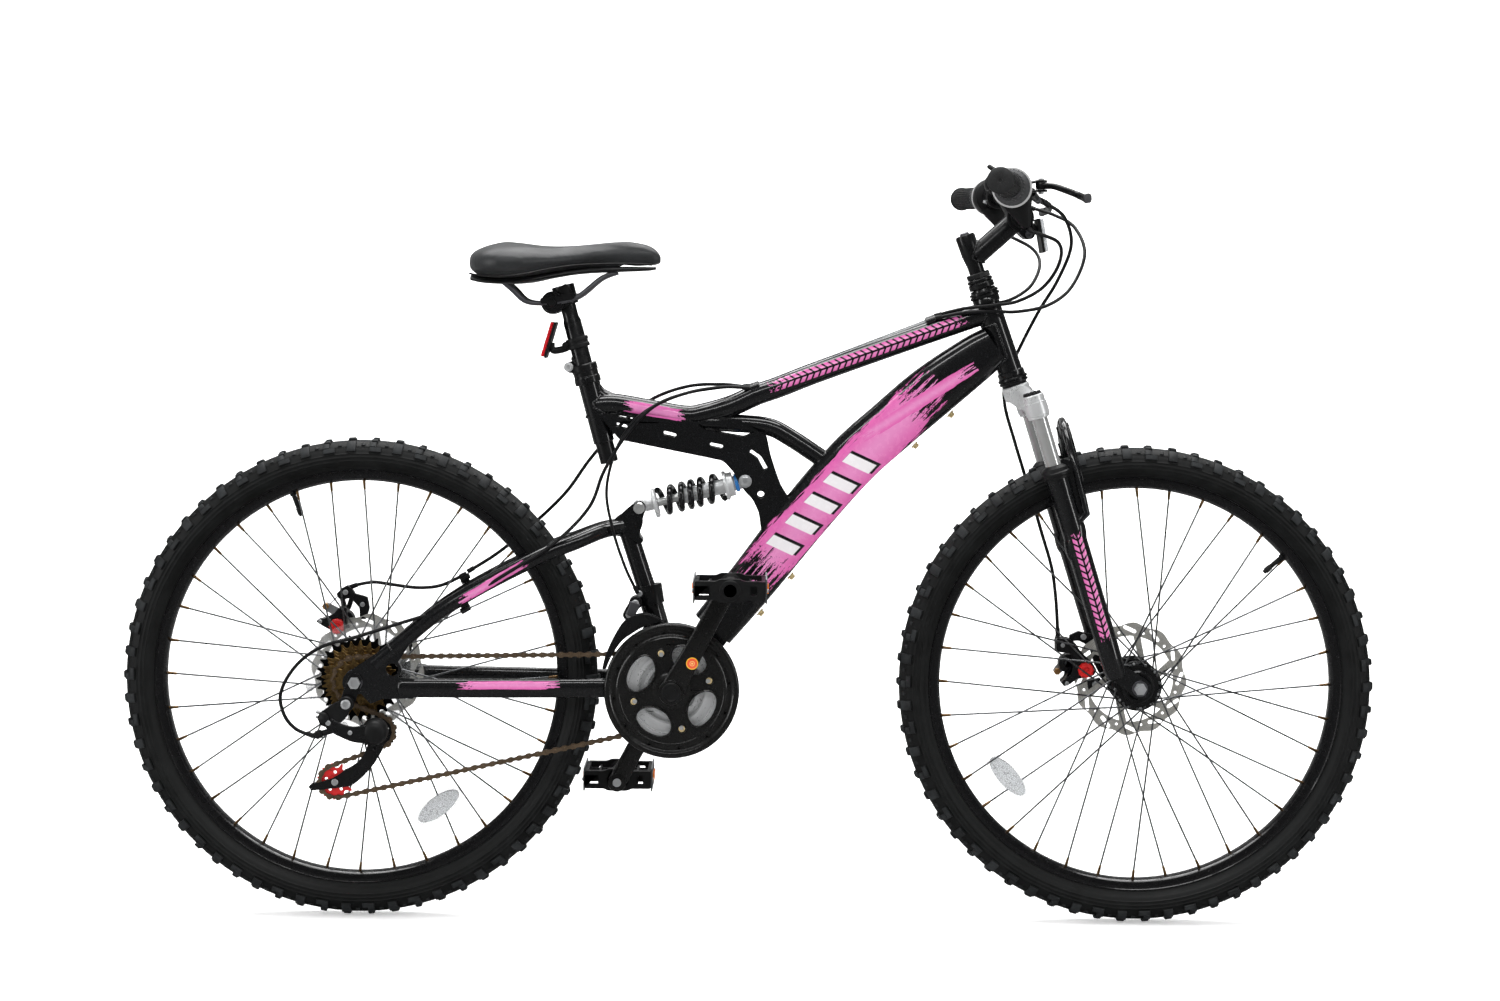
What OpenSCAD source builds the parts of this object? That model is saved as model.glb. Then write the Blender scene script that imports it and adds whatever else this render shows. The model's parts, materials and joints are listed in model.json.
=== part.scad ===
// Full-suspension mountain bike with 26 inch wheels, 3 x 7 gears and mechanical disc brakes.
// +X points forward, +Y to the rider's left, +Z up. The origin is on the ground, midway
// between the two tyre contact points, in the middle plane. All sizes are in millimetres.

/* [Wheels] */
// Distance between the wheel axles
wheelbase = 1075.6; // [1070:0.1:1080]
// Outer radius of the tyres
tyre_r = 332; // [330:0.5:334]
// Width of the tyres
tyre_w = 52; // [50:1:54]
// Width of the rims
rim_w = 28; // [27:0.5:29]
// Spokes in each wheel
spokes = 36; // [32:4:36]
// Radius of the brake discs
disc_r = 80; // [76:1:82]

/* [Drive] */
// Length of the crank arms between centres
crank_l = 170; // [165:1:172]
// Angle of the drive-side crank above the forward direction
crank_a = 62; // [50:1:70]
// Radius of the plastic guard over the chainrings
guard_r = 93; // [91:1:96]
// Links in the chain
chain_links = 110; // [110:1:110]

/* [Frame tubes] */
// Radius of the head tube
head_r = 17; // [16.5:0.5:18.5]
// Radius of the top tube
top_r = 15; // [14:0.5:16]
// Depth of the down tube in the middle of its length
down_d = 74; // [70:1:76]
// Width of the down tube
down_w = 44; // [42:1:48]
// Radius of the seat tube
seat_r = 14.3; // [14.1:0.1:15]
// Radius of the seat post
post_r = 12.7; // [12.5:0.1:12.7]

/* [Suspension] */
// Radius of the fork's inner tubes
stanchion_r = 11; // [10:0.5:12]
// Radius of the fork's lower legs
leg_r = 16; // [15:0.5:17]
// Half distance between the fork legs
leg_y = 60; // [59:0.5:62]
// Outer radius of the shock spring
spring_r = 20.5; // [20:0.5:21]
// Turns of the shock spring
spring_turns = 6; // [5:1:7]

/* [Contact points] */
// Half width of the handlebar
bar_half = 318; // [300:1:330]
// Width of the saddle
saddle_w = 172; // [160:1:180]
// Length of the saddle
saddle_l = 277; // [270:1:285]

/* [Hidden] */
$fn = 48;
pitch = 12.7;
gap = 0.06;

// Wheels
rear_axle_at = [-wheelbase / 2, tyre_r];
front_axle_at = [wheelbase / 2, tyre_r];
rim_out = 287;
rim_in = 273;
tyre_c = tyre_r - tyre_w / 2;
front_disc_y = 41;
rear_disc_y = 52;

// Steering axis, from the headset down to the crown
head_top = [325, 868];
head_bot = [363.7, 756.4];
steer_dir = (head_bot - head_top) / norm(head_bot - head_top);
function on_steer(s) = head_top + steer_dir * s;
head_l = norm(head_bot - head_top);
bar_at = [371.2, 979];

// Fork legs
crown_at = [386, 733];
leg_lean = 17.2;
leg_dir = [sin(leg_lean), -cos(leg_lean)];
function on_leg(s) = crown_at + leg_dir * s;
leg_top_s = 113;
leg_end_s = 404;

// Rear half
bb_at = [-105.1, 323.5];
pivot_at = [-72, 362];
shock_front = [-7, 608.6];
shock_rear = [-153.9, 570];
shock_dir = (shock_front - shock_rear) / norm(shock_front - shock_rear);
function on_shock(s) = shock_rear + shock_dir * s;
shock_l = norm(shock_front - shock_rear);
strut_top = [-174.7, 551.8];

// Seat post axis, upwards
seat_low = [-204.4, 661];
seat_high = [-232.6, 763];
seat_dir = (seat_high - seat_low) / norm(seat_high - seat_low);
function on_seat(s) = seat_low + seat_dir * s;
seat_l = norm(seat_high - seat_low);
clamp_at = [-277, 853.8];

// Drive train
cog_teeth = [28, 24, 22, 20, 18, 16, 14];
cog_y0 = -27;
cog_step = 5;
ring_teeth = [24, 34, 42];
ring_y = [-44, -50, -56];
chain_y_front = ring_y[0];
chain_y_rear = cog_y0 - 5 * cog_step;
upper_at = [-508, 262];
cage_l = 90;
cage_a = 230;
lower_at = upper_at + cage_l * [cos(cage_a), sin(cage_a)];
right_pedal_at = bb_at + crank_l * [cos(crank_a), sin(crank_a)];
left_pedal_at = bb_at - crank_l * [cos(crank_a), sin(crank_a)];
pedal_y = 130;
hanger_at = [-547.5, 304.5];

// Handlebar ends
bar_r = 11.1;
ring_at = [338, 1014];
end_at = [317, 1016];

// ---- helper functions ----
function unit(v) = v / norm(v);
function mix(a, b, t) = a + (b - a) * t;
function xyz(p, y = 0) = [p[0], y, p[1]];
function wrap(a) = a - 360 * floor(a / 360);
function total(v, i = 0) = i < len(v) ? v[i] + total(v, i + 1) : 0;
function pitch_r(n) = pitch * n / (2 * PI);

// Smooth curve through points, with `per` pieces between neighbours
function curve_point(a, b, c, d, t) =
    ((2 * b) + (c - a) * t + (2 * a - 5 * b + 4 * c - d) * t * t + (3 * b - a - 3 * c + d) * t * t * t) / 2;
function curve(p, per) = let (n = len(p)) concat(
    [for (i = [0 : n - 2], k = [0 : per - 1])
        curve_point(p[max(i - 1, 0)], p[i], p[i + 1], p[min(i + 2, n - 1)], k / per)],
    [p[n - 1]]);

// Cross directions carried along a path without twist
function path_dir(p, i) = unit(p[min(i + 1, len(p) - 1)] - p[max(i - 1, 0)]);
function side_dirs(p, i, last) = let (t = path_dir(p, i), s = unit(last - (last * t) * t))
    i == len(p) - 1 ? [s] : concat([s], side_dirs(p, i + 1, s));

// Skin over a list of rings with equal point counts, closed by flat ends
module skin(rings) {
    n = len(rings[0]);
    m = len(rings);
    sides = [for (i = [0 : m - 2], j = [0 : n - 1])
        let (a = i * n + j, b = i * n + (j + 1) % n)
            each [[a, b, b + n], [a, b + n, a + n]]];
    first = [for (j = [n - 1 : -1 : 0]) j];
    last = [for (j = [0 : n - 1]) (m - 1) * n + j];
    polyhedron([for (r = rings) each r], concat([first], sides, [last]));
}

// Round or oval rod along a path; a is the half size along `up`, b across it
module sweep(path, a, b, up = [0, 1, 0], sides = 12) {
    s = side_dirs(path, 0, up);
    skin([for (i = [0 : len(path) - 1])
        let (t = path_dir(path, i), u = s[i], v = cross(t, u))
            [for (k = [sides - 1 : -1 : 0]) let (q = 360 * k / sides)
                path[i] + u * a * cos(q) + v * b * sin(q)]]);
}
module pipe(points, r, per = 5, sides = 12) sweep(curve(points, per), r, r, [0.1, 1, 0.05], sides);

// ---- helper shapes ----
module aim(a, b) {
    d = b - a;
    translate(a) rotate([0, acos(d[2] / norm(d)), atan2(d[1], d[0])]) children();
}
module rod(a, b, r) aim(a, b) cylinder(h = norm(b - a), r = r);
module tube(a, b, ro, ri) aim(a, b) difference() {
    cylinder(h = norm(b - a), r = ro);
    translate([0, 0, -1]) cylinder(h = norm(b - a) + 2, r = ri);
}
module pin(c, y0, y1, r) translate([c[0], y0, c[1]]) rotate([-90, 0, 0]) cylinder(h = y1 - y0, r = r);
module hex_pin(c, y0, y1, r) pin(c, y0, y1, r, $fn = 6);
module bush(c, y0, y1, ro, ri) difference() {
    pin(c, y0, y1, ro);
    pin(c, y0 - 1, y1 + 1, ri);
}
module slab(y0, y1) translate([0, y1, 0]) rotate([90, 0, 0]) linear_extrude(y1 - y0) children();
module both() { children(); mirror([0, 1, 0]) children(); }
module turned(c, y = 0) translate([c[0], y, c[1]]) rotate([-90, 0, 0]) rotate_extrude() children();
module strap(p, q, r) {
    d = unit(q - p);
    n = [-d[1], d[0]] * r;
    polygon([p + n, p - n, q - n, q + n]);
    translate(p) circle(r);
    translate(q) circle(r);
}

// ---- wheels ----
tyre_arc = [for (a = [-30 : 12 : 210]) [sin(a), cos(a)]];
module tyre_section() {
    r = tyre_w / 2;
    inner = r - 3;
    polygon(concat(
        [[281, 12.2], [288.3, 12.2]],
        [for (p = tyre_arc) [tyre_c + r * p[0], r * p[1]]],
        [[288.3, -12.2], [281, -12.2], [281, -9.6], [288.3, -9.6]],
        [for (i = [len(tyre_arc) - 1 : -1 : 0]) [tyre_c + inner * tyre_arc[i][0], inner * tyre_arc[i][1]]],
        [[288.3, 9.6], [281, 9.6]]));
}
module rim_section() {
    h = rim_w / 2;
    polygon([[rim_out, h], [278, h], [rim_in, 8], [rim_in, -8], [278, -h], [rim_out, -h],
        [rim_out, 1.4 - h], [280.5, 1.4 - h], [280.5, h - 1.4], [rim_out, h - 1.4]]);
}
// Tyre with its inner tube and valve
module tyre(c, valve_a) {
    turned(c) tyre_section();
    turned(c) translate([tyre_c, 0]) circle(tyre_w / 2 - 6);
    translate(xyz(c)) rotate([0, 90 - valve_a, 0]) translate([0, 0, 238]) cylinder(h = 60, r = 3);
}
module rim(c, valve_a) difference() {
    turned(c) rim_section();
    translate(xyz(c)) rotate([0, 90 - valve_a, 0]) translate([0, 0, 260]) cylinder(h = 40, r = 4);
}
// Crossed spokes with nipples: they leave the flanges almost along the tangent
module spoke_set(c, flange_r, y_left, y_right) {
    half = spokes / 2;
    cross_a = 3 * 360 / half;
    for (i = [0 : half - 1], side = [0, 1], way = [-1, 1]) if (i % 2 == (way + 1) / 2) {
        rim_a = (i + side / 2) * 360 / half;
        hub_a = rim_a + way * cross_a;
        flange = side == 0 ? y_left : -y_right;
        a = [c[0] + flange_r * cos(hub_a), flange + way * 2.9, c[1] + flange_r * sin(hub_a)];
        b = [c[0] + (rim_in - 0.3) * cos(rim_a), (side == 0 ? 4 : -4), c[1] + (rim_in - 0.3) * sin(rim_a)];
        u = unit(b - a);
        rod(a, b, 1);
        rod(b - u * 12, b, 2);
    }
}
module hub(c, shell_r, flange_r, y_left, y_right, end_left, end_right, bore) difference() {
    union() {
        pin(c, -y_right, y_left, shell_r);
        pin(c, y_left - 1.5, y_left + 1.5, flange_r);
        pin(c, -y_right - 1.5, -y_right + 1.5, flange_r);
        pin(c, y_left, end_left, shell_r + 3);
        pin(c, -end_right, -y_right, shell_r);
    }
    pin(c, -end_right - 1, end_left + 1, bore);
    for (k = [0 : 8]) {
        a = k * 40;
        h = c + (flange_r - 9) * [cos(a), sin(a)];
        pin(h, -y_right - 4, -y_right + 4, shell_r < flange_r - 12 ? 2.2 : 0.8);
    }
}
// Brake disc with a wavy edge, a slotted braking band and six arms
module disc(c, y, hub_r) slab(y - 1, y + 1) translate(c) difference() {
    union() {
        difference() {
            polygon([for (k = [0 : 5 : 355]) (disc_r - 1.5 - 1.5 * cos(k * 12)) * [cos(k), sin(k)]]);
            circle(disc_r - 16);
        }
        circle(hub_r + 9);
        for (k = [0 : 60 : 300]) strap((hub_r + 6) * [cos(k), sin(k)], (disc_r - 15) * [cos(k + 24), sin(k + 24)], 4);
    }
    circle(hub_r);
    for (k = [0 : 15 : 345]) rotate(k) translate([disc_r - 9, 0]) circle(2.6);
    for (k = [30 : 60 : 330]) rotate(k) translate([hub_r + 4.5, 0]) circle(2.4);
}
module front_tyre() color([0.06, 0.06, 0.065]) tyre(front_axle_at, 41);
module front_rim() color([0.05, 0.05, 0.05]) rim(front_axle_at, 41);
module front_spokes() color([0.7, 0.7, 0.72]) spoke_set(front_axle_at, 27, 24, 33);
module front_hub() color([0.05, 0.05, 0.05]) hub(front_axle_at, 14, 29, 24, 33, 39.9, 42, 4.56);
module front_rotor() color([0.75, 0.75, 0.77]) disc(front_axle_at, front_disc_y, 17.3);
module front_axle() color([0.6, 0.6, 0.62]) {
    pin(front_axle_at, -68, 68, 4.5);
    both() bush(front_axle_at, 42.5, 49.9, 8, 4.5);
    both() difference() {
        hex_pin(front_axle_at, 56.2, 64, 8.5);
        pin(front_axle_at, 56, 65, 4.5);
    }
}
module rear_tyre() color([0.06, 0.06, 0.065]) tyre(rear_axle_at, 111.5);
module rear_rim() color([0.05, 0.05, 0.05]) rim(rear_axle_at, 111.5);
module rear_spokes() color([0.7, 0.7, 0.72]) spoke_set(rear_axle_at, 27, 32, 17);
module rear_hub() color([0.55, 0.55, 0.57]) hub(rear_axle_at, 16, 29, 32, 17, 50.9, 20.5, 5.06);
module rear_rotor() color([0.75, 0.75, 0.77]) disc(rear_axle_at, rear_disc_y, 19.3);
module rear_axle() color([0.6, 0.6, 0.62]) {
    pin(rear_axle_at, -80, 80, 5);
    bush(rear_axle_at, 55, 67.4, 9, 5);
    bush(rear_axle_at, -67.4, -61, 9, 5);
    both() difference() {
        hex_pin(rear_axle_at, 75.2, 82, 8.5);
        pin(rear_axle_at, 75, 83, 5);
    }
}

// ---- chain path ----
// Wheels of the chain path: centre, radius, turning sense
path_c = [bb_at, rear_axle_at, upper_at, lower_at];
path_r = [pitch_r(24), pitch_r(16), pitch_r(11), pitch_r(11)];
path_s = [1, 1, -1, 1];
heading = [for (i = [0 : 3]) let (j = (i + 1) % 4, d = path_c[j] - path_c[i])
    atan2(d[1], d[0]) - asin((path_s[j] * path_r[j] - path_s[i] * path_r[i]) / norm(d))];
span = [for (i = [0 : 3]) let (j = (i + 1) % 4)
    sqrt(pow(norm(path_c[j] - path_c[i]), 2) - pow(path_s[j] * path_r[j] - path_s[i] * path_r[i], 2))];
arc = [for (i = [0 : 3]) let (j = (i + 1) % 4)
    path_r[j] * wrap(path_s[j] * (heading[j] - heading[i])) * PI / 180];
seg_start = [for (i = [0 : 3]) i == 0 ? 0 : total([for (k = [0 : i - 1]) span[k] + arc[k]])];
chain_l = total(span) + total(arc);
link_l = chain_l / chain_links;
function seg_of(s) = s >= seg_start[3] ? 3 : s >= seg_start[2] ? 2 : s >= seg_start[1] ? 1 : 0;
function wheel_angle(i, s) = let (j = (i + 1) % 4)
    heading[i] - 90 * path_s[j] + path_s[j] * (s - seg_start[i] - span[i]) / path_r[j] * 180 / PI;
function chain_xz(s) = let (i = seg_of(s), j = (i + 1) % 4, u = s - seg_start[i])
    u < span[i]
        ? path_c[i] + path_r[i] * [cos(heading[i] - 90 * path_s[i]), sin(heading[i] - 90 * path_s[i])]
            + u * [cos(heading[i]), sin(heading[i])]
        : path_c[j] + path_r[j] * [cos(wheel_angle(i, s)), sin(wheel_angle(i, s))];
// Sideways place of the chain: straight from the ring's plane to the cog's plane
function chain_y(x) = mix(chain_y_front, chain_y_rear,
    min(1, max(0, (bb_at[0] - 60 - x) / (bb_at[0] - 60 - upper_at[0] - 8))));
function chain_point(k) = let (p = chain_xz(wrap_s(k * link_l))) [p[0], chain_y(p[0]), p[1]];
function wrap_s(s) = s - chain_l * floor(s / chain_l);
// Angle of one chain roller on wheel j
function roller_angle(j) = let (i = (j + 3) % 4, k = ceil((seg_start[i] + span[i]) / link_l)) wheel_angle(i, k * link_l);

module chain() color([0.35, 0.27, 0.18]) {
    for (k = [0 : chain_links - 1]) let (p = chain_point(k))
        pin([p[0], p[2]], p[1] - 2.1, p[1] + 2.1, 3.8);
    for (side = [-1, 1]) chain_strip(side * 2.9);
}
module chain_strip(dy) {
    n = chain_links;
    pts = [for (k = [0 : n - 1]) let (p = chain_point(k), q = chain_point(k + 1), o = chain_point(k - 1),
            t = unit(q - o), v = unit(cross(t, [0, 1, 0])))
        each [p + v * 3.6 + [0, dy - 0.6, 0], p + v * 3.6 + [0, dy + 0.6, 0],
            p - v * 3.6 + [0, dy + 0.6, 0], p - v * 3.6 + [0, dy - 0.6, 0]]];
    faces = [for (i = [0 : n - 1], j = [0 : 3])
        let (a = i * 4 + j, b = i * 4 + (j + 1) % 4, c = ((i + 1) % n) * 4)
            each [[a, b, c + (j + 1) % 4], [a, c + (j + 1) % 4, c + j]]];
    polyhedron(pts, faces);
}
// Toothed outline with a gap centred on the angle `phase`
module teeth(n, phase) {
    r = pitch_r(n);
    shape = [[-0.2, -4.2], [0.2, -4.2], [0.385, 1], [0.45, 3.8], [0.55, 3.8], [0.615, 1]];
    polygon([for (k = [0 : n - 1], s = shape)
        let (a = phase + (k + s[0]) * 360 / n) (r + s[1]) * [cos(a), sin(a)]]);
}
module sprocket(c, y, n, phase, bore, t = 1.8) slab(y - t / 2, y + t / 2) translate(c) difference() {
    teeth(n, phase);
    circle(bore);
}
// Seven-speed freewheel
module sprockets() color([0.38, 0.28, 0.16]) {
    phase = roller_angle(1);
    difference() {
        union() {
            for (i = [0 : 6]) sprocket(rear_axle_at, cog_y0 - i * cog_step, cog_teeth[i], phase, 16);
            bush(rear_axle_at, cog_y0 - 6 * cog_step - 1.5, -23, 19, 5.06);
        }
        pin(rear_axle_at, -62, -22, 12);
    }
    bush(rear_axle_at, cog_y0 - 6 * cog_step - 1.5, -23, 11.9, 5.06);
}
module upper_pulley() color([0.1, 0.1, 0.1]) sprocket(upper_at, chain_y_rear, 11, roller_angle(2), 4.05, 2.4);
module lower_pulley() color([0.75, 0.05, 0.05]) sprocket(lower_at, chain_y_rear, 11, roller_angle(3), 4.05, 2.4);

// ---- cranks ----
bolt_angles = [for (k = [0 : 3]) 16 + 90 * k];
module chainrings() color([0.72, 0.73, 0.75]) difference() {
    union() {
        for (i = [0 : 2]) slab(ring_y[i] - 0.95, ring_y[i] + 0.95) translate(bb_at) difference() {
            teeth(ring_teeth[i], roller_angle(0));
            circle(i == 2 ? 44 : 30);
        }
        for (a = bolt_angles) {
            pin(bb_at + 36 * [cos(a + 45), sin(a + 45)], ring_y[1], ring_y[0], 3.4);
            pin(bb_at + 52 * [cos(a), sin(a)], ring_y[2], ring_y[1], 5);
        }
    }
    for (a = bolt_angles) pin(bb_at + 52 * [cos(a), sin(a)], ring_y[2] - 2, ring_y[1] + 2, 3.1);
}
module chain_guard() color([0.04, 0.04, 0.04]) turned(bb_at) polygon(
    [[84, -62], [guard_r - 1, -62], [guard_r, -60], [guard_r, -54], [guard_r - 2, -54], [guard_r - 3, -59],
    [71, -59], [70, -62], [76, -64]]);
module crank_arms() {
    color([0.05, 0.05, 0.05]) difference() {
        union() {
            slab(-65, -57.2) difference() {
                translate(bb_at) union() {
                    circle(24);
                    for (a = bolt_angles) strap([0, 0], 56 * [cos(a), sin(a)], 8.5);
                    difference() {
                        circle(69);
                        circle(60);
                    }
                }
                for (a = bolt_angles) translate(bb_at + 52 * [cos(a), sin(a)]) circle(3.1);
            }
            arm(bb_at, right_pedal_at, -80, -66, 19, 13);
            pin(bb_at, -84, -57, 18);
        }
        pin(bb_at, -78, -50, 8.6);
        pin(right_pedal_at, -90, -60, 6.05);
    }
    color([0.05, 0.05, 0.05]) difference() {
        union() {
            arm(bb_at, left_pedal_at, 66, 80, 19, 13);
            pin(bb_at, 57, 82, 18);
        }
        pin(bb_at, 50, 78, 8.6);
        pin(left_pedal_at, 60, 90, 6.05);
    }
}
// Crank arm that narrows from the spindle to the pedal
module arm(a, b, y0, y1, ra, rb) {
    d = unit(b - a);
    n = [-d[1], d[0]];
    slab(y0, y1) {
        polygon([a + n * (ra - 0.5), a - n * (ra - 0.5), b - n * (rb - 0.5), b + n * (rb - 0.5)]);
        translate(a) circle(ra);
        translate(b) circle(rb);
    }
}
module crank_spindle() color([0.6, 0.6, 0.62]) {
    pin(bb_at, -77, 77, 8.5);
    for (a = bolt_angles) pin(bb_at + 52 * [cos(a), sin(a)], -66.5, ring_y[1] + 1, 3);
}
module pedal_axles() color([0.6, 0.6, 0.62]) {
    pin(right_pedal_at, -175, -66, 6);
    pin(left_pedal_at, 66, 175, 6);
    bush(right_pedal_at, -86, -80.1, 9, 6);
    bush(left_pedal_at, 80.1, 86, 9, 6);
}
// Platform pedal: a core with two side bars, end bars and toothed cage plates
module pedal(c) {
    difference() {
        union() {
            pin(c, 88, 178, 13);
            for (y = [90, 168]) slab(y, y + 9) translate(c) square([96, 24], center = true);
            for (x = [-47, 41]) translate([c[0] + x, 90, c[1] - 12]) cube([6, 87, 24]);
            translate([c[0] - 41, 127, c[1] - 8]) cube([82, 12, 16]);
            for (x = [-50, 47.5], k = [0 : 6]) translate([c[0] + x, 93 + 12.2 * k, c[1] - 17]) cube([2.5, 7, 34]);
            for (x = [-50, 47.5]) translate([c[0] + x, 92, c[1] - 13]) cube([2.5, 84, 26]);
        }
        pin(c, 80, 176, 6.06);
    }
}
module right_pedal() color([0.07, 0.07, 0.07]) mirror([0, 1, 0]) pedal(right_pedal_at);
module left_pedal() color([0.07, 0.07, 0.07]) pedal(left_pedal_at);
module bottom_bracket_cups() color([0.3, 0.3, 0.32]) both() bush(bb_at, 20, 38, 17.4, 8.56);

// ---- front frame ----
// Down tube stations from the head tube to the pivot: place, direction of the axis, depth
down_stations = [[[338, 801], 36, 56], [[312, 782], 38, down_d - 9], [[251.5, 735.5], 42, down_d],
    [[195.8, 687.2], 43.5, down_d], [[140.6, 636.5], 46, down_d], [[74.3, 559], 50.5, down_d - 2],
    [[3.5, 467.9], 54.5, down_d - 7], [[-50, 402], 54, down_d - 12]];
// Rounded box outline across the axis of the down tube
function down_ring(s) = [for (k = [0 : 23]) let (a = 15 * k, c = cos(a), q = sin(a),
        w = sign(c) * pow(abs(c), 0.62) * down_w / 2, h = sign(q) * pow(abs(q), 0.62) * s[2] / 2)
    xyz(s[0] + h * [-sin(s[1]), cos(s[1])], w)];
top_path = [[-216, 711.5], [-190, 713.2], [-140.6, 705.4], [-91.2, 697.7], [-65, 701.2], [-25.5, 713.2],
    [7.2, 728.3], [40, 740.2], [95, 762.2], [220, 808], [330, 847]];
brace_path = [[-78, 690], [-25.6, 688.5], [24.1, 684.1], [56.9, 668], [100, 640]];
plate_outline = [[-212, 700], [-182.3, 664.6], [-60, 641], [-37.9, 636.5], [-24, 622], [-16, 606],
    [-6, 593], [3.3, 584], [12, 566], [16, 538.5], [24, 520], [62, 575], [51.5, 588.5], [43, 602],
    [36, 620], [28, 645], [22.1, 672], [-20, 696], [-70, 690], [-140, 700]];
module plate_windows() {
    strap([-183, 699.5], [-167, 696], 3.2);
    strap([-185, 685.5], [-174, 683], 2.6);
    strap([-119, 674.5], [-106, 671.5], 2.8);
    strap([-54, 659], [-41, 656.3], 2.8);
    polygon([[-77, 695], [-66, 680], [-8, 669.5], [10, 679], [-55, 690]]);
    strap([-2, 645], [12, 637], 3);
    strap([12, 637], [22, 625], 3);
}
module main_frame() color([0.03, 0.03, 0.035]) difference() {
    union() {
        rod(xyz(head_top), xyz(head_bot), head_r);
        rod(xyz(on_steer(-0.01)), xyz(on_steer(9)), head_r + 2);
        rod(xyz(on_steer(head_l - 9)), xyz(head_bot), head_r + 2);
        rod(xyz(seat_low), xyz(seat_high), seat_r);
        pipe([for (p = top_path) xyz(p)], top_r, 3, 24);
        pipe([for (p = brace_path) xyz(p)], 12.5, 3, 20);
        pipe([xyz([-229, 752]), xyz([-210, 726]), xyz([-172, 712])], 11, 4, 16);
        skin([for (s = down_stations) down_ring(s)]);
        both() slab(12, 16) difference() {
            polygon(plate_outline);
            plate_windows();
        }
        both() slab(20, 26) {
            translate(pivot_at) circle(19);
            polygon([pivot_at + [-14, 13], pivot_at + [16, -11], [8, 440], [-35, 452]]);
        }
        for (p = [[249, 833], [4.6, 738]]) both() rod([p[0] - 8, 7, p[1] - 3], [p[0] + 8, 7, p[1] + 3], 4);
    }
    rod(xyz(on_steer(-5)), xyz(on_steer(head_l + 5)), head_r - 2);
    rod(xyz(on_seat(-5)), xyz(on_seat(seat_l + 5)), post_r + gap);
    pin(shock_front, -20, 20, 5.05);
    pin([14.9, 590.3], -20, 20, 5);
    pin(pivot_at, -30, 30, 8.05);
    both() pin(pivot_at, -0.01, 20, 21);
}
module headset_cups() color([0.08, 0.08, 0.08]) {
    headset_cup(0, 1);
    headset_cup(head_l, -1);
}
module headset_cup(s, way) difference() {
    union() {
        rod(xyz(on_steer(s)), xyz(on_steer(s + 12 * way)), head_r - 2.05);
        rod(xyz(on_steer(s - 0.05 * way)), xyz(on_steer(s - 8 * way)), head_r + 4);
        rod(xyz(on_steer(s - 8 * way)), xyz(on_steer(s - 12 * way)), head_r + 1);
    }
    rod(xyz(on_steer(s - 20)), xyz(on_steer(s + 20)), stem_r + gap);
}
stem_r = 12.7;
bottle_bolts = [[276.1, 705.9], [227, 662.2], [56.1, 478], [13.9, 427]];
module frame_bolts() color([0.7, 0.6, 0.35]) {
    pin(pivot_at, -26, 26, 8);
    both() pin(pivot_at, 26, 31, 12);
    pin(shock_front, -16, 16, 5);
    both() pin(shock_front, 16.05, 21, 8);
    for (p = bottle_bolts) rod(xyz(p + [0.76, -0.65] * 3), xyz(p + [0.76, -0.65] * 7), 4);
}
module seat_collar() color([0.1, 0.1, 0.1]) difference() {
    union() {
        rod(xyz(on_seat(seat_l - 22)), xyz(on_seat(seat_l + 6)), seat_r + 4);
        pin([-254.4, 764.5], -9, 9, 6.5);
    }
    rod(xyz(on_seat(seat_l - 30)), xyz(on_seat(seat_l + 0.05)), seat_r + 0.03);
    rod(xyz(on_seat(seat_l)), xyz(on_seat(seat_l + 10)), post_r + gap);
}
module rear_cables() color([0.05, 0.05, 0.05]) {
    for (y = [-9, 0, 9]) pipe([[240, y, 848], [120, y, 794], [7, y, 748]], 0.9, 3, 6);
    pipe([[4, -9, 748], [-60, -20, 744], [-120, -26, 728], [-175, -32, 690], [-210, -38, 630],
        [-222, -40, 570], [-300, -42, 530], [-395, -58, 478]], 2.5, 4, 8);
    pipe([[4, 9, 748], [-60, 20, 746], [-130, 28, 730], [-185, 34, 690], [-225, 40, 640],
        [-250, 42, 580], [-320, 44, 528], [-402, 60, 470]], 2.5, 4, 8);
    pipe([[4, 0, 748], [-50, 0, 737], [-120, -20, 722], [-158, -26, 690], [-176, -36, 640],
        [-194, -40, 590], [-197, -40, 540], [-190, -37, 480], [-183, -29, 448]], 1.4, 4, 6);
}

// ---- steering ----
module fork_upper() color([0.78, 0.79, 0.8]) {
    tube(xyz(on_steer(-33)), xyz(on_steer(head_l + 25)), stem_r, stem_r - 1.55);
    tube(xyz(on_steer(-33)), xyz(on_steer(-13)), 18, stem_r);
    difference() {
        union() {
            rod(xyz(on_steer(head_l + 14)), xyz(on_steer(head_l + 34)), 19);
            both() rod(xyz(crown_at, leg_y), xyz(on_leg(32), leg_y), 15.5);
            skin([for (y = [-leg_y, -40, -18, 18, 40, leg_y]) let (f = 1 - abs(y) / leg_y, c = mix(on_leg(16),
                on_steer(head_l + 26), f)) [for (k = [0 : 11]) let (a = 30 * k)
                    [c[0] + 13 * cos(a), y, c[1] + (11 + 4 * f) * sin(a)]]]);
        }
        rod(xyz(on_steer(head_l + 10)), xyz(on_steer(head_l + 40)), stem_r);
        both() rod(xyz(on_leg(4), leg_y), xyz(on_leg(60), leg_y), stanchion_r);
    }
    both() rod(xyz(on_leg(4), leg_y), xyz(on_leg(230), leg_y), stanchion_r);
}
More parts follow.
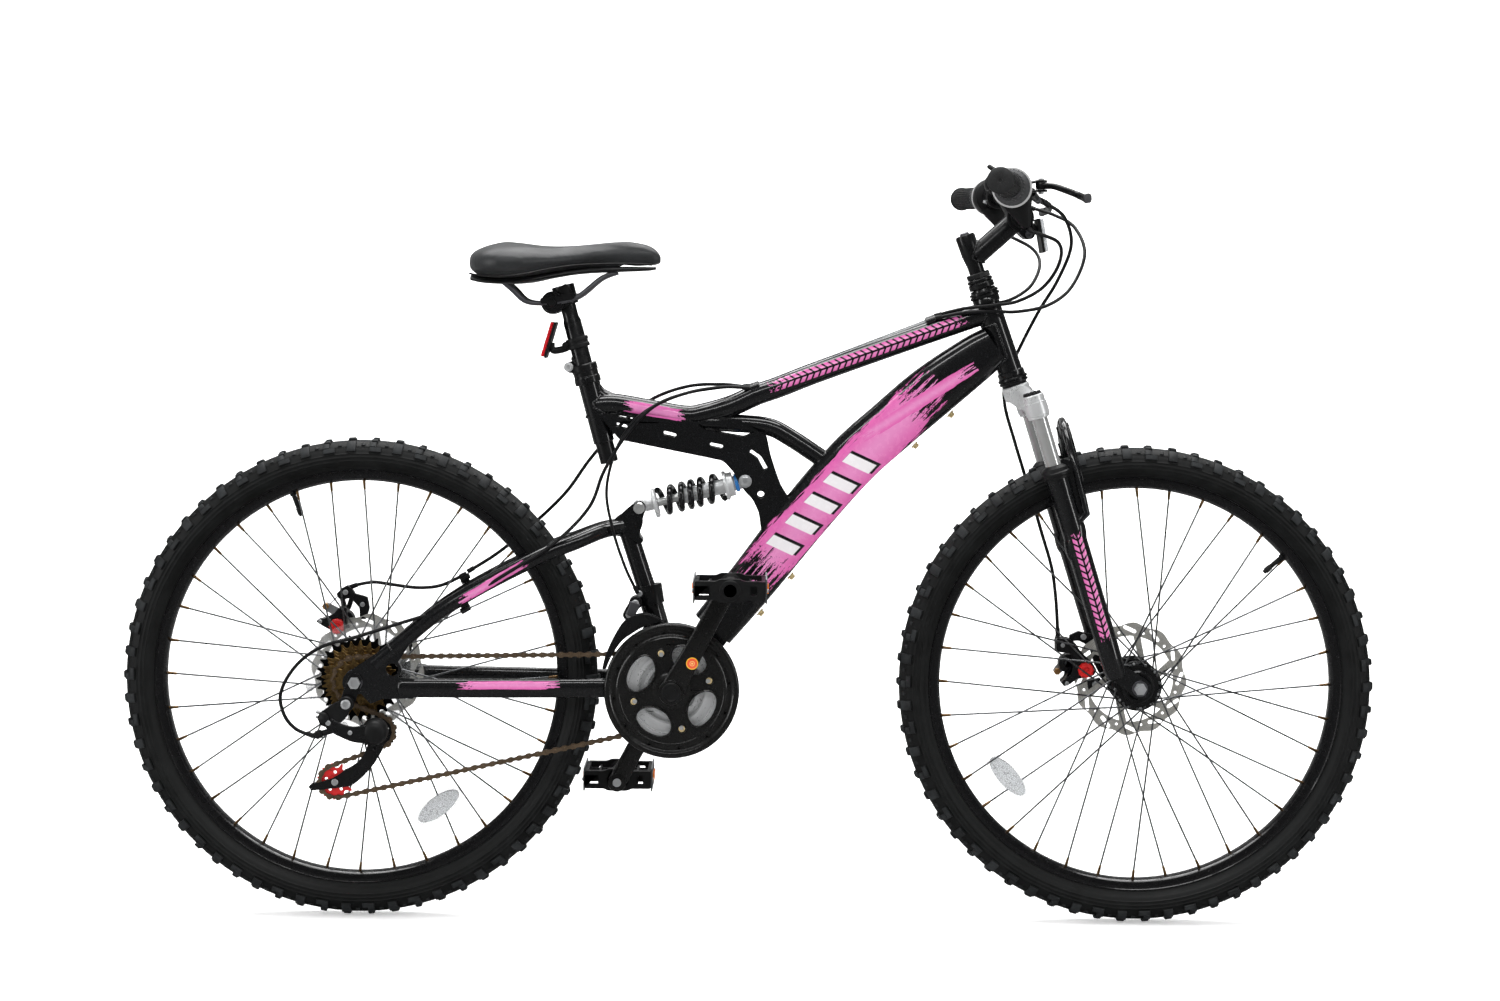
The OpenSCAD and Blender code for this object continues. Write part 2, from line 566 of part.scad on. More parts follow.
module quill_stem() color([0.05, 0.05, 0.05]) {
    a = on_steer(-58);
    difference() {
        union() {
            rod(xyz(on_steer(-90)), xyz(on_steer(34)), 11.1);
            rod(xyz(on_steer(-90)), xyz(on_steer(-40)), 14);
            rod(xyz(a), xyz(bar_at), 14.3);
            pin(bar_at, -21, 21, 19);
        }
        pin(bar_at, -30, 30, bar_r + 0.1);
        slab(-30, 30) translate(bar_at) rotate(-48) translate([10, -1]) square([30, 2]);
    }
    rod(xyz(bar_at + [2, -17], -12), xyz(bar_at + [8, -24], -12), 4);
    rod(xyz(bar_at + [2, -17], 12), xyz(bar_at + [8, -24], 12), 4);
}
bar_line = unit([end_at[0] - ring_at[0], 105, end_at[1] - ring_at[1]]);
function on_bar(y) = [ring_at[0], 200, ring_at[1]] + bar_line * (y - 200) / bar_line[1];
bend_points = [[bar_at[0], 29.9, bar_at[1]], [bar_at[0] - 1.5, 46, bar_at[1] + 4], [362, 84, 1003],
    on_bar(110), on_bar(122)];
module handlebar() color([0.06, 0.06, 0.06]) {
    pin(bar_at, -30, 30, bar_r);
    both() sweep(curve(bend_points, 4), bar_r - 0.1, bar_r - 0.1, [0, 0, 1], 20);
    both() rod(on_bar(121), on_bar(bar_half - 3), bar_r);
}
module grips() color([0.08, 0.08, 0.08]) both() {
    tube(on_bar(214), on_bar(bar_half - 2.9), 15.5, bar_r + 0.02);
    rod(on_bar(bar_half - 2.9), on_bar(bar_half), 15.5);
    tube(on_bar(bar_half - 8), on_bar(bar_half - 3), 17, 15.5);
}
lever_pivot = [386, 142, 1017];
module perch_up(r) translate(lever_pivot) cylinder(h = r, r = 3);
module brake_perches() color([0.05, 0.05, 0.05]) both() {
    tube(on_bar(124), on_bar(144), 17, bar_r + 0.03);
    difference() {
        union() {
            rod([364, 133, 1012], [384, 139, 1015], 7);
            translate(lever_pivot - [0, 0, 8]) cylinder(h = 3.4, r = 8);
            translate(lever_pivot + [0, 0, 4.6]) cylinder(h = 3.4, r = 8);
            rod([372, 134, 1010], [382, 106, 1003], 5);
        }
        rod(on_bar(120), on_bar(150), bar_r + 0.03);
        translate(lever_pivot - [0, 0, 4.6]) cylinder(h = 9.2, r = 9.5);
    }
    translate(lever_pivot - [0, 0, 8]) cylinder(h = 16, r = 3);
}
module brake_lever() {
    difference() {
        union() {
            translate(lever_pivot - [0, 0, 4.3]) cylinder(h = 8.6, r = 7.5);
            pipe([lever_pivot + [3, 3, 0], [401, 154, 1016.5], [427, 172, 1006], [437, 196, 999], [436, 230, 997],
                [431, 262, 996], [436, 276, 996]], 4.2, 4, 12);
        }
        translate(lever_pivot - [0, 0, 10]) cylinder(h = 20, r = 3.05);
    }
}
module right_brake_lever() color([0.06, 0.06, 0.06]) mirror([0, 1, 0]) brake_lever();
module left_brake_lever() color([0.06, 0.06, 0.06]) brake_lever();
module shifter_housings() color([0.06, 0.06, 0.06]) both() {
    tube(on_bar(150), on_bar(168), 25, bar_r + 0.03);
    difference() {
        rod(on_bar(158) + [6, 0, -20], on_bar(158) + [20, -6, -52], 9);
        rod(on_bar(150), on_bar(168), 24);
    }
}
module twist_shifter() {
    tube(on_bar(168.4), on_bar(176), 25, bar_r + 0.08);
    tube(on_bar(176), on_bar(213.5), 19, bar_r + 0.08);
}
module right_shifter() color([0.1, 0.1, 0.1]) mirror([0, 1, 0]) twist_shifter();
module left_shifter() color([0.1, 0.1, 0.1]) twist_shifter();
bell_at = [352, -94, 1003];
module bell() color([0.05, 0.05, 0.05]) {
    tube([362, -82, 1001.9], [357.2, -104, 1010.5], 16.5, bar_r + 1.4);
    translate(bell_at + [-14, 0, 14]) rotate([0, -30, 0]) cylinder(h = 6, r = 5);
    translate(bell_at + [-17, 0, 19]) rotate([0, -30, 0]) difference() {
        cylinder(h = 17, r = 21);
        translate([0, 0, -0.01]) cylinder(h = 15, r = 19.5);
    }
}
bell_pivot = bell_at + [-17, 24, 22];
bell_axis = [-0.5, 0, 0.866025];
module bell_lever() color([0.07, 0.07, 0.07]) {
    rod(bell_pivot - 2.8 * bell_axis, bell_pivot + 2.8 * bell_axis, 2.8);
    pipe([bell_pivot, bell_pivot + [-6, 1, 8], bell_pivot + [-4, 2, 14], bell_pivot + [-14, 3, 22]], 2.2, 3, 8);
}
module front_reflector() color([0.9, 0.9, 0.9]) {
    translate([402, -10, 954]) rotate([0, -10, 0]) translate([-4, -26, -24]) cube([8, 52, 48]);
    rod([397, -10, 956], [387, -8, 968], 4);
}
module front_cables() color([0.05, 0.05, 0.05]) {
    pipe([[384, 100, 1001], [440, 60, 975], [468, 10, 925], [440, -14, 872], [365, -26, 850], [325, -23, 850],
        [257, -9, 850]], 2.5, 4, 8);
    pipe([[384, -100, 1001], [444, -74, 965], [452, -20, 880], [410, 22, 820], [374, 31, 770], [353, 33, 738],
        [362, 34, 700], [384, 38, 640], [404, 44, 570], [424, 50, 497], [432, 57, 440], [436, 66, 395]], 2.5, 4, 8);
    pipe([on_bar(158) + [21, -7, -56], [372, 140, 925], [392, 70, 880], [362, 30, 858], [322, 24, 853],
        [257, 9, 850]], 2.5, 4, 8);
    pipe([[378, -151, 955], [400, -120, 915], [408, -60, 870], [362, -32, 860], [322, -25, 860],
        [257, 0, 853]], 2.5, 4, 8);
}

// ---- fork lowers ----
module fork_lowers() color([0.04, 0.04, 0.04]) {
    difference() {
        union() {
            both() rod(xyz(on_leg(leg_top_s), leg_y), xyz(on_leg(leg_end_s), leg_y), leg_r);
            both() rod(xyz(on_leg(leg_top_s - 2), leg_y), xyz(on_leg(leg_top_s + 22), leg_y), leg_r + 2);
            both() slab(50, 56) {
                strap(on_leg(leg_end_s - 10), front_axle_at, 13);
                translate(on_leg(leg_end_s - 2)) circle(15);
            }
            arch();
        }
        both() rod(xyz(on_leg(leg_top_s - 10), leg_y), xyz(on_leg(288), leg_y), stanchion_r + gap);
        both() pin(front_axle_at, 40, 80, 4.55);
        both() slab(40, 80) translate(front_axle_at) rotate(leg_lean - 90) translate([0, -4.5]) square([30, 9]);
        both() pin(on_leg(leg_end_s - 6), 40, 80, 2.5);
    }
}
// Brace over the tyre, in front of the legs
module arch() {
    path = [for (a = [-90 : 15 : 90]) let (u = abs(sin(a)), y = 58 * sin(a),
        h = pow(max(0, cos(a)), 0.8)) [mix(466, 436, h) - 4 * u, y, mix(572, 690, h)]];
    sweep(concat([[446, -60, 556]], path, [[446, 60, 556]]), 5, 11, [1, 0, 0.35], 12);
}
front_caliper_at = [451, 352];
module caliper_body(c, y, tilt) translate([c[0], y, c[1]]) rotate([0, tilt, 0]) difference() {
    union() {
        translate([-17, 3.2, -22]) cube([34, 12, 44]);
        translate([-17, -16, -22]) cube([34, 12.8, 44]);
        translate([-17, -16, 12]) cube([34, 31, 10]);
        rotate([-90, 0, 0]) translate([0, 0, 14]) cylinder(h = 10, r = 14);
    }
    rotate([-90, 0, 0]) translate([0, 0, 15]) cylinder(h = 12, r = 5.05);
}
module front_caliper() color([0.09, 0.09, 0.09]) difference() {
    union() {
        caliper_body(front_caliper_at, front_disc_y, -77);
        slab(46, 54) strap(front_caliper_at + [10, 26], on_leg(leg_end_s - 70), 7);
        slab(46, 54) strap(front_caliper_at + [10, -22], on_leg(leg_end_s - 24), 7);
    }
    both() rod(xyz(on_leg(leg_top_s), leg_y), xyz(on_leg(leg_end_s + 10), leg_y), leg_r + 0.05);
    both() slab(49.9, 80) {
        strap(on_leg(leg_end_s - 10), front_axle_at, 13.1);
        translate(on_leg(leg_end_s - 2)) circle(15.1);
    }
}
module caliper_arm(c, y, a) {
    pin(c, y + 15.2, y + 24.5, 5);
    slab(y + 24.2, y + 28) strap(c, c + 34 * [cos(a), sin(a)], 6);
    pin(c + 34 * [cos(a), sin(a)], y + 20, y + 31, 3.5);
}
module front_caliper_arm() color([0.12, 0.12, 0.12]) caliper_arm(front_caliper_at, front_disc_y, 205);
rear_caliper_at = [-572, 402];
module rear_caliper() color([0.09, 0.09, 0.09]) difference() {
    union() {
        caliper_body(rear_caliper_at, rear_disc_y, -26);
        slab(58, 64) strap(rear_caliper_at + [4, -6], [-520, 362], 8);
    }
    seat_stay_cut();
}
module rear_caliper_arm() color([0.12, 0.12, 0.12]) caliper_arm(rear_caliper_at, rear_disc_y, 150);

// ---- swingarm ----
stay_path = [[-178, 543, 10], [-205, 538, 24], [-240, 524, 40], [-281.3, 507.6, 48], [-362, 466.9, 57],
    [-428.3, 425.8, 63], [-480.7, 382.2, 66], [-512, 356, 66.5]];
module seat_stay() pipe([for (p = stay_path) [p[0], p[2], p[1]]], 10.5, 3, 16);
module seat_stay_cut() for (i = [4 : 6]) let (a = stay_path[i], b = stay_path[i + 1])
    rod([a[0], a[2], a[1]], [b[0], b[2], b[1]], 12);
module rear_dropout() difference() {
    union() {
        translate(rear_axle_at) circle(17);
        polygon([rear_axle_at + [-8, 14], [-512, 370], [-470, 392], [-462, 384], [-484, 352], [-478, 338],
            [-456, 338], [-456, 311], [-500, 311], [-515, 305], rear_axle_at + [-6, -16]]);
    }
    translate([-487, 350]) circle(9);
    translate(rear_axle_at) circle(5.05);
    translate(rear_axle_at) rotate(250) translate([0, -5]) square([30, 10]);
}
module swingarm() color([0.03, 0.03, 0.035]) difference() {
    union() {
        pin(bb_at, -34, 34, 20.5);
        pin(pivot_at, -19.5, 19.5, 17);
        slab(-18, 18) polygon([bb_at + [-14, 14], bb_at + [12, -14], pivot_at + [13, -10], pivot_at + [-10, 13]]);
        rod(xyz(bb_at), xyz([-136, 440]), 15.5);
        rod(xyz([-136, 430]), xyz(strut_top), 12.5);
        slab(-9, 9) polygon([[-136, 425], [-190, 330], [-110, 330], [-120, 400]]);
        both() seat_stay();
        both() sweep(curve([[-112, 22, 323], [-150, 32.5, 324], [-200, 44.5, 324.2], [-330, 58, 324.4],
            [-475, 68, 324.7]], 4), 7.5, 13, [0, 1, 0], 16);
        both() slab(67.5, 73) rear_dropout();
        slab(-12, 12) polygon([[-192, 532], [-193, 548], [-176, 562], [-158, 566], [-150, 540], [-160, 530], [-166, 520]]);
        both() slab(10.4, 15) {
            translate(shock_rear) circle(11);
            polygon([[-185, 556], [-170, 566], shock_rear + [0, 11], shock_rear + [6, -9], [-152, 540], [-168, 530]]);
        }
    }
    pin(bb_at, -40, 40, 17.42);
    pin(pivot_at, -30, 30, 8.06);
    pin(shock_rear, -20, 20, 6.3);
    slab(-10.6, 10.6) translate(shock_rear) circle(13.5);
}

// ---- derailleurs ----
module rear_derailleur() color([0.12, 0.12, 0.13]) {
    slab(-75, -73.1) difference() {
        strap(hanger_at, rear_axle_at + [0, 3], 10);
        translate(rear_axle_at) circle(5.1);
    }
    pin(hanger_at, -92, -74.9, 9);
    slab(-90, -76) {
        strap(hanger_at + [0, -2], [-560, 276], 10);
        strap([-560, 276], [-520, 262], 11);
    }
    pin(upper_at, -88, -62, 15);
    rod([-566, -83, 268], [-592, -83, 260], 4.5);
}
module derailleur_cage() color([0.05, 0.05, 0.05]) {
    cage_plate(chain_y_rear - 6.4);
    cage_plate(chain_y_rear + 4.4);
    pin(upper_at, chain_y_rear - 9.8, chain_y_rear + 6, 4);
    pin(lower_at, chain_y_rear - 8, chain_y_rear + 8, 4);
}
module cage_plate(y) slab(y, y + 2) {
    strap(upper_at, [-521, 224], 9);
    strap([-521, 224], [-545, 205], 10);
    strap([-545, 205], lower_at, 10);
    strap(lower_at, [-598, 184], 6);
}
fd_at = [-157, 440];
module front_derailleur() color([0.08, 0.08, 0.08]) difference() {
    union() {
        rod(xyz([-136, 436]), xyz([-140.5, 462]), 18.5);
        pin(fd_at, -36, -12, 9);
        slab(-36, -22) strap(fd_at, [-166, 424], 8);
    }
    rod(xyz(bb_at), xyz([-136, 440]), 15.55);
    rod(xyz([-136, 430]), xyz(strut_top), 12.55);
}
cage_top = [[-117.5, 421], [-150, 428], [-168, 420], [-190, 385], [-200, 352], [-192, 350], [-178, 385],
    [-160, 402], [-140, 405], [-121, 403]];
// Cut back all round, so that shifting carries the cage past the chain guard without touching it
module front_derailleur_cage() color([0.1, 0.1, 0.1]) difference() {
    union() {
        slab(-53, -51.4) polygon(cage_top);
        slab(-38.6, -37) polygon(cage_top);
        slab(-53, -37) polygon([[-150, 428], [-168, 420], [-166, 417.5], [-150, 425.5]]);
        slab(-53, -37) polygon([[-200, 352], [-192, 350], [-192, 348.5], [-200, 350]]);
    }
    pin(bb_at, -60, -30, guard_r + 1);
}

// ---- shock ----
module shock_body() color([0.7, 0.7, 0.72]) {
    difference() {
        union() {
            pin(shock_front, -11.5, 11.5, 10);
            rod(xyz(on_shock(62)), xyz(on_shock(shock_l - 8)), 10.5);
            rod(xyz(on_shock(122)), xyz(on_shock(128)), spring_r);
            rod(xyz(on_shock(128)), xyz(on_shock(136)), 15);
        }
        pin(shock_front, -20, 20, 5.06);
        rod(xyz(on_shock(50)), xyz(on_shock(126)), 6.06);
    }
}
module shock_shaft() color([0.75, 0.75, 0.77]) {
    difference() {
        union() {
            pin(shock_rear, -9.8, 9.8, 10);
            rod(xyz(on_shock(8)), xyz(on_shock(26)), 8);
            rod(xyz(on_shock(20)), xyz(on_shock(26)), spring_r);
            rod(xyz(on_shock(26)), xyz(on_shock(94)), 6);
        }
        pin(shock_rear, -20, 20, 5);
    }
    pin(shock_rear, -19, 19, 5);
    both() pin(shock_rear, 15.3, 20, 8);
}
module shock_spring() color([0.03, 0.03, 0.03]) {
    s0 = 29.8;
    s1 = 118.2;
    r = spring_r - 3.5;
    n = spring_turns * 16;
    across = [-shock_dir[1], shock_dir[0]];
    sweep([for (k = [0 : n]) let (a = 360 * k / 16, p = on_shock(mix(s0, s1, k / n)) + across * r * cos(a))
        xyz(p, r * sin(a))], 3.5, 3.5, [shock_dir[0], 0, shock_dir[1]], 8);
}

// ---- seat ----
module seatpost() color([0.04, 0.04, 0.04]) {
    rod(xyz(on_seat(-30)), xyz(on_seat(205)), post_r);
    rod(xyz(on_seat(205)), xyz(on_seat(232)), 11);
}
module saddle_rails() {
    color([0.05, 0.05, 0.05]) difference() {
        union() {
            pin(clamp_at, -26, 26, 15);
            slab(-17, 17) strap(clamp_at, on_seat(216), 15);
        }
        rod(xyz(on_seat(190)), xyz(on_seat(240)), 11.02);
        both() pipe(rail_points(), 3.55, 3, 8);
        rod(xyz(on_seat(190)), xyz(on_seat(205)), post_r + 0.02);
    }
    color([0.1, 0.1, 0.1]) both() pipe(rail_points(), 3.5, 3, 8);
}
function rail_points() = [[-352, 42, 889], [-333, 36, 873], [-314, 26, 856], [-290, 22, 853], [-262, 22, 856],
    [-238, 21, 865], [-210, 14, 888], [-188, 10, 897]];
// Saddle as rings across its length: place, half width, top, bottom
saddle_back = -397.6;
saddle_stations = [[0, 22, 918, 900], [0.02, 46, 926, 892], [0.08, 70, 933, 886], [0.17, 84, 937, 884],
    [0.28, 84, 936, 890], [0.4, 66, 934, 896], [0.52, 44, 934, 901], [0.65, 29, 936, 904], [0.8, 22, 938.5, 905],
    [0.92, 20, 938, 904], [0.98, 15, 931, 907], [1, 8, 922, 912]];
module saddle() color([0.05, 0.05, 0.05]) difference() {
    skin([for (s = saddle_stations) let (x = saddle_back + s[0] * saddle_l, w = s[1] * saddle_w / 168)
        [for (k = [0 : 23]) let (a = 15 * k, c = cos(a), q = sin(a), z0 = (s[2] + s[3]) / 2, h = (s[2] - s[3]) / 2)
            [x, sign(c) * pow(abs(c), 0.8) * w, z0 + sign(q) * pow(abs(q), 0.8) * h
                - 6 * pow(abs(c), 3) * (w / saddle_w)]]]);
    both() pipe(rail_points(), 4.2, 3, 8);
}
module rear_reflector() color([0.7, 0.03, 0.05]) {
    difference() {
        union() {
            rod(xyz(on_seat(136)), xyz(on_seat(150)), post_r + 3);
            pin(on_seat(143) + [-16, -4], -5, 5, 5);
        }
        rod(xyz(on_seat(130)), xyz(on_seat(160)), post_r + 0.02);
    }
    aim([-289.4, 0, 777.8], [-275.1, 0, 827.5]) translate([-5, -20, 0]) cube([9, 40, 51.7]);
    rod([-277, 0, 795], xyz(on_seat(143) + [-17, -4]), 3);
}

main_frame();
headset_cups();
frame_bolts();
seat_collar();
rear_cables();
fork_upper();
quill_stem();
handlebar();
grips();
brake_perches();
shifter_housings();
front_reflector();
bell();
bell_lever();
front_cables();
fork_lowers();
front_caliper();
front_caliper_arm();
front_axle();
front_tyre();
front_rim();
front_spokes();
front_hub();
front_rotor();
swingarm();
bottom_bracket_cups();
rear_axle();
rear_caliper();
rear_caliper_arm();
rear_derailleur();
derailleur_cage();
upper_pulley();
lower_pulley();
front_derailleur();
front_derailleur_cage();
crank_spindle();
crank_arms();
chainrings();
chain_guard();
pedal_axles();
right_pedal();
left_pedal();
chain();
sprockets();
rear_tyre();
rear_rim();
rear_spokes();
rear_hub();
rear_rotor();
right_brake_lever();
left_brake_lever();
right_shifter();
left_shifter();
seatpost();
saddle_rails();
saddle();
rear_reflector();
shock_body();
shock_shaft();
shock_spring();
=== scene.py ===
import json
import math
import random

import bmesh
import bpy
import numpy as np
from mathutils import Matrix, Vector, geometry


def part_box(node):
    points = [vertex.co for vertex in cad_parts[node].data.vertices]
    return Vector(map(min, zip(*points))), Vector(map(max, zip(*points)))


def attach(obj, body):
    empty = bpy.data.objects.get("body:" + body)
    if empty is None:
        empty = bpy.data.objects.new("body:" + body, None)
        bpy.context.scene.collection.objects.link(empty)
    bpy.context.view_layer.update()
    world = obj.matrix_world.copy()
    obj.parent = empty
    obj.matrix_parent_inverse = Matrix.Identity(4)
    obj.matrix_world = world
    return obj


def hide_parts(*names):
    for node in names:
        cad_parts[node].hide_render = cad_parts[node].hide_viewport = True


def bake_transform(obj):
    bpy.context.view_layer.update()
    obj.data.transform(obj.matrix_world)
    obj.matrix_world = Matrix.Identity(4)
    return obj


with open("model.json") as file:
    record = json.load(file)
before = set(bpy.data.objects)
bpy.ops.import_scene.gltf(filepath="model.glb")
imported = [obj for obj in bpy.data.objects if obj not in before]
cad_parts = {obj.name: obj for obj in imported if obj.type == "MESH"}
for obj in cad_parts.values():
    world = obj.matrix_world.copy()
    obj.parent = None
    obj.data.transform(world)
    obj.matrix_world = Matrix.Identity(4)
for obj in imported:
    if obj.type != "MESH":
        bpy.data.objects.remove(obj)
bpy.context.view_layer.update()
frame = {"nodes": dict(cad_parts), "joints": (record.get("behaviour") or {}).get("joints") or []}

# Lengths in this script are millimetres in the frame's axes; pieces are turned into metres when made.
MM = 0.001
SLOTS = {"black_satin_metal": "black_parts", "black_plastic": "black_plastic",
         "grey_plastic": "black_plastic",
         "guard_plastic": "guard_plastic", "red_plastic": "red_plastic", "chrome": "chrome",
         "bright_alloy": "bright_alloy",
         "zinc_steel": "steel", "dark_steel": "steel", "pedal_cage_steel": "steel", "brass_plate": "brass",
         "chain_steel": "chain_steel", "cog_steel": "cog_steel", "spring_enamel": "spring_black",
         "front_spoke_steel": "spoke_steel", "rear_spoke_steel": "spoke_steel",
         "front_rotor_steel": "rotor_steel",
         "rear_rotor_steel": "rotor_steel"}
JOINTS = {j["name"]: j for j in frame["joints"]}


# ---------------------------------------------------------------- vectors

def at(joint):
    """Place of a joint in mm."""
    return np.array(JOINTS[joint]["pos_m"], float) / MM


def axis_of(joint):
    return unit(JOINTS[joint]["axis"])


def box(node):
    """Lowest and highest corner of a CAD node in mm."""
    low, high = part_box(node)
    return np.array(low) / MM, np.array(high) / MM


def unit(v):
    v = np.array(v, float)
    return v / np.linalg.norm(v)


def xyz(p, y=0.0):
    return np.array([p[0], y, p[1]], float)


def mix(a, b, t):
    return np.array(a, float) * (1 - t) + np.array(b, float) * t


def polar(centre, radius, degrees, y=None):
    """Point around a Y axis, the angle counted from +X towards +Z."""
    a = math.radians(degrees)
    height = centre[1] if y is None else y
    return np.array([centre[0] + radius * math.cos(a), height, centre[2] + radius * math.sin(a)])


def curve(points, per=6):
    """Smooth curve through points (Catmull-Rom)."""
    p = [np.array(q, float) for q in points]
    out = []
    for i in range(len(p) - 1):
        a, b, c, d = p[max(i - 1, 0)], p[i], p[i + 1], p[min(i + 2, len(p) - 1)]
        for k in range(per):
            t = k / per
            out.append((2 * b + (c - a) * t + (2 * a - 5 * b + 4 * c - d) * t * t
                        + (3 * b - a - 3 * c + d) * t ** 3) / 2)
    return np.array(out + [p[-1]])


def mirrored(points):
    return [np.array(p, float) * [1, -1, 1] for p in points]


# ---------------------------------------------------------------- meshes

class Shape:
    """Collects vertices and faces of one piece."""

    def __init__(self):
        self.verts, self.faces, self.count = [], [], 0

    def add(self, verts, faces):
        verts = np.array(verts, float).reshape(-1, 3)
        self.verts.append(verts)
        self.faces += [[i + self.count for i in f] for f in faces]
        self.count += len(verts)
        return self

    def rings(self, rings, caps=True, loop=False):
        """Skin over rings of equal size; loop joins the last ring to the first."""
        n, m = len(rings[0]), len(rings)
        faces = []
        for i in range(m if loop else m - 1):
            j = (i + 1) % m
            faces += [[i * n + k, i * n + (k + 1) % n, j * n + (k + 1) % n, j * n + k] for k in range(n)]
        if caps and not loop:
            faces += [list(range(n - 1, -1, -1)), [(m - 1) * n + k for k in range(n)]]
        return self.add(np.concatenate(rings), faces)

    def sweep(self, path, a, b=None, up=(0, 1, 0), sides=16, power=1.0, caps=True, loop=False):
        """Round, oval or rounded-box rod along a path; a is the half size along up, b across it."""
        return self.rings(section_rings(path, a, b, up, sides, power, loop), caps, loop)

    def turn(self, base, axis, profile, segs=40, loop=False, arc=(0, 360)):
        """Lathe: profile holds (place along the axis, radius)."""
        u, v = cross_axes(axis)
        axis = unit(axis)
        full = arc[1] - arc[0] >= 360
        steps = segs if full else segs + 1
        angles = [math.radians(arc[0] + (arc[1] - arc[0]) * k / segs) for k in range(steps)]
        rings = [[np.array(base) + axis * t + (u * math.cos(q) + v * math.sin(q)) * r for q in angles]
                 for t, r in profile]
        if full:
            return self.rings(rings, caps=not loop, loop=loop)
        rings = [list(r) for r in zip(*rings)]
        return self.rings(rings, caps=True)

    def rod(self, a, b, r, edge=0.8, segs=32, r2=None):
        """Cylinder or cone with rounded rims."""
        a, b = np.array(a, float), np.array(b, float)
        length = np.linalg.norm(b - a)
        r2 = r if r2 is None else r2
        e = min(edge, r * 0.4, r2 * 0.4, length * 0.3)
        profile = [(0, r - e), (e * 0.3, r - e * 0.3), (e, r), (length - e, r2),
                   (length - e * 0.3, r2 - e * 0.3), (length, r2 - e)]
        return self.turn(a, b - a, profile, segs)

    def pin(self, c, y0, y1, r, edge=0.8, segs=32):
        return self.rod([c[0], y0, c[-1]], [c[0], y1, c[-1]], r, edge, segs)

    def tube(self, a, b, ro, ri, edge=0.6, segs=40):
        a, b = np.array(a, float), np.array(b, float)
        h = np.linalg.norm(b - a)
        e = min(edge, (ro - ri) * 0.4, h * 0.3)
        profile = [(0, ri + e), (0, ro - e), (e, ro), (h - e, ro), (h, ro - e), (h, ri + e), (h - e, ri),
                   (e, ri)]
        return self.turn(a, b - a, profile, segs, loop=True)

    def prism(self, outline, y0, y1, holes=()):
        """Plate in the XZ plane between two Y places, with holes."""
        loops = [ccw(outline)] + [ccw(h)[::-1] for h in holes]
        flat = [p for loop in loops for p in loop]
        n = len(flat)
        if holes:
            tris = geometry.tessellate_polygon([[Vector((p[0], p[1], 0)) for p in loop] for loop in loops])
            caps = [list(t) for t in tris]
        else:
            caps = [list(range(n))]
        verts = [[p[0], y0, p[1]] for p in flat] + [[p[0], y1, p[1]] for p in flat]
        faces = [f for f in caps] + [[i + n for i in f][::-1] for f in caps]
        start = 0
        for loop in loops:
            k = len(loop)
            faces += [[start + i, start + i + n, start + (i + 1) % k + n, start + (i + 1) % k]
                      for i in range(k)]
            start += k
        return self.add(verts, faces)

    def block(self, centre, size, ux=(1, 0, 0), uy=(0, 1, 0)):
        ux, uy = unit(ux), unit(uy)
        uz = np.cross(ux, uy)
        h = np.array(size, float) / 2
        verts = [np.array(centre) + ux * h[0] * sx + uy * h[1] * sy + uz * h[2] * sz
                 for sz in (-1, 1) for sy in (-1, 1) for sx in (-1, 1)]
        return self.add(verts, [[0, 2, 3, 1], [4, 5, 7, 6], [0, 1, 5, 4], [2, 6, 7, 3], [0, 4, 6, 2],
                                [1, 3, 7, 5]])

    def ball(self, c, r, scale=(1, 1, 1), segs=24):
        c, scale = np.array(c, float), np.array(scale, float)
        rings = []
        for i in range(1, 12):
            p = math.pi * i / 12
            rings.append([c + np.array([math.sin(p) * math.cos(q), math.sin(p) * math.sin(q), math.cos(p)])
                          * r * scale for q in np.linspace(0, 2 * math.pi, segs, endpoint=False)])
        return self.rings(rings)

    def bolt(self, p, axis, r, h, socket=True):
        """Round bolt head with a hexagon socket, standing on p."""
        profile = [(0, r), (h * 0.7, r), (h, r * 0.8)]
        if socket:
            profile += [(h, r * 0.5), (h * 0.45, r * 0.5), (h * 0.45, 0.01)]
        return self.turn(p, axis, profile, 24)

    def nut(self, p, axis, r, h, bore=0.0):
        """Hexagon nut with chamfered corners."""
        profile = [(0, r), (h * 0.85, r), (h, r * 0.9)]
        if bore:
            profile += [(h, bore), (h * 0.6, bore * 0.98)]
        return self.turn(p, axis, profile, 6)

    def piece(self, name, body, material, *replaced, smooth=32, bevel=0.0, segments=2, slot=None, subdiv=0):
        mesh = bpy.data.meshes.new(name)
        mesh.from_pydata([tuple(v) for v in np.concatenate(self.verts) * MM], [], self.faces)
        bm = bmesh.new()
        bm.from_mesh(mesh)
        bmesh.ops.recalc_face_normals(bm, faces=bm.faces)
        bm.to_mesh(mesh)
        bm.free()
        mesh.shade_smooth()
        mesh.set_sharp_from_angle(angle=math.radians(smooth))
        obj = bpy.data.objects.new(name, mesh)
        bpy.context.scene.collection.objects.link(obj)
        mesh.materials.append(material)
        if bevel:
            add_bevel(obj, bevel, segments)
        if subdiv:
            mod = obj.modifiers.new("smooth", "SUBSURF")
            mod.levels = mod.render_levels = subdiv
        if body:
            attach(obj, body)
        for node in replaced:
            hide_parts(node)
        slot = slot or SLOTS.get(material.name)
        return obj


def add_bevel(obj, width, segments=2, angle=38):
    mod = obj.modifiers.new("edges", "BEVEL")
    mod.width = width * MM
    mod.segments = segments
    mod.limit_method = "ANGLE"
    mod.angle_limit = math.radians(angle)
    mod.use_clamp_overlap = True


